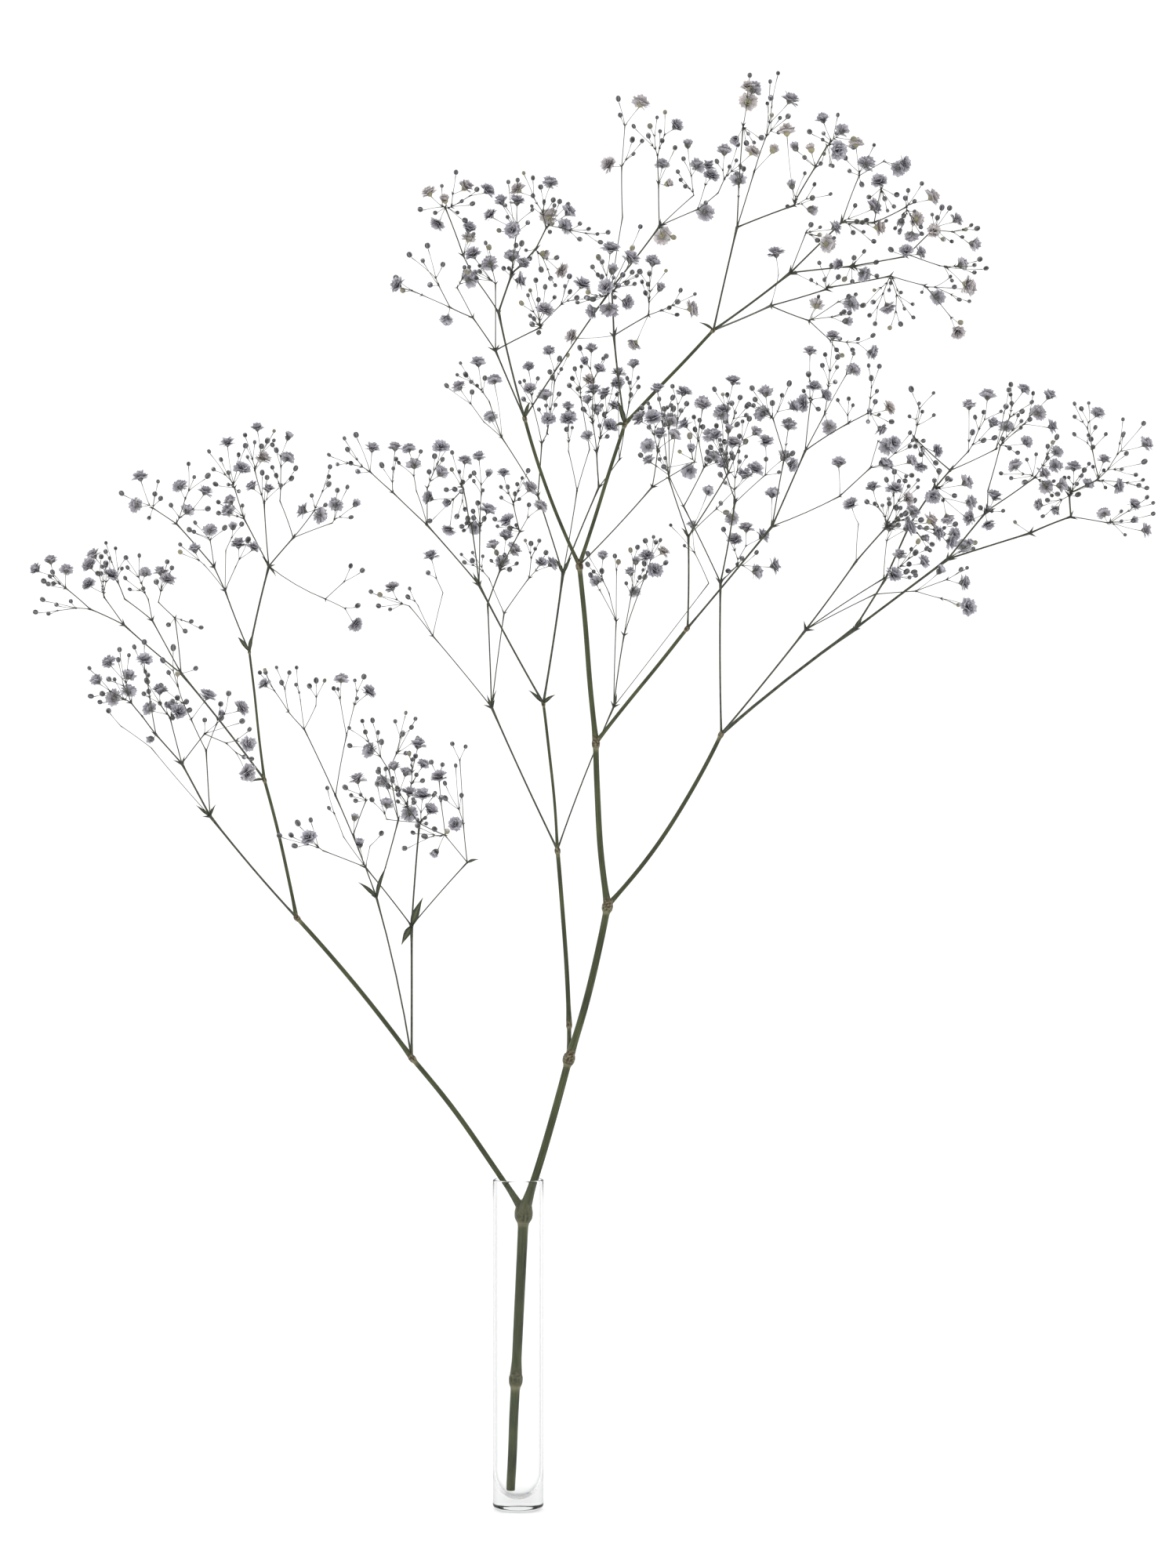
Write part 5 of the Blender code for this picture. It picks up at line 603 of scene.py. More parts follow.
    ("mid_c6", 1080, 512, 14, 10, 0, 3),
    ("mid_c7", 1115, 482, 12, 26, 0, 4),
    ("mid_c7", 1124, 531, 22, 24, 3, 4),
    ("mid_c8", 1068, 592, 9, 9, 1, 0),
    ("mid_c10", 1136, 568, 12, 9, 2, 0),
    ("mid_c9", 1130, 590, 14, 10, 2, 0),
    ("mid_c9", 1158, 582, 12, 32, 1, 4),
    ("right_near_b", 1084, 645, 9, 9, 1, 0),
    ("right_near_c", 1136, 625, 36, 23, 3, 10),
    ("right_near_c", 1158, 655, 18, 25, 2, 7),
    ("right_near_e", 1142, 670, 18, 12, 1, 2),
    ("right_near_d", 1165, 710, 25, 20, 2, 5),
    ("right_near_d", 1148, 732, 20, 9, 1, 2),
    ("right_near_g", 1200, 724, 9, 16, 2, 0),
    ("right_near_g", 1232, 773, 12, 9, 1, 1),
    ("right_near_g", 1229, 737, 10, 17, 1, 2),
    ("right_far_e", 1171, 517, 26, 23, 0, 5),
    ("right_far_e", 1184, 582, 21, 26, 2, 5),
    ("right_far_c", 1214, 634, 35, 34, 5, 6),
    ("right_far_b", 1186, 678, 19, 24, 3, 3),
    ("right_far_b", 1214, 684, 14, 18, 2, 3),
    ("right_far_f", 1233, 530, 12, 28, 2, 1),
    ("right_far_f", 1261, 528, 18, 36, 3, 4),
    ("right_far_g", 1280, 507, 10, 26, 0, 2),
    ("right_far_g", 1302, 504, 16, 24, 1, 4),
    ("right_far_k", 1298, 554, 26, 26, 3, 6),
    ("right_far_k", 1333, 524, 21, 36, 4, 1),
    ("right_far_l", 1308, 598, 32, 22, 2, 4),
    ("right_far_l", 1347, 579, 13, 23, 2, 3),
    ("right_far_l", 1342, 620, 22, 14, 2, 2),
    ("right_far_p", 1386, 542, 28, 35, 1, 8),
    ("right_far_o", 1377, 610, 24, 25, 3, 7),
    ("right_far_p", 1405, 589, 17, 15, 2, 2),
    ("right_far_p", 1439, 570, 33, 36, 1, 7),
    ("right_far_p", 1442, 618, 32, 12, 2, 3),
    ("right_far_o", 1336, 648, 22, 14, 2, 2),
    ("right_far_q", 1411, 654, 9, 9, 1, 0),
    ("right_far_q", 1452, 660, 26, 28, 3, 5),
    ("right_far_m", 1297, 666, 7, 7, 0, 1),
    ("right_far_i", 1266, 652, 16, 33, 3, 3),
    ("right_far_i", 1237, 662, 9, 9, 1, 0),
    ("right_far_h", 1233, 695, 14, 13, 2, 1),
)

# leaf: (knot, column and row of its tip, how far its tip stands in front of the knot, width)
# The third number is in millimetres before DEPTH_SCALE.
LEAVES = (
    ("left_3", 320, 997, 4, 1.8 * MM),
    ("left_4", 303, 812, -5, 2.2 * MM),
    ("left_4", 322, 809, -3, 2.2 * MM),
    ("low_left", 250, 1027, 2, 1.6 * MM),
    ("low_left", 275, 1026, 2, 1.4 * MM),
    ("left_b", 334, 709, 2, 1.4 * MM),
    ("left_b", 352, 735, 3, 1.4 * MM),
    ("tall_front", 457, 1125, 3, 2.4 * MM),
    ("tall_front", 492, 1106, 2, 2.4 * MM),
    ("low_front", 512, 1205, 5, 3.6 * MM),
    ("low_front", 539, 1145, 4, 4.0 * MM),
    ("low_front_k", 610, 1096, 3, 1.8 * MM),
    ("inner_left", 621, 886, 2, 1.4 * MM),
    ("inner_left", 633, 880, 2, 1.4 * MM),
    ("inner_3", 674, 880, 0, 2.0 * MM),
    ("inner_3", 708, 886, 3, 2.4 * MM),
    ("inner_mid", 603, 730, 2, 1.4 * MM),
    ("inner_right", 708, 712, 3, 2.2 * MM),
    ("inner_right", 729, 710, 3, 2.2 * MM),
    ("behind", 787, 884, 2, 1.4 * MM),
    ("right_5", 787, 510, 4, 3.0 * MM),
    ("right_5", 784, 543, 6, 2.4 * MM),
    ("right_6", 892, 411, 3, 1.8 * MM),
    ("right_7", 676, 512, -5, 2.0 * MM),
    ("right_far", 1101, 783, 3, 2.4 * MM),
    ("mid_a", 869, 673, 2, 1.4 * MM),
)


def seen(column, row, depth_mm):
    """A point of the front view, moved along its line of sight to the given depth."""
    depth = depth_mm * MM * DEPTH_SCALE
    eye_across = (EYE_COLUMN - TUBE_COLUMN) * GRID
    eye_up = (FLOOR_ROW - EYE_ROW) * GRID
    across = (column - TUBE_COLUMN) * GRID
    up = (FLOOR_ROW - row) * GRID
    growth = 1 + depth / EYE_DISTANCE
    return Vector((
        eye_across + (across - eye_across) * growth,
        depth,
        eye_up + (up - eye_up) * growth,
    ))


def knot_place(name):
    """Where a knot of the table stands."""
    return seen(*KNOTS[name][1:])


def spray_of(knot):
    """The spray that a knot belongs to, or None for a knot of the stem."""
    while knot is not None and knot not in SPRAYS:
        knot = KNOTS[knot][0]
    return knot


def twig_diameter(carried):
    """How thick a twig is that carries this many blooms and buds."""
    return STALK_DIAMETER + TWIG_GAIN * carried ** TWIG_POWER


def solid_diameter(carried):
    return max(THINNEST_SOLID, twig_diameter(carried))


# Growing

def share_of(rng, count, share):
    """A count scaled by a share, rounded up or down at random, and never scaled to nothing."""
    if count == 0:
        return 0
    return max(1, int(count * share + rng.random()))


def draw_place(rng, middle, halves):
    while True:
        draw = Vector((rng.uniform(-1, 1), rng.uniform(-1, 1), rng.uniform(-1, 1)))
        if draw.length <= 1:
            return middle + Vector((draw[0] * halves[0], draw[1] * halves[1], draw[2] * halves[2]))


def clearest_place(rng, middle, halves, reach, taken):
    """Of several places drawn in an ellipsoid, the one that stands clearest of what is there already."""
    draws = [draw_place(rng, middle, halves) for _ in range(PLACE_TRIES)]
    if not taken:
        return draws[0]
    filled = np.array(taken)
    rooms = []
    for place in draws:
        distances = np.linalg.norm((filled[:, :3] - np.array(place)) * FRONT_WEIGHTS, axis=1)
        rooms.append(float(np.min(distances - filled[:, 3])) - reach)
    return draws[rooms.index(max(rooms))]


def grow_tuft(rng, tuft, taken):
    """The blooms and buds of one tuft: (kind, place, size), spread so that none sits in another."""
    knot, column, row, half_width, half_height, blooms, buds = tuft
    bloom_count = share_of(rng, blooms, BLOOM_SHARE)
    bud_count = share_of(rng, buds, BUD_SHARE)
    base = KNOTS[knot]
    away = math.hypot(column - base[1], row - base[2]) * GRID / MM
    depth = base[3] + rng.uniform(-1, 1) * TUFT_WANDER * away
    middle = seen(column, row, depth)
    half_x, half_z = half_width * GRID, half_height * GRID
    room = bloom_count * BLOOM_ROOM + bud_count * BUD_ROOM
    half_y = max((half_x + half_z) / 2, room / (BALL_FACTOR * half_x * half_z))
    half_y = min(half_y, DEEPEST_TUFT)
    halves = (half_x, half_y, half_z)
    items = []
    for kind, count, reach, spread in (
        ("bloom", bloom_count, BLOOM_DIAMETER / 2, BLOOM_SPREAD),
        ("bud", bud_count, BUD_DIAMETER / 2, BUD_SPREAD),
    ):
        for _ in range(count):
            inner = tuple(max(spread * half - reach, LEAST_SPREAD * half) for half in halves)
            place = clearest_place(rng, middle, inner, reach, taken)
            taken.append((*place, reach))
            size = rng.uniform(*(BLOOM_SIZES if kind == "bloom" else BUD_SIZES))
            kept = kind == "bloom" or rng.random() < SOLID_BUD_SHARE
            turn = rng.uniform(0, math.tau)
            items.append({"kind": kind, "place": place, "size": size, "kept": kept, "turn": turn})
    return items


def fork_node(place):
    return {"place": place, "twigs": [], "item": None}


def branch(node, items):
    """Twigs from a fork to a group of blooms and buds, which part in twos and threes."""
    if len(items) == 1:
        item = items[0]
        away = item["place"] - node["place"]
        if away.length < SHORTEST_STALK:
            item["place"] = node["place"] + away.normalized() * SHORTEST_STALK
        tip = fork_node(item["place"])
        tip["item"] = item
        node["twigs"].append(tip)
        return
    places = [item["place"] for item in items]
    centre = sum(places, Vector()) / len(places)
    spread = max((place - centre).length for place in places)
    length = (centre - node["place"]).length
    climb = 1 - (SHORTEST_STALK + 0.8 * spread) / length
    if climb * length > SHORTEST_TWIG:
        fork = fork_node(node["place"].lerp(centre, climb))
        node["twigs"].append(fork)
        node = fork
    rest = list(items)
    if len(rest) % 2 == 1:
        axis = (centre - node["place"]).normalized()
        middle_item = min(rest, key=lambda item: off_axis(item["place"], node["place"], axis))
        rest.remove(middle_item)
        branch(node, [middle_item])
    first, second = farthest_pair(rest)
    left = [item for item in rest if nearer(item, first, second)]
    right = [item for item in rest if not nearer(item, first, second)]
    branch(node, left)
    branch(node, right)


def off_axis(place, start, axis):
    offset = place - start
    return (offset - axis * offset.dot(axis)).length


def farthest_pair(items):
    pairs = [(a, b) for i, a in enumerate(items) for b in items[i + 1:]]
    return max(pairs, key=lambda pair: (pair[0]["place"] - pair[1]["place"]).length)


def nearer(item, first, second):
    return (item["place"] - first["place"]).length <= (item["place"] - second["place"]).length


def spray_nodes():
    """One fork for each knot of the sprays, joined as the table says. The roots are kept by name."""
    nodes = {}
    for knot, (below, *_) in KNOTS.items():
        if spray_of(knot) is None:
            continue
        nodes[knot] = fork_node(knot_place(knot))
        nodes[knot]["knot"] = knot
        if knot not in SPRAYS:
            nodes[below]["twigs"].append(nodes[knot])
    return nodes


def grow_all():
    """Grows each tuft on its knot, in whichever of a few ways crosses least of what already stands."""
    nodes = spray_nodes()
    rods = standing_rods()
    taken = []
    for number, tuft in enumerate(TUFTS):
        best = None
        near = rods_near(rods, nodes[tuft[0]]["place"], tuft)
        for attempt in range(TUFT_TRIES):
            rng = random.Random(FIRST_SEED + number * 100 + attempt)
            filled = list(taken)
            base = fork_node(nodes[tuft[0]]["place"])
            base["knot"] = tuft[0]
            branch(base, grow_tuft(rng, tuft, filled))
            limit_forks(base)
            weigh(base)
            standing = thin(base)
            own = rods_of(standing, number) if standing else []
            crossed = crossings(own, near) if own else 0
            if best is None or crossed < best[0]:
                best = (crossed, base, filled, own)
            if crossed == 0:
                break
        crossed, base, taken, own = best
        rods += own
        nodes[tuft[0]]["twigs"] += base["twigs"]
    for name in SPRAYS:
        limit_forks(nodes[name])
        weigh(nodes[name])
    return {name: nodes[name] for name in SPRAYS}


def onwardness(node, twig, onward):
    return (twig["place"] - node["place"]).normalized().dot(onward)


def limit_forks(node):
    """Sets the twigs of a crowded fork on two or more forks a short way apart, four at most on each."""
    if len(node["twigs"]) > MOST_TWIGS:
        ends = [twig["place"] for twig in node["twigs"]]
        onward = (sum(ends, Vector()) / len(ends) - node["place"]).normalized()
        ordered = sorted(node["twigs"], key=lambda twig: onwardness(node, twig, onward))
        upper = fork_node(node["place"] + onward * FORK_STEP)
        upper["twigs"] = ordered[MOST_TWIGS - 1:]
        node["twigs"] = ordered[:MOST_TWIGS - 1] + [upper]
    for twig in node["twigs"]:
        limit_forks(twig)


def weigh(node):
    """Notes on each fork how many blooms and buds it carries."""
    node["carried"] = 1 if node["item"] else sum(weigh(twig) for twig in node["twigs"])
    return node["carried"]


def twigs_of(node, start):
    """Every twig above a fork as (start, end, number carried, its upper node)."""
    found = []
    for twig in node["twigs"]:
        found.append((start, twig["place"], twig["carried"], twig))
        found += twigs_of(twig, twig["place"])
    return found


def thin(node):
    """The tree with only the buds that stay in the solids. A fork left with one twig is passed over."""
    if node["item"]:
        return node if node["item"]["kept"] else None
    twigs = [kept for kept in (thin(twig) for twig in node["twigs"]) if kept]
    if not twigs:
        return None
    if len(twigs) == 1 and "knot" not in node:
        return twigs[0]
    return {**node, "twigs": [straighten(node["place"], twig) for twig in twigs]}


def straighten(start, node):
    """Passes over a knot that has one twig left and lies almost on the straight line past it."""
    if node["item"] or len(node["twigs"]) != 1:
        return node
    onward = node["twigs"][0]["place"]
    axis = (onward - start).normalized()
    if off_axis(node["place"], start, axis) < STRAIGHT_ENOUGH:
        return node["twigs"][0]
    return node


def rods_near(rods, place, tuft):
    """The rods within reach of a tuft and of the knot it grows from."""
    middle = (place + seen(tuft[1], tuft[2], KNOTS[tuft[0]][3])) / 2
    reach = (place - middle).length + (tuft[3] + tuft[4]) * GRID + DEEPEST_TUFT
    rows = np.array(rods)
    low = np.minimum(rows[:, 0:3], rows[:, 3:6]) - reach
    high = np.maximum(rows[:, 0:3], rows[:, 3:6]) + reach
    near = np.all((low < np.array(middle)) & (high > np.array(middle)), axis=1)
    return [row for row, kept in zip(rods, near) if kept]


def crossings(ours, others):
    """How many times our rods come too close to the others, or to each other."""
    rows = np.array(others + ours)
    count = 0
    for rod in ours:
        gaps = gaps_to(np.array(rod[0:3]), np.array(rod[3:6]), rows) - rod[6]
        count += int(np.sum((gaps < JOINT_GAP) & (rows[:, 7] != rod[7])))
    return count


def gaps_to(start, end, rows):
    """The least distance from one straight rod to the skin of each row's rod."""
    ours = end - start
    lows, theirs = rows[:, 0:3], rows[:, 3:6] - rows[:, 0:3]
    between = start - lows
    our_square = max(ours @ ours, 1e-12)
    their_squares = np.maximum(np.einsum("ij,ij->i", theirs, theirs), 1e-12)
    along_theirs = np.einsum("ij,ij->i", theirs, between)
    along_ours = between @ ours
    shared = theirs @ ours
    slope = np.maximum(our_square * their_squares - shared * shared, 1e-18)
    s = np.clip((shared * along_theirs - along_ours * their_squares) / slope, 0, 1)
    t = np.clip((shared * s + along_theirs) / their_squares, 0, 1)
    s = np.clip((shared * t - along_ours) / our_square, 0, 1)
    nearest = (start + s[:, None] * ours) - (lows + t[:, None] * theirs)
    return np.linalg.norm(nearest, axis=1) - rows[:, 6]


def rod(start, end, radius, mark):
    """A twig as a straight rod, held back a little from the forks at its ends."""
    along = end - start
    back = min(FORK_CLEARANCE, 0.4 * along.length)
    low = start + along.normalized() * back
    high = end - along.normalized() * back * 0.5
    return (*low, *high, radius, mark)


def rods_of(node, mark):
    """The twigs, blooms and buds above a fork, as rods with a radius. Each has a mark of its own."""
    rods = []
    for number, (start, end, carried, upper) in enumerate(twigs_of(node, node["place"])):
        own = mark + number / 1000
        if upper["item"] is None:
            rods.append(rod(start, end, solid_diameter(carried) / 2, own))
            continue
        wide = BLOOM_DIAMETER if upper["item"]["kind"] == "bloom" else BUD_DIAMETER
        reach = HEAD_FILL * upper["item"]["size"] * wide / 2
        rods.append(rod(start, end, THINNEST_SOLID / 2, own))
        rods.append((*end, *(end + Vector((0, 0, 0.2 * MM))), reach, own))
    return rods


def standing_rods():
    """The stem's stretches and the twigs between the knots, for the tufts to keep clear of."""
    rods = []
    for knot, (lower, upper) in STRETCHES.items():
        points = stretch_points(knot)
        for start, end in zip(points, points[1:]):
            rods.append((*start, *end, max(lower, upper) / 2 * MM, -1))
    for number, (knot, (below, *_)) in enumerate(KNOTS.items()):
        if spray_of(knot) is not None:
            rods.append(rod(knot_place(below), knot_place(knot), KNOT_TWIG_RADIUS, -2 - number))
    return rods


# Stem

def stretch_points(knot):
    """Points up one stretch of the stem, from the knot below it to its own, with its bow."""
    start, end = knot_place(KNOTS[knot][0]), knot_place(knot)
    right, up = BOWS.get(knot, (0, 0))
    pieces = 4 if knot in BOWS else 2
    bow = Vector((right * GRID, 0, up * GRID))
    points = []
    for step in range(pieces + 1):
        t = step / pieces
        points.append(start.lerp(end, t) + bow * (4 * t * (1 - t)))
    return points


# The stem's knots: how far each one swells, how far its collar reaches down, in shares of the stem's width,
# and how soft the collar's lower edge is
KNOT_SWELLING = 1.45
COLLAR_SHARE = 0.85
COLLAR_EDGE = 0.16

# How a limb widens where it leaves a fork: share of its width, and how far up that reaches
LIMB_FLARE = 0.30
LIMB_FLARE_REACH = 6 * MM
FORK_FLARES = {"first_fork": (0.6, 9 * MM)}

# The rounded top of a knot, as (how far up, how narrow), and the knots with a taller one
CROWN_STEPS = ((0.45, 0.88), (0.8, 0.58), (1.0, 0.2))
FORK_CROWNS = {"first_fork": 1.4}

# The points of a stretch: how far apart, how many at least, how many collars below the knot the even ones
# stop, and where in the collar the closer ones stand
STATION_STEP = 2.6 * MM
LEAST_STATIONS = 8
LAST_STATION = 1.6
COLLAR_STATIONS = (1.5, 1.2, 1.0, 0.85, 0.6, 0.3, 0.0)
# how far a stretch sways to and fro, in shares of its length
STEM_SWAY = 0.004

# How far the brown of a knot reaches, in shares of the stem's width, and how brown the greener knots are
KNOT_REACH = 1.2
LEAST_KNOT_REACH = 1.6 * MM
GREEN_KNOTS = {"lower_knot": 0.45, "first_fork": 0.45}
# how many collars below its knot the pale ring lies, and how far it reaches in shares of the stem's width
RING_DROP = 1.05
RING_REACH = 0.62
# how far up from the foot the cut face may reach
CUT_DEPTH = 0.2 * MM

# Stalks of heads and twigs, from the fork below to their own end: width in shares of the twig's, how far
# they bow in shares of their length, and how much that varies
STALK_SWELL = (1.1, 0.85, 0.72, 0.72, 1.3)
TWIG_SWELL = (1.3, 1.0, 0.96, 0.94, 0.92, 0.92, 0.94, 1.0, 1.5)
STALK_BOW = 0.03
TWIG_BOW = 0.014
BOW_SHARES = (0.3, 1.0)
# a twig that carries more heads than this has a green skin
GREEN_LOAD = 26

# Leaves: the width at each row from the foot to the tip, the arch and the fold in shares of the length
LEAF_WIDTHS = (0.34, 0.62, 0.9, 1.0, 0.92, 0.74, 0.5, 0.24, 0.03)
LEAF_ARCH = 0.10
LEAF_FOLD = 0.05
LEAF_LIFT = 0.5
LEAF_THICKNESS = 0.22 * MM

# Scales at the forks: length in millimetres, what a full load of heads adds to it, how many heads that is,
# and how much the length varies
SCALE_LENGTH = 1.7
SCALE_GAIN = 3.2
FULL_LOAD = 40
SCALE_LENGTHS = (0.8, 1.2)
# how far a scale points up and outwards, its width in radii of the twig and in millimetres, its thickness
SCALE_RISE = 0.8
SCALE_SPREAD = 0.75
SCALE_WIDTH = 2.4
LEAST_SCALE_WIDTH = 0.5 * MM
SCALE_FLATNESS = 0.35

# Petals: where they bend, how wide they are at the foot, the bend and the tip, and their ragged notch
PETAL_BEND = 0.62
FOOT_WIDTH = 0.16
BEND_WIDTH = 0.96
TIP_WIDTH = 0.72
BEND_RISE = 0.07
NOTCH = (-0.09, 0, 0.05)

# How wide a petal is, and how petals differ in one bloom: in shares of length and width, in shares of the
# space between two of them, and in degrees of rise and roll
PETAL_WIDTH = 3.5 * MM
PETAL_LENGTHS = (0.84, 1.08)
PETAL_WIDTHS = (0.8, 1.2)
PETAL_TURN = 0.25
PETAL_RISE = 11
PETAL_ROLL = 28

# rings of a bloom: (petals, their length in millimetres, rise in degrees, height of the foot in millimetres)
OPEN_RINGS = ((8, 4.3, 4, 1.5), (6, 4.5, 28, 1.5), (5, 4.2, 52, 1.5), (4, 3.8, 76, 1.5))
HALF_RINGS = ((8, 4.3, 24, 1.2), (6, 4.5, 46, 1.3), (5, 4.3, 70, 1.4))
NEW_RINGS = ((6, 3.9, 54, 1.0), (5, 3.9, 76, 1.1))
BLOOM_FORMS = (OPEN_RINGS,) * 4 + (HALF_RINGS,) * 3 + (NEW_RINGS,)
# the forms that a bloom is drawn from: the open ones twice as often as the others
BLOOM_CHOICES = (0, 1, 2, 3, 0, 1, 2, 3, 4, 5, 6, 7)

# The calyx under a bloom, as wide at its foot and its top as given, and how far its middle bulges
CALYX_SIDES = 10
CALYX_RADIUS = 1.6 * MM
CALYX_HEIGHT = 2.2 * MM
CALYX_FOOT = 0.15 * MM
CALYX_BELLY = 1.45

# Buds: how long each of the two forms is, which is drawn, how narrow its neck is and where its petals begin
BUD_LENGTHS = (1.0, 1.18)
BUD_CHOICES = (0, 0, 1)
BUD_NECK = 0.6
BUD_TIP = 0.8
# where a bud stands on the petals' run from painted shade to painted light, at its neck, and what its height
# adds
BUD_REACH = 0.35
BUD_REACH_GAIN = 0.3

# Colours, as shares of red, green and blue in linear light
STEM_DARK = (0.010, 0.016, 0.004)
STEM_MIDDLE = (0.026, 0.036, 0.010)
STEM_PALE = (0.085, 0.102, 0.040)
KNOT_BROWN = (0.035, 0.012, 0.007)
KNOT_RED = (0.110, 0.034, 0.020)
RING_PALE = (0.270, 0.250, 0.150)
CUT_BROWN = (0.11, 0.055, 0.030)
CUT_PALE = (0.24, 0.17, 0.11)
TWIG_OLIVE = (0.052, 0.060, 0.026)
TWIG_DARK = (0.009, 0.010, 0.009)
TWIG_PALE = (0.040, 0.043, 0.038)
LEAF_DARK = (0.009, 0.014, 0.005)
LEAF_PALE = (0.034, 0.044, 0.020)
# Petal tones: painted shade towards the heart, where the petals crowd, and painted light at the thin tips,
# over the dye's own lilac grey and cream
HEART_PAINTED_SHADE = (0.026, 0.025, 0.040)
PETAL_PAINTED_SHADE = (0.100, 0.095, 0.135)
PETAL_MIDDLE = (0.270, 0.262, 0.325)
PETAL_TIP_WITH_PAINTED_LIGHT = (0.560, 0.550, 0.600)
CREAM_HEART_PAINTED_SHADE = (0.075, 0.068, 0.072)
CREAM_PAINTED_SHADE = (0.300, 0.272, 0.272)
CREAM_TIP_WITH_PAINTED_LIGHT = (0.760, 0.700, 0.680)
CALYX_RIB = (0.018, 0.018, 0.020)
CALYX_FILM = (0.175, 0.177, 0.205)
YOUNG_BUD = (0.360, 0.330, 0.200)
GLASS_CLEAR = (0.990, 0.992, 0.992)
# painted shade for the glass where it is seen edge on
GLASS_EDGE_PAINTED_SHADE = (0.420, 0.430, 0.430)
GLASS_GREY = (0.0, 0.02, 0.02, 1)
FLOOR_WHITE = (0.96, 0.96, 0.96)
FLOOR_GREY = (0.94, 0.94, 0.94)

# Lighter and darker patches over a finish: (where on the noise, how much of the colour is left)
STEM_BLOTCHES = ((0.35, (0.62, 0.62, 0.60)), (0.65, (1.1, 1.1, 1.05)))
PETAL_STREAKS = ((0.35, (0.72, 0.72, 0.74)), (0.62, (1.08, 1.08, 1.08)))
CALYX_GRAIN = ((0.35, (0.75, 0.75, 0.75)), (0.65, (1.05, 1.05, 1.05)))

# Sprays whose blooms are often cream, as the upper ones are
CREAM_SPRAYS = ("top_left", "top_back", "top_near", "top_mid", "crown_a", "crown_b", "crown_c")
# in the other sprays and in those: share of cream blooms, share of yellow buds, size of the blooms
BLOOM_CREAM = (0.05, 0.34)
BUD_CREAM = (0.03, 0.12)
BLOOM_GAIN = (1.08, 1.16)
# how far a head leans from its own colour to cream or yellow
CREAM_TINT = (0.6, 1.0)
LILAC_TINT = (0.0, 0.2)
YELLOW_TINT = (0.3, 0.7)
GREEN_TINT = (0.0, 0.10)

# The glass: how it bends and takes up light, and how often light may turn in it before it is lost
GLASS_IOR = 1.18
GLASS_DENSITY = 11
GLASS_BOUNCES = 40
# how many steps the section of the glass has round its heel, up each wall, over the rim and in the bowl
HEEL_STEPS = 6
WALL_STEPS = 12
RIM_STEPS = 8
BOWL_STEPS = 12

# The studio, in metres. The floor lies a hair below the glass, which otherwise turns black at its foot.
FLOOR_RADIUS = 6
FLOOR_GAP = 0.3 * MM
SKY_STRENGTH = 1.12
LIGHT_AIM = Vector((0.04, 0.0, 0.40))
# name, place, width and power of each soft light
STUDIO_LIGHTS = (
    ("key_light", (-1.6, -1.8, 2.2), 1.6, 14),
    ("back_light", (1.4, 2.0, 1.8), 1.8, 14),
)
# the width of the camera's film, in millimetres
SENSOR_WIDTH = 36


# Working with Blender's tools

def clear_selection():
    bpy.ops.object.select_all(action="DESELECT")


def pick(obj, chosen):
    """Selects, in edit mode, the corners of a mesh that a test chooses."""
    bpy.ops.object.mode_set(mode="OBJECT")
    mesh = obj.data
    for face in mesh.polygons:
        face.select = False
    for edge in mesh.edges:
        edge.select = False
    for vert in mesh.vertices:
        vert.select = chosen(vert.co)
    bpy.ops.object.mode_set(mode="EDIT")
    bpy.ops.mesh.select_mode(type="VERT")


def start_piece(name):
    """Names the primitive that was just added and opens it for editing."""
    piece = bpy.context.object
    piece.name = name
    piece.data.name = name
    bpy.ops.object.transform_apply(location=True, rotation=True, scale=True)
    bpy.ops.object.mode_set(mode="EDIT")
    bpy.ops.mesh.select_mode(type="VERT")
    return piece


def join_pieces(name, pieces):
    """Makes one piece of many, with its object at the origin."""
    clear_selection()
    for piece in pieces:
        piece.select_set(True)
    bpy.context.view_layer.objects.active = pieces[0]
    if len(pieces) > 1:
        bpy.ops.object.join()
    bpy.ops.object.transform_apply(location=True, rotation=True, scale=True)
    joined = bpy.context.object
    joined.name = name
    joined.data.name = name
    return joined


def copy_of(model, place):
    """A copy of a model with its own mesh, set at a place given as a matrix."""
    copy = bpy.data.objects.new(model.name, model.data.copy())
    bpy.context.scene.collection.objects.link(copy)
    copy.matrix_world = place
    return copy


def mark_all(obj, name, value):
    """Gives every corner of a mesh the same number. Pieces that are joined all carry the same names."""
    values = obj.data.attributes.get(name) or obj.data.attributes.new(name, "FLOAT", "POINT")
    values.data.foreach_set("value", [value] * len(obj.data.vertices))


def mark_each(obj, name, measure):
    """Gives every corner of a mesh a number measured from its place, under a name that a finish reads."""
    values = obj.data.attributes.get(name) or obj.data.attributes.new(name, "FLOAT", "POINT")
    values.data.foreach_set("value", [measure(vert.co) for vert in obj.data.vertices])


def smooth(obj, degrees):
    clear_selection()
    obj.select_set(True)
    bpy.context.view_layer.objects.active = obj
    bpy.ops.object.shade_smooth_by_angle(angle=math.radians(degrees))


# Finishes

def new_finish(name, roughness):
    material = bpy.data.materials.new(name)
    material.use_nodes = True
    shader = material.node_tree.nodes["Principled BSDF"]
    shader.inputs["Roughness"].default_value = roughness
    return material, material.node_tree.nodes, material.node_tree.links, shader


def add_noise(nodes, links, scale, detail):
    """Noise on the piece's own coordinates, in metres."""
    coordinates = nodes.new("ShaderNodeTexCoord")
    noise = nodes.new("ShaderNodeTexNoise")
    noise.inputs["Scale"].default_value = scale
    noise.inputs["Detail"].default_value = detail
    links.new(coordinates.outputs["Object"], noise.inputs["Vector"])
    return noise


def add_ramp(nodes, links, source, stops):
    """A run of colours along a number: (where, colour) for each stop."""
    ramp = nodes.new("ShaderNodeValToRGB")
    elements = ramp.color_ramp.elements
    for place, colour in stops[2:]:
        elements.new(place)
    for element, (place, colour) in zip(elements, stops):
        element.position = place
        element.color = (*colour, 1)
    links.new(source, ramp.inputs["Fac"])
    return ramp


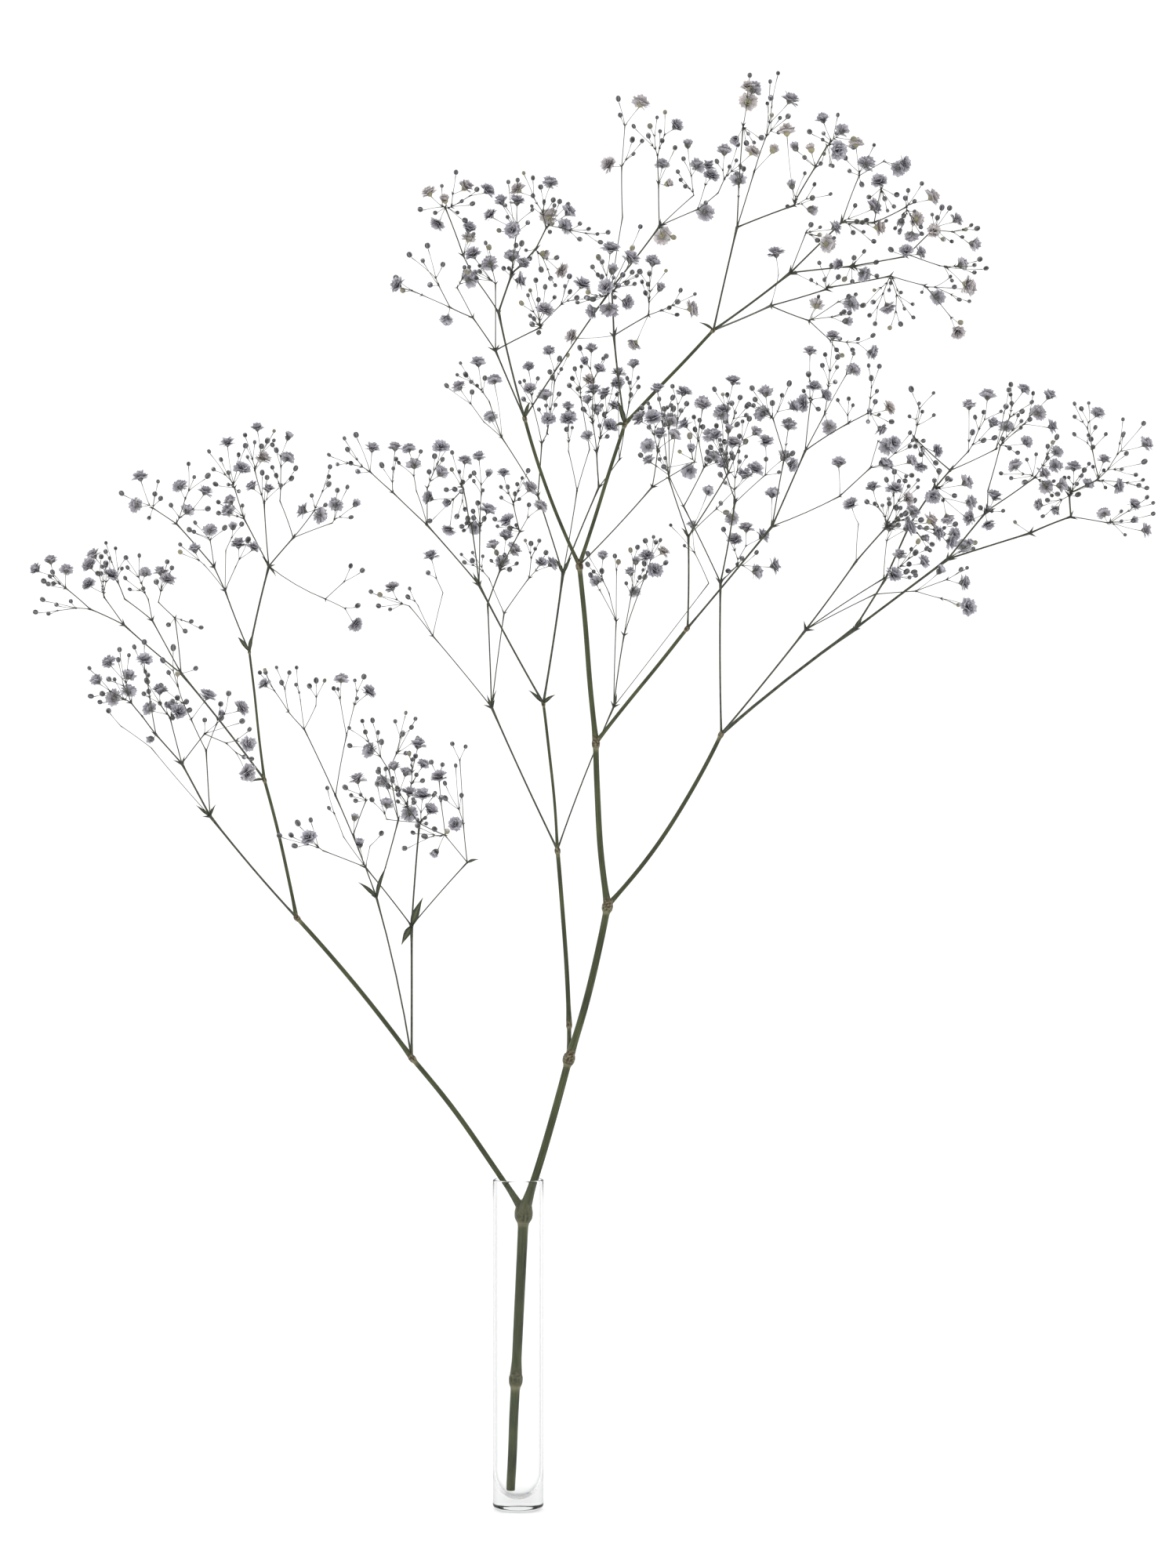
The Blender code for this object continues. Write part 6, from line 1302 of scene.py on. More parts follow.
def add_mix(nodes, links, amount, first, second, blend="MIX"):
    """One colour laid over another. The amount is a number or a link, and so is each colour."""
    mix = nodes.new("ShaderNodeMix")
    mix.data_type = "RGBA"
    mix.blend_type = blend
    if isinstance(amount, float):
        mix.inputs[0].default_value = amount
    else:
        links.new(amount, mix.inputs[0])
    for socket, colour in ((mix.inputs[6], first), (mix.inputs[7], second)):
        if isinstance(colour, tuple):
            socket.default_value = (*colour, 1)
        else:
            links.new(colour, socket)
    return mix.outputs[2]


def add_attribute(nodes, name):
    """The number that mark_all or mark_each gave to the corners of a piece."""
    attribute = nodes.new("ShaderNodeAttribute")
    attribute.attribute_name = name
    return attribute.outputs["Fac"]


def add_relief(nodes, links, shader, height, distance, strength):
    bump = nodes.new("ShaderNodeBump")
    bump.inputs["Distance"].default_value = distance
    bump.inputs["Strength"].default_value = strength
    links.new(height, bump.inputs["Height"])
    links.new(bump.outputs["Normal"], shader.inputs["Normal"])


def stem_finish():
    """Olive skin with fibres that run up the stem, brown and pale at the knots."""
    material, nodes, links, shader = new_finish("stem_skin", roughness=0.42)
    fibre_map = nodes.new("ShaderNodeUVMap")
    fibre_stretch = nodes.new("ShaderNodeMapping")
    fibre_stretch.inputs["Scale"].default_value = (6, 26, 1)
    fibres = nodes.new("ShaderNodeTexNoise")
    fibres.inputs["Scale"].default_value = 1.0
    fibres.inputs["Detail"].default_value = 4
    links.new(fibre_map.outputs["UV"], fibre_stretch.inputs["Vector"])
    links.new(fibre_stretch.outputs["Vector"], fibres.inputs["Vector"])
    skin = add_ramp(nodes, links, fibres.outputs["Fac"], (
        (0.30, STEM_DARK), (0.68, STEM_PALE), (0.48, STEM_MIDDLE),
    ))
    blotches = add_noise(nodes, links, scale=60, detail=3)
    shade = add_ramp(nodes, links, blotches.outputs["Fac"], STEM_BLOTCHES)
    shaded = add_mix(nodes, links, 1.0, skin.outputs["Color"], shade.outputs["Color"], "MULTIPLY")
    knot = add_attribute(nodes, "knot")
    specks = add_noise(nodes, links, scale=900, detail=3)
    knot_skin = add_ramp(nodes, links, specks.outputs["Fac"], (
        (0.42, KNOT_BROWN), (0.68, RING_PALE), (0.58, KNOT_RED),
    ))
    ring = add_attribute(nodes, "ring")
    swollen = add_mix(nodes, links, knot, shaded, knot_skin.outputs["Color"])
    links.new(add_mix(nodes, links, ring, swollen, RING_PALE), shader.inputs["Base Color"])
    shader.inputs["Specular IOR Level"].default_value = 0.3
    add_relief(nodes, links, shader, fibres.outputs["Fac"], distance=0.08 * MM, strength=0.6)
    return material


def cut_finish():
    """The cut face: a brown pith with fine rings of pores."""
    material, nodes, links, shader = new_finish("cut_face", roughness=0.7)
    pores = add_noise(nodes, links, scale=2600, detail=2)
    ramp = add_ramp(nodes, links, pores.outputs["Fac"], ((0.35, CUT_BROWN), (0.7, CUT_PALE)))
    links.new(ramp.outputs["Color"], shader.inputs["Base Color"])
    add_relief(nodes, links, shader, pores.outputs["Fac"], distance=0.1 * MM, strength=0.8)
    return material


def twig_finish(name, dark, pale):
    """The skin of the twigs: fine streaks between a dark and a pale tone."""
    material, nodes, links, shader = new_finish(name, roughness=0.5)
    streaks = add_noise(nodes, links, scale=420, detail=3)
    ramp = add_ramp(nodes, links, streaks.outputs["Fac"], ((0.36, dark), (0.66, pale)))
    links.new(ramp.outputs["Color"], shader.inputs["Base Color"])
    add_relief(nodes, links, shader, streaks.outputs["Fac"], distance=0.03 * MM, strength=0.5)
    return material


def leaf_finish():
    material, nodes, links, shader = new_finish("leaf_green", roughness=0.55)
    midrib = add_attribute(nodes, "midrib")
    mottle = add_noise(nodes, links, scale=700, detail=3)
    skin = add_ramp(nodes, links, mottle.outputs["Fac"], ((0.35, LEAF_DARK), (0.70, LEAF_PALE)))
    links.new(add_mix(nodes, links, midrib, skin.outputs["Color"], STEM_PALE), shader.inputs["Base Color"])
    add_relief(nodes, links, shader, mottle.outputs["Fac"], distance=0.05 * MM, strength=0.6)
    return material


def petal_finish():
    """Dyed lilac grey petals, some of them cream, with painted shade darkening them towards the heart and
    painted light paling their thin ragged tips.
    """
    material, nodes, links, shader = new_finish("dyed_petals_painted_shade", roughness=0.75)
    reach = add_attribute(nodes, "reach")
    tint = add_attribute(nodes, "tint")
    dye = add_noise(nodes, links, scale=500, detail=3)
    # The run from foot to tip paints shade in the heart and light at the thin tips, over the dye's own tones.
    lilac = add_ramp(nodes, links, reach, (
        (0.0, HEART_PAINTED_SHADE), (1.0, PETAL_TIP_WITH_PAINTED_LIGHT), (0.35, PETAL_PAINTED_SHADE), (0.72, PETAL_MIDDLE),
    ))
    cream = add_ramp(nodes, links, reach, ((0.0, CREAM_HEART_PAINTED_SHADE), (1.0, CREAM_TIP_WITH_PAINTED_LIGHT), (0.4, CREAM_PAINTED_SHADE)))
    mixed = add_mix(nodes, links, tint, lilac.outputs["Color"], cream.outputs["Color"])
    streaks = add_ramp(nodes, links, dye.outputs["Fac"], PETAL_STREAKS)
    streaked = add_mix(nodes, links, 1.0, mixed, streaks.outputs["Color"], "MULTIPLY")
    links.new(streaked, shader.inputs["Base Color"])
    shader.inputs["Sheen Weight"].default_value = 0.15
    add_relief(nodes, links, shader, dye.outputs["Fac"], distance=0.1 * MM, strength=0.5)
    return material


def calyx_finish():
    """The calyx of a bud or bloom: dark green ribs with a pale film between them."""
    material, nodes, links, shader = new_finish("calyx_ribs", roughness=0.6)
    rib = add_attribute(nodes, "rib")
    tint = add_attribute(nodes, "tint")
    grain = add_noise(nodes, links, scale=1400, detail=2)
    skin = add_mix(nodes, links, rib, CALYX_FILM, CALYX_RIB)
    yellow = add_mix(nodes, links, tint, skin, YOUNG_BUD)
    shade = add_ramp(nodes, links, grain.outputs["Fac"], CALYX_GRAIN)
    shaded = add_mix(nodes, links, 1.0, yellow, shade.outputs["Color"], "MULTIPLY")
    links.new(shaded, shader.inputs["Base Color"])
    add_relief(nodes, links, shader, grain.outputs["Fac"], distance=0.05 * MM, strength=0.4)
    return material


def glass_finish():
    """Clear glass, a little grey where it is thick, with painted shade greying it where it is seen edge on.
    """
    material, nodes, links, shader = new_finish("clear_glass_wall", roughness=0.0)
    # The facing ramp paints shade on the glass where it is seen edge on.
    facing = nodes.new("ShaderNodeLayerWeight")
    facing.inputs["Blend"].default_value = 0.5
    edge = add_ramp(nodes, links, facing.outputs["Facing"], ((0.38, GLASS_CLEAR), (0.9, GLASS_EDGE_PAINTED_SHADE)))
    links.new(edge.outputs["Color"], shader.inputs["Base Color"])
    shader.inputs["Transmission Weight"].default_value = 1.0
    shader.inputs["IOR"].default_value = GLASS_IOR
    grey = nodes.new("ShaderNodeVolumeAbsorption")
    grey.inputs["Color"].default_value = GLASS_GREY
    grey.inputs["Density"].default_value = GLASS_DENSITY
    links.new(grey.outputs["Volume"], nodes["Material Output"].inputs["Volume"])
    waves = add_noise(nodes, links, scale=40, detail=1)
    add_relief(nodes, links, shader, waves.outputs["Fac"], distance=0.02 * MM, strength=0.25)
    return material


# The glass tube

def extrude_ring(up, radius, last_radius, centre_height):
    """Draws the chosen disc up to a new height, and widens or narrows it."""
    bpy.ops.mesh.extrude_region_move(TRANSFORM_OT_translate={"value": (0, 0, up)})
    share = radius / last_radius
    bpy.ops.transform.resize(value=(share, share, 1), center_override=(0, 0, centre_height))


def tube_outline():
    """The wall's section as (radius, height): up the outside, over the rim, down inside into the bowl."""
    outer, inner = TUBE_DIAMETER / 2, TUBE_DIAMETER / 2 - TUBE_WALL
    lip = TUBE_WALL / 2
    rim = TUBE_HEIGHT - lip
    bowl = TUBE_FOOT + BOWL_DEPTH
    outline = []
    for step in range(HEEL_STEPS + 1):
        angle = math.radians(-90 + 90 / HEEL_STEPS * step)
        outline.append((
            outer - HEEL_RADIUS + HEEL_RADIUS * math.cos(angle),
            HEEL_RADIUS + HEEL_RADIUS * math.sin(angle),
        ))
    for step in range(1, WALL_STEPS):
        outline.append((outer, HEEL_RADIUS + (TUBE_HEIGHT - HEEL_RADIUS - lip) * step / WALL_STEPS))
    for step in range(RIM_STEPS + 1):
        angle = math.radians(180 / RIM_STEPS * step)
        outline.append((outer - lip + lip * math.cos(angle), rim + lip * math.sin(angle)))
    for step in range(1, WALL_STEPS):
        outline.append((inner, rim - (rim - bowl) * step / WALL_STEPS))
    for step in range(BOWL_STEPS):
        angle = math.radians(-90 / BOWL_STEPS * step)
        outline.append((inner * math.cos(angle), bowl + BOWL_DEPTH * math.sin(angle)))
    return outline


def make_glass(finish):
    """The tube, drawn up from a disc ring by ring. It casts no shadow on the stem inside it."""
    outline = tube_outline()
    clear_selection()
    radius, height = outline[0]
    bpy.ops.mesh.primitive_circle_add(
        vertices=TUBE_SIDES, radius=radius, fill_type="NGON", location=(0, 0, height),
    )
    glass = start_piece("glass_wall")
    bpy.ops.mesh.select_all(action="SELECT")
    for (last_radius, last_height), (radius, height) in zip(outline, outline[1:]):
        extrude_ring(height - last_height, radius, last_radius, height)
    bpy.ops.mesh.poke()
    bpy.ops.mesh.select_all(action="SELECT")
    bpy.ops.mesh.normals_make_consistent(inside=False)
    bpy.ops.object.mode_set(mode="OBJECT")
    smooth(glass, degrees=60)
    glass.data.materials.append(finish)
    glass.visible_shadow = False
    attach(glass, "root")
    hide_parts("glass_tube")


# Rods: the stem and the twigs

def start_rods(name, resolution):
    """An empty set of round rods, which add_rod fills and finish_rods turns into a mesh."""
    clear_selection()
    bpy.ops.curve.primitive_nurbs_path_add(location=(0, 0, 0))
    rods = bpy.context.object
    rods.name = name
    rods.data.splines.clear()
    rods.data.bevel_depth = 1.0
    rods.data.bevel_resolution = resolution
    rods.data.use_fill_caps = True
    return rods


def add_rod(rods, points, radii, finish_number):
    """One rod along a line of points, with its radius at each."""
    line = rods.data.splines.new("POLY")
    line.points.add(len(points) - 1)
    for point, place, radius in zip(line.points, points, radii):
        point.co = (*place, 1)
        point.radius = radius
    line.material_index = finish_number
    line.use_smooth = True


def finish_rods(rods, finishes):
    """Turns the rods into a mesh with closed ends and the given finishes."""
    for finish in finishes:
        rods.data.materials.append(finish)
    clear_selection()
    rods.select_set(True)
    bpy.context.view_layer.objects.active = rods
    bpy.ops.object.convert(target="MESH")
    bpy.ops.object.mode_set(mode="EDIT")
    bpy.ops.mesh.select_all(action="SELECT")
    bpy.ops.mesh.remove_doubles(threshold=0.001 * MM)
    bpy.ops.object.mode_set(mode="OBJECT")
    smooth(rods, degrees=70)
    return rods


def along_line(points, share):
    """The point a share of the way along a line of points."""
    lengths = [(end - start).length for start, end in zip(points, points[1:])]
    distance = share * sum(lengths)
    for start, end, length in zip(points, points[1:], lengths):
        if distance <= length:
            return start.lerp(end, distance / length)
        distance -= length
    return points[-1]


def collar_length(knot):
    """How far the swollen collar of a knot reaches down the stem."""
    return STRETCHES[knot][1] * MM * COLLAR_SHARE


def smooth_stretch(knot):
    """Closely set points up a stretch of the stem, on its bow, with how far along each one is."""
    start, end = knot_place(KNOTS[knot][0]), knot_place(knot)
    right, up = BOWS.get(knot, (0, 0))
    bow = Vector((right * GRID, 0, up * GRID))
    length = (end - start).length
    count = max(LEAST_STATIONS, int(length / STATION_STEP))
    rng = random.Random("stretch " + knot)
    sway = Vector((rng.uniform(-1, 1), rng.uniform(-1, 1), 0)) * length * STEM_SWAY
    collar = collar_length(knot)
    stations = [length * step / count for step in range(count + 1)]
    stations = [station for station in stations if station < length - LAST_STATION * collar]
    stations += [length - collar * share for share in COLLAR_STATIONS]
    points = []
    for distance in stations:
        t = distance / length
        wave = sway * math.sin(math.tau * t) * 4 * t * (1 - t)
        points.append((distance, start.lerp(end, t) + bow * (4 * t * (1 - t)) + wave))
    return points, length


def add_stretch(rods, knot):
    """A stretch of the stem up to its knot: flared at its foot, swollen in the collar, rounded on top."""
    lower, upper = (diameter * MM / 2 for diameter in STRETCHES[knot])
    below = KNOTS[knot][0]
    swell = FORK_SWELLING.get(knot, KNOT_SWELLING)
    points, length = smooth_stretch(knot)
    flare, reach = FORK_FLARES.get(below, (LIMB_FLARE, LIMB_FLARE_REACH))
    if KNOTS[below][0] is None:
        flare = 0.0
    collar = collar_length(knot)
    line, radii = [], []
    for distance, place in points:
        radius = lower + (upper - lower) * distance / length
        rise = 1 / (1 + math.exp((length - distance - collar) / (COLLAR_EDGE * collar)))
        foot = math.exp(-(distance / reach) ** 2)
        line.append(place)
        radii.append(radius * (1 + (swell - 1) * rise + flare * foot))
    onward = (line[-1] - line[-3]).normalized()
    top = upper * swell
    for share, narrow in CROWN_STEPS:
        line.append(points[-1][1] + onward * top * share * FORK_CROWNS.get(knot, 1.0))
        radii.append(top * narrow)
    add_rod(rods, line, radii, 0)


def nearness_to_knots(place):
    """One at a knot of the stem and in its collar, less at a greener knot, and nothing some way off."""
    best = 0.0
    for knot, (_, upper) in STRETCHES.items():
        reach = max(upper * MM * KNOT_REACH, LEAST_KNOT_REACH)
        away = (place - knot_place(knot)).length
        best = max(best, GREEN_KNOTS.get(knot, 1.0) * math.exp(-(away / reach) ** 4))
    return best


def nearness_to_rings(place):
    """One in the pale scaly ring just below a knot's collar, and nothing elsewhere."""
    best = 0.0
    for knot, (_, upper) in STRETCHES.items():
        top = knot_place(knot)
        ring = top + (knot_place(KNOTS[knot][0]) - top).normalized() * collar_length(knot) * RING_DROP
        away = (place - ring).length
        best = max(best, math.exp(-(away / (upper * MM * RING_REACH)) ** 6))
    return best


def make_stem(skin, cut, leaf_model):
    """The stem with its limbs and the leaves on them, brown on the face where it was cut."""
    rods = start_rods("stem_rods", resolution=6)
    for knot in STRETCHES:
        add_stretch(rods, knot)
    rods = finish_rods(rods, [skin, cut])
    mark_each(rods, "knot", nearness_to_knots)
    mark_each(rods, "ring", nearness_to_rings)
    foot = min(vert.co.z for vert in rods.data.vertices)
    for face in rods.data.polygons:
        if face.center.z < foot + CUT_DEPTH and face.normal.z < -0.9:
            face.material_index = 1
    leaves = [add_leaf(leaf, leaf_model) for leaf in LEAVES if spray_of(leaf[0]) is None]
    stem = join_pieces("stem_and_limbs", [rods] + leaves)
    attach(stem, "root")
    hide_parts("main_stem")


# Leaves and scales

def model_leaf(finish):
    """A lance-shaped blade one unit long on +Y, folded a little along its midrib."""
    clear_selection()
    rows = len(LEAF_WIDTHS) - 1
    bpy.ops.mesh.primitive_grid_add(x_subdivisions=4, y_subdivisions=rows, size=1, location=(0, 0.5, 0))
    leaf = start_piece("leaf")
    for row, width in enumerate(LEAF_WIDTHS):
        along = row / rows
        pick(leaf, lambda place: abs(place.y - along) < 0.01)
        bpy.ops.transform.resize(value=(width, 1, 1), center_override=(0, along, 0))
        arch = LEAF_ARCH * 4 * along * (1 - along)
        bpy.ops.transform.translate(value=(0, 0, arch))
    pick(leaf, lambda place: abs(place.x) < 0.02)
    bpy.ops.transform.translate(value=(0, 0, -LEAF_FOLD))
    bpy.ops.object.mode_set(mode="OBJECT")
    mark_each(leaf, "midrib", lambda place: max(0.0, 1 - abs(place.x) * 9))
    leaf.data.materials.append(finish)
    return leaf


def leaf_place(base, along, normal, length, width):
    """The matrix that sets a unit leaf from its base along a direction, with its face to the normal."""
    along = along.normalized()
    normal = (normal - along * normal.dot(along)).normalized()
    across = along.cross(normal)
    axes = Matrix((across * width, along * length, normal * length)).transposed().to_4x4()
    return Matrix.Translation(base) @ axes


def add_leaf(leaf, model):
    """A blade from its knot to its tip, given a thickness and rounded."""
    knot, column, row, forward, width = leaf
    base = knot_place(knot)
    tip = seen(column, row, KNOTS[knot][3] - forward)
    normal = (base - knot_place(KNOTS[knot][0])).normalized() * LEAF_LIFT - Vector((0, 1, 0))
    blade = copy_of(model, leaf_place(base, tip - base, normal, (tip - base).length, width))
    clear_selection()
    blade.select_set(True)
    bpy.context.view_layer.objects.active = blade
    bpy.ops.object.transform_apply(location=True, rotation=True, scale=True)
    wall = blade.modifiers.new("wall", "SOLIDIFY")
    wall.thickness = LEAF_THICKNESS
    wall.offset = 0
    rounding = blade.modifiers.new("rounding", "SUBSURF")
    rounding.levels = rounding.render_levels = 1
    bpy.ops.object.modifier_apply(modifier=wall.name)
    bpy.ops.object.modifier_apply(modifier=rounding.name)
    bpy.ops.object.shade_smooth()
    return blade


def model_scale(finish):
    """A small pointed scale one unit long on +Y, as sits in pairs under each fork."""
    clear_selection()
    bpy.ops.mesh.primitive_cone_add(vertices=5, radius1=0.5, depth=1, location=(0, 0, 0.5))
    scale = start_piece("scale")
    bpy.ops.mesh.select_all(action="SELECT")
    bpy.ops.object.mode_set(mode="OBJECT")
    scale.rotation_euler = (math.radians(-90), 0, 0)
    bpy.ops.object.transform_apply(location=True, rotation=True, scale=True)
    scale.data.materials.append(finish)
    return scale


# Blooms and buds

def model_petal(finish):
    """A petal one unit long on +X, narrow at its foot and notched at its tip."""
    clear_selection()
    bpy.ops.mesh.primitive_plane_add(size=1, location=(0.5, 0, 0))
    petal = start_piece("petal")
    bpy.ops.mesh.select_all(action="SELECT")
    bpy.ops.mesh.bisect(plane_co=(PETAL_BEND, 0, 0), plane_no=(1, 0, 0))
    pick(petal, lambda place: place.x > 0.9)
    bpy.ops.mesh.subdivide(number_cuts=1)
    pick(petal, lambda place: place.x < 0.1)
    bpy.ops.transform.resize(value=(1, FOOT_WIDTH, 1), center_override=(0, 0, 0))
    pick(petal, lambda place: 0.5 < place.x < 0.7)
    bpy.ops.transform.resize(value=(1, BEND_WIDTH, 1), center_override=(PETAL_BEND, 0, 0))
    bpy.ops.transform.translate(value=(0, 0, BEND_RISE))
    pick(petal, lambda place: place.x > 0.9 and abs(place.y) > 0.3)
    bpy.ops.transform.resize(value=(1, TIP_WIDTH, 1), center_override=(1, 0, 0))
    pick(petal, lambda place: place.x > 0.9 and abs(place.y) < 0.1)
    bpy.ops.transform.translate(value=NOTCH)
    bpy.ops.object.mode_set(mode="OBJECT")
    # reach runs from foot to tip, and the petal finish paints shade at the foot and light at the tip along it
    mark_each(petal, "reach", lambda place: place.x)
    mark_all(petal, "rib", 0.0)
    mark_all(petal, "tint", 0.0)
    petal.data.materials.append(finish)
    return petal


def petal_place(turn, tilt, roll, length, width, foot):
    """The matrix that sets a petal by its turn round the head, its rise, its roll and its size."""
    size = Matrix.Diagonal((length, width, length, 1))
    rolled = Matrix.Rotation(roll, 4, "X")
    raised = Matrix.Rotation(-tilt, 4, "Y")
    turned = Matrix.Rotation(turn, 4, "Z")
    return Matrix.Translation((0, 0, foot)) @ turned @ raised @ rolled @ size


def model_calyx(finish):
    """The cup under a head: ten narrow sides, dark ribs by pale ones, drawn in to the stalk."""
    middle = 0.5 * CALYX_HEIGHT
    clear_selection()
    bpy.ops.mesh.primitive_cone_add(
        vertices=CALYX_SIDES, radius1=CALYX_FOOT, radius2=CALYX_RADIUS, depth=CALYX_HEIGHT,
        end_fill_type="NOTHING", location=(0, 0, middle),
    )
    calyx = start_piece("calyx")
    bpy.ops.mesh.select_all(action="SELECT")
    bpy.ops.mesh.bisect(plane_co=(0, 0, middle), plane_no=(0, 0, 1))
    pick(calyx, lambda place: 0.3 * CALYX_HEIGHT < place.z < 0.7 * CALYX_HEIGHT)
    bpy.ops.transform.resize(value=(CALYX_BELLY, CALYX_BELLY, 1), center_override=(0, 0, middle))
    bpy.ops.object.mode_set(mode="OBJECT")
    mark_each(calyx, "rib", rib_share)
    mark_all(calyx, "reach", 0.2)
    mark_all(calyx, "tint", 0.0)
    calyx.data.materials.append(finish)
    return calyx


def rib_share(place):
    """One on the five ribs of a calyx, and nothing between them."""
    sector = math.atan2(place.y, place.x) / math.tau * CALYX_SIDES
    return 1.0 if round(sector) % 2 == 0 else 0.0


def model_bloom(name, rings, petal, calyx, seed):
    """A double bloom on its calyx, facing +Z, its neck at the origin: ring on ring of ragged petals."""
    rng = random.Random(seed)
    pieces = [copy_of(calyx, Matrix())]
    for count, length, tilt, foot in rings:
        first = rng.uniform(0, math.tau)
        for number in range(count):
            turn = first + (number + rng.uniform(-PETAL_TURN, PETAL_TURN)) * math.tau / count
            rise = math.radians(tilt + rng.uniform(-PETAL_RISE, PETAL_RISE))
            roll = math.radians(rng.uniform(-PETAL_ROLL, PETAL_ROLL))
            long = length * MM * rng.uniform(*PETAL_LENGTHS)
            wide = PETAL_WIDTH * rng.uniform(*PETAL_WIDTHS)
            pieces.append(copy_of(petal, petal_place(turn, rise, roll, long, wide, foot * MM)))
    return join_pieces(name, pieces)


def model_bud(name, petal_skin, rib_skin, long):
    """A closed bud facing +Z, its neck at the origin: a ribbed calyx with the petals' finish on its tip."""
    clear_selection()
    bpy.ops.mesh.primitive_uv_sphere_add(
        segments=CALYX_SIDES, ring_count=5, radius=BUD_DIAMETER / 2, location=(0, 0, BUD_HEIGHT / 2),
    )
    bud = start_piece(name)
    bpy.ops.mesh.select_all(action="SELECT")
    share = BUD_HEIGHT / BUD_DIAMETER * long
    bpy.ops.transform.resize(value=(1, 1, share), center_override=(0, 0, 0))
    pick(bud, lambda place: place.z < 0.15 * BUD_HEIGHT)
    bpy.ops.transform.resize(value=(BUD_NECK, BUD_NECK, 1), center_override=(0, 0, 0))
    bpy.ops.object.mode_set(mode="OBJECT")
    bud.data.materials.append(rib_skin)
    bud.data.materials.append(petal_skin)
    mark_each(bud, "rib", rib_share)
    mark_all(bud, "tint", 0.0)
    top = max(vert.co.z for vert in bud.data.vertices)
    # The bud's tip takes the petals' painted shade and light, paler towards its top.
    mark_each(bud, "reach", lambda place: BUD_REACH + BUD_REACH_GAIN * place.z / top)
    for face in bud.data.polygons:
        face.material_index = 1 if face.center.z > BUD_TIP * top else 0
        face.use_smooth = True
    return bud


def head_place(item, start):
    """Where the neck of a head is, and the matrix that sets the head there, facing out from its stalk."""
    height = (BLOOM_HEIGHT if item["kind"] == "bloom" else BUD_HEIGHT) * item["size"]
    facing = ((item["place"] - start).normalized() + Vector((0, 0, UPWARD_LEAN))).normalized()
    neck = item["place"] - facing * height * NECK_DEPTH
    turned = facing.to_track_quat("Z", "Y").to_matrix().to_4x4() @ Matrix.Rotation(item["turn"], 4, "Z")
    return neck, Matrix.Translation(neck) @ turned @ Matrix.Scale(item["size"], 4)


# Sprays

def bowed(start, end, rng, count, amount):
    """Points along a twig that bows a little to one side."""
    along = end - start
    side = along.orthogonal().normalized()
    side.rotate(Matrix.Rotation(rng.uniform(0, math.tau), 3, along.normalized()))
    bow = side * along.length * amount * rng.uniform(*BOW_SHARES)
    points = []
    for step in range(count + 1):
        t = step / count
        points.append(start.lerp(end, t) + bow * (4 * t * (1 - t)))
    return points


def add_twig(rods, start, end, carried, node, rng):
    """One twig, thickened where it leaves the fork below it and again at its own knot."""
    radius = twig_diameter(carried) / 2
    if node["item"]:
        end, _ = head_place(node["item"], start)
        points = bowed(start, end, rng, len(STALK_SWELL) - 1, STALK_BOW)
        add_rod(rods, points, [radius * share for share in STALK_SWELL], 1)
        return
    count = len(TWIG_SWELL) - 1
    if node.get("knot") in BOWS:
        points = [along_line(stretch_points(node["knot"]), step / count) for step in range(count + 1)]
    else:
        points = bowed(start, end, rng, count, TWIG_BOW)
    add_rod(rods, points, [radius * share for share in TWIG_SWELL], 0 if carried > GREEN_LOAD else 1)


def add_scales(node, start, model, pieces, rng):
    """A pair of pointed scales at each fork, one on either side."""
    if node["item"] or len(node["twigs"]) < 2:
        return
    along = (node["place"] - start).normalized()
    radius = twig_diameter(node["carried"]) / 2
    full = min(1.0, node["carried"] / FULL_LOAD)
    length = (SCALE_LENGTH + SCALE_GAIN * full) * MM * rng.uniform(*SCALE_LENGTHS)
    turn = rng.uniform(0, math.tau)
    for side in (0, math.pi):
        outward = along.orthogonal().normalized()
        outward.rotate(Matrix.Rotation(turn + side, 3, along))
        direction = (along * SCALE_RISE + outward * SCALE_SPREAD).normalized()
        base = node["place"] - along * radius * 0.5
        place = leaf_place(base, direction, along, length, SCALE_WIDTH * radius + LEAST_SCALE_WIDTH)
        flat = Matrix.Diagonal((1, 1, SCALE_FLATNESS, 1))
        pieces.append(copy_of(model, place @ flat))


def draw_tint(rng, share, strong, faint):
    """A strong tint for a share of the heads, and a faint one for the rest."""
    return rng.uniform(*(strong if rng.random() < share else faint))


def make_spray(name, root, models, finishes):
    """All that grows out of one place of the stem, as three pieces: the twigs, the blooms and the buds."""
    rng = random.Random("spray " + name)
    often_cream = name in CREAM_SPRAYS
    foot = knot_place(KNOTS[name][0])
    rods = start_rods("twig_rods", resolution=1)
    add_twig(rods, foot, root["place"], root["carried"], root, rng)
    scales = []
    add_scales(root, foot, models["scale"], scales, rng)
    blooms, buds = [], []
    for start, end, carried, node in twigs_of(root, root["place"]):
        add_twig(rods, start, end, carried, node, rng)
        add_scales(node, start, models["scale"], scales, rng)
        if node["item"] is None:
            continue
        _, place = head_place(node["item"], start)
        if node["item"]["kind"] == "bloom":
            model = models["blooms"][rng.choice(BLOOM_CHOICES)]
            head = copy_of(model, place @ Matrix.Scale(BLOOM_GAIN[often_cream], 4))
            mark_all(head, "tint", draw_tint(rng, BLOOM_CREAM[often_cream], CREAM_TINT, LILAC_TINT))
            blooms.append(head)
        else:
            model = models["buds"][rng.choice(BUD_CHOICES)]
            head = copy_of(model, place)
            mark_all(head, "tint", draw_tint(rng, BUD_CREAM[often_cream], YELLOW_TINT, GREEN_TINT))
            buds.append(head)
    rods = finish_rods(rods, [finishes["green_twig"], finishes["grey_twig"]])
    leaves = [add_leaf(leaf, models["leaf"]) for leaf in LEAVES if spray_of(leaf[0]) == name]
    twigs = join_pieces("twigs_" + name, [rods] + leaves + scales)
    made = [twigs]
    for kind, heads in (("blooms_", blooms), ("buds_", buds)):
        piece = join_pieces(kind + name, heads)
        made.append(piece)
    for piece in made:
        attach(piece, "root")
        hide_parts("spray_" + name)


# The studio

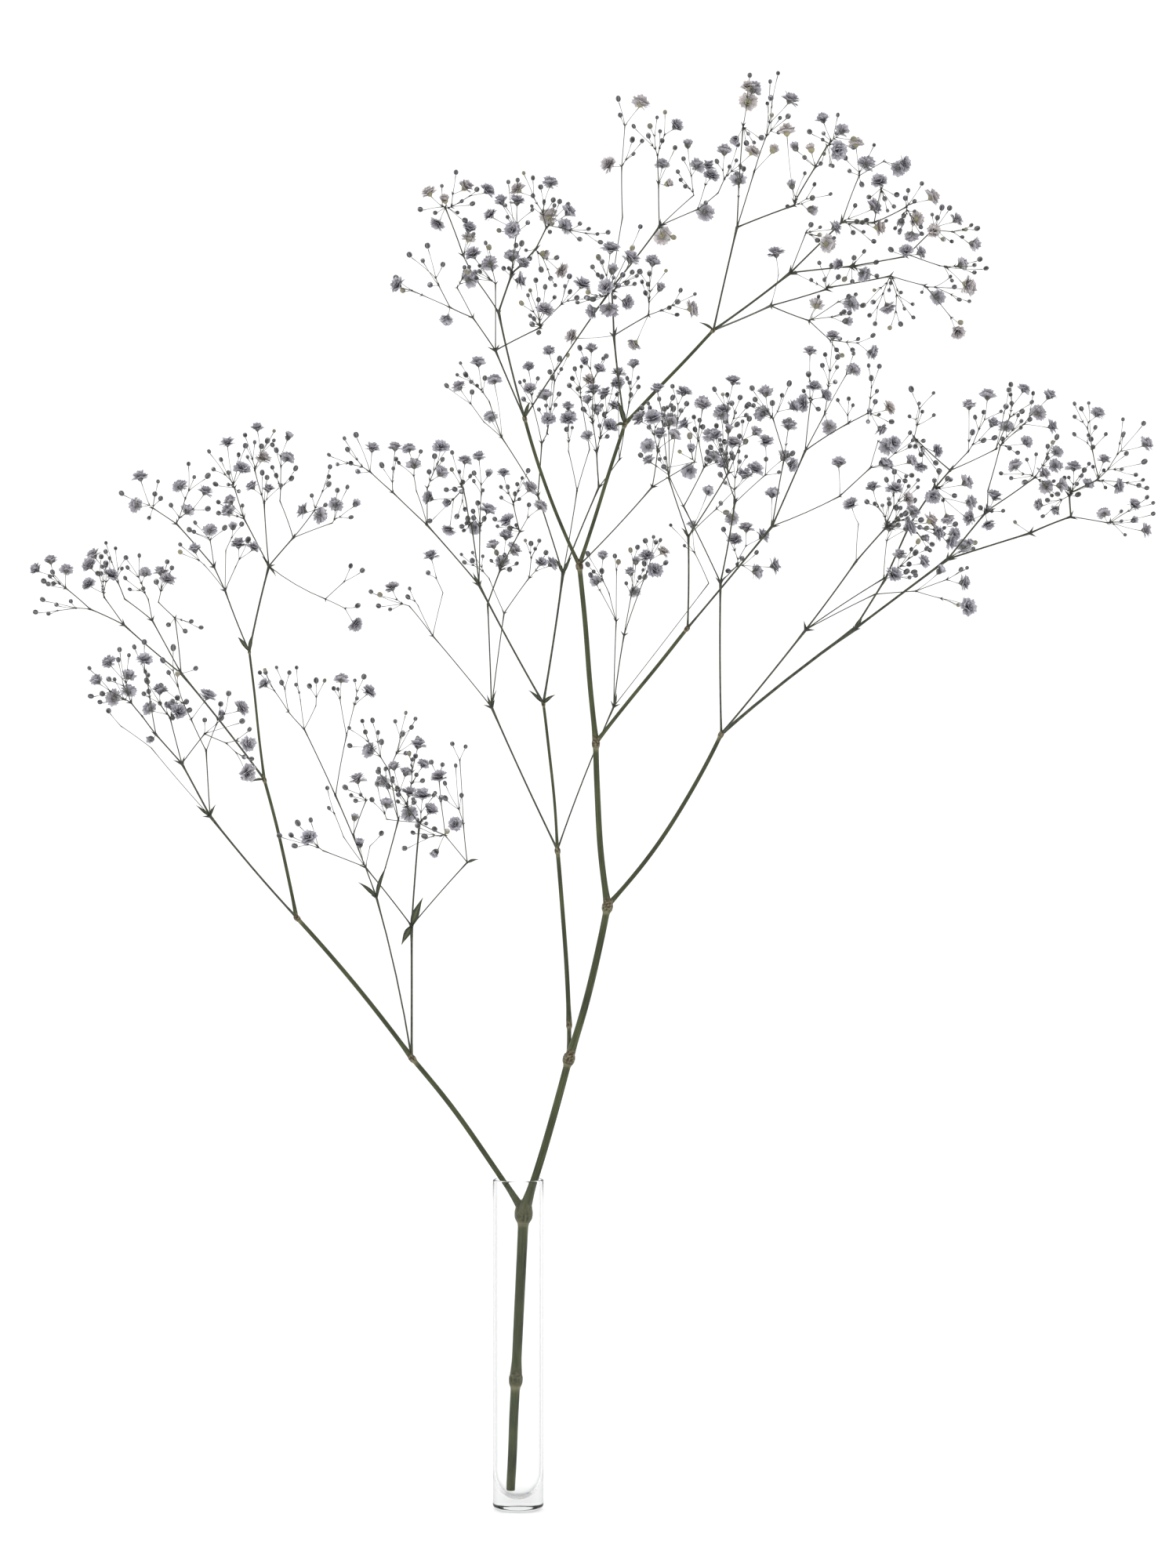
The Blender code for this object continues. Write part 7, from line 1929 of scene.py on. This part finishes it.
def make_studio():
    """A white floor, an even white sky and two soft lights."""
    clear_selection()
    bpy.ops.mesh.primitive_circle_add(
        vertices=64, radius=FLOOR_RADIUS, fill_type="NGON", location=(0, 0, -FLOOR_GAP),
    )
    floor = start_piece("studio_floor")
    bpy.ops.object.mode_set(mode="OBJECT")
    material, nodes, links, shader = new_finish("white_floor", roughness=0.9)
    tone = add_noise(nodes, links, scale=2, detail=1)
    ramp = add_ramp(nodes, links, tone.outputs["Fac"], ((0.3, FLOOR_GREY), (0.7, FLOOR_WHITE)))
    links.new(ramp.outputs["Color"], shader.inputs["Base Color"])
    floor.data.materials.append(material)
    world = bpy.data.worlds.new("white_sky")
    world.use_nodes = True
    sky = world.node_tree.nodes["Background"]
    sky.inputs["Color"].default_value = (1, 1, 1, 1)
    sky.inputs["Strength"].default_value = SKY_STRENGTH
    bpy.context.scene.world = world
    for name, place, width, power in STUDIO_LIGHTS:
        bpy.ops.object.light_add(type="AREA", location=place)
        light = bpy.context.object
        light.name = name
        light.data.shape = "RECTANGLE"
        light.data.size = width
        light.data.size_y = width
        light.data.energy = power
        light.rotation_euler = (LIGHT_AIM - Vector(place)).to_track_quat("-Z", "Y").to_euler()
    bpy.context.scene.view_settings.view_transform = "Standard"
    bpy.context.scene.cycles.max_bounces = GLASS_BOUNCES
    bpy.context.scene.cycles.transmission_bounces = GLASS_BOUNCES
    bpy.context.scene.cycles.glossy_bounces = GLASS_BOUNCES


def make_camera():
    """The front view: level, two metres off, as wide at the tube as the grid's 1500 steps."""
    eye = (
        (EYE_COLUMN - TUBE_COLUMN) * GRID,
        -EYE_DISTANCE,
        (FLOOR_ROW - EYE_ROW) * GRID,
    )
    bpy.ops.object.camera_add(location=eye, rotation=(math.radians(90), 0, 0))
    camera = bpy.context.object
    camera.name = "front_camera"
    camera.data.sensor_fit = "HORIZONTAL"
    camera.data.sensor_width = SENSOR_WIDTH
    camera.data.lens = SENSOR_WIDTH * EYE_DISTANCE / (2 * EYE_COLUMN * GRID)
    bpy.context.scene.camera = camera


def main():
    make_camera()
    make_studio()
    finishes = {
        "stem": stem_finish(),
        "cut": cut_finish(),
        "green_twig": twig_finish("green_twig", STEM_DARK, TWIG_OLIVE),
        "grey_twig": twig_finish("grey_twig", TWIG_DARK, TWIG_PALE),
        "leaf": leaf_finish(),
        "petal": petal_finish(),
        "calyx": calyx_finish(),
    }
    make_glass(glass_finish())
    petal = model_petal(finishes["petal"])
    calyx = model_calyx(finishes["calyx"])
    models = {
        "leaf": model_leaf(finishes["leaf"]),
        "scale": model_scale(finishes["grey_twig"]),
        "blooms": [model_bloom("bloom", rings, petal, calyx, seed) for seed, rings in enumerate(BLOOM_FORMS)],
        "buds": [model_bud("bud", finishes["petal"], finishes["calyx"], long) for long in BUD_LENGTHS],
    }
    make_stem(finishes["stem"], finishes["cut"], models["leaf"])
    for name, root in grow_all().items():
        make_spray(name, root, models, finishes)
    for model in [petal, calyx, models["leaf"], models["scale"]] + models["blooms"] + models["buds"]:
        bpy.data.objects.remove(model)


main()
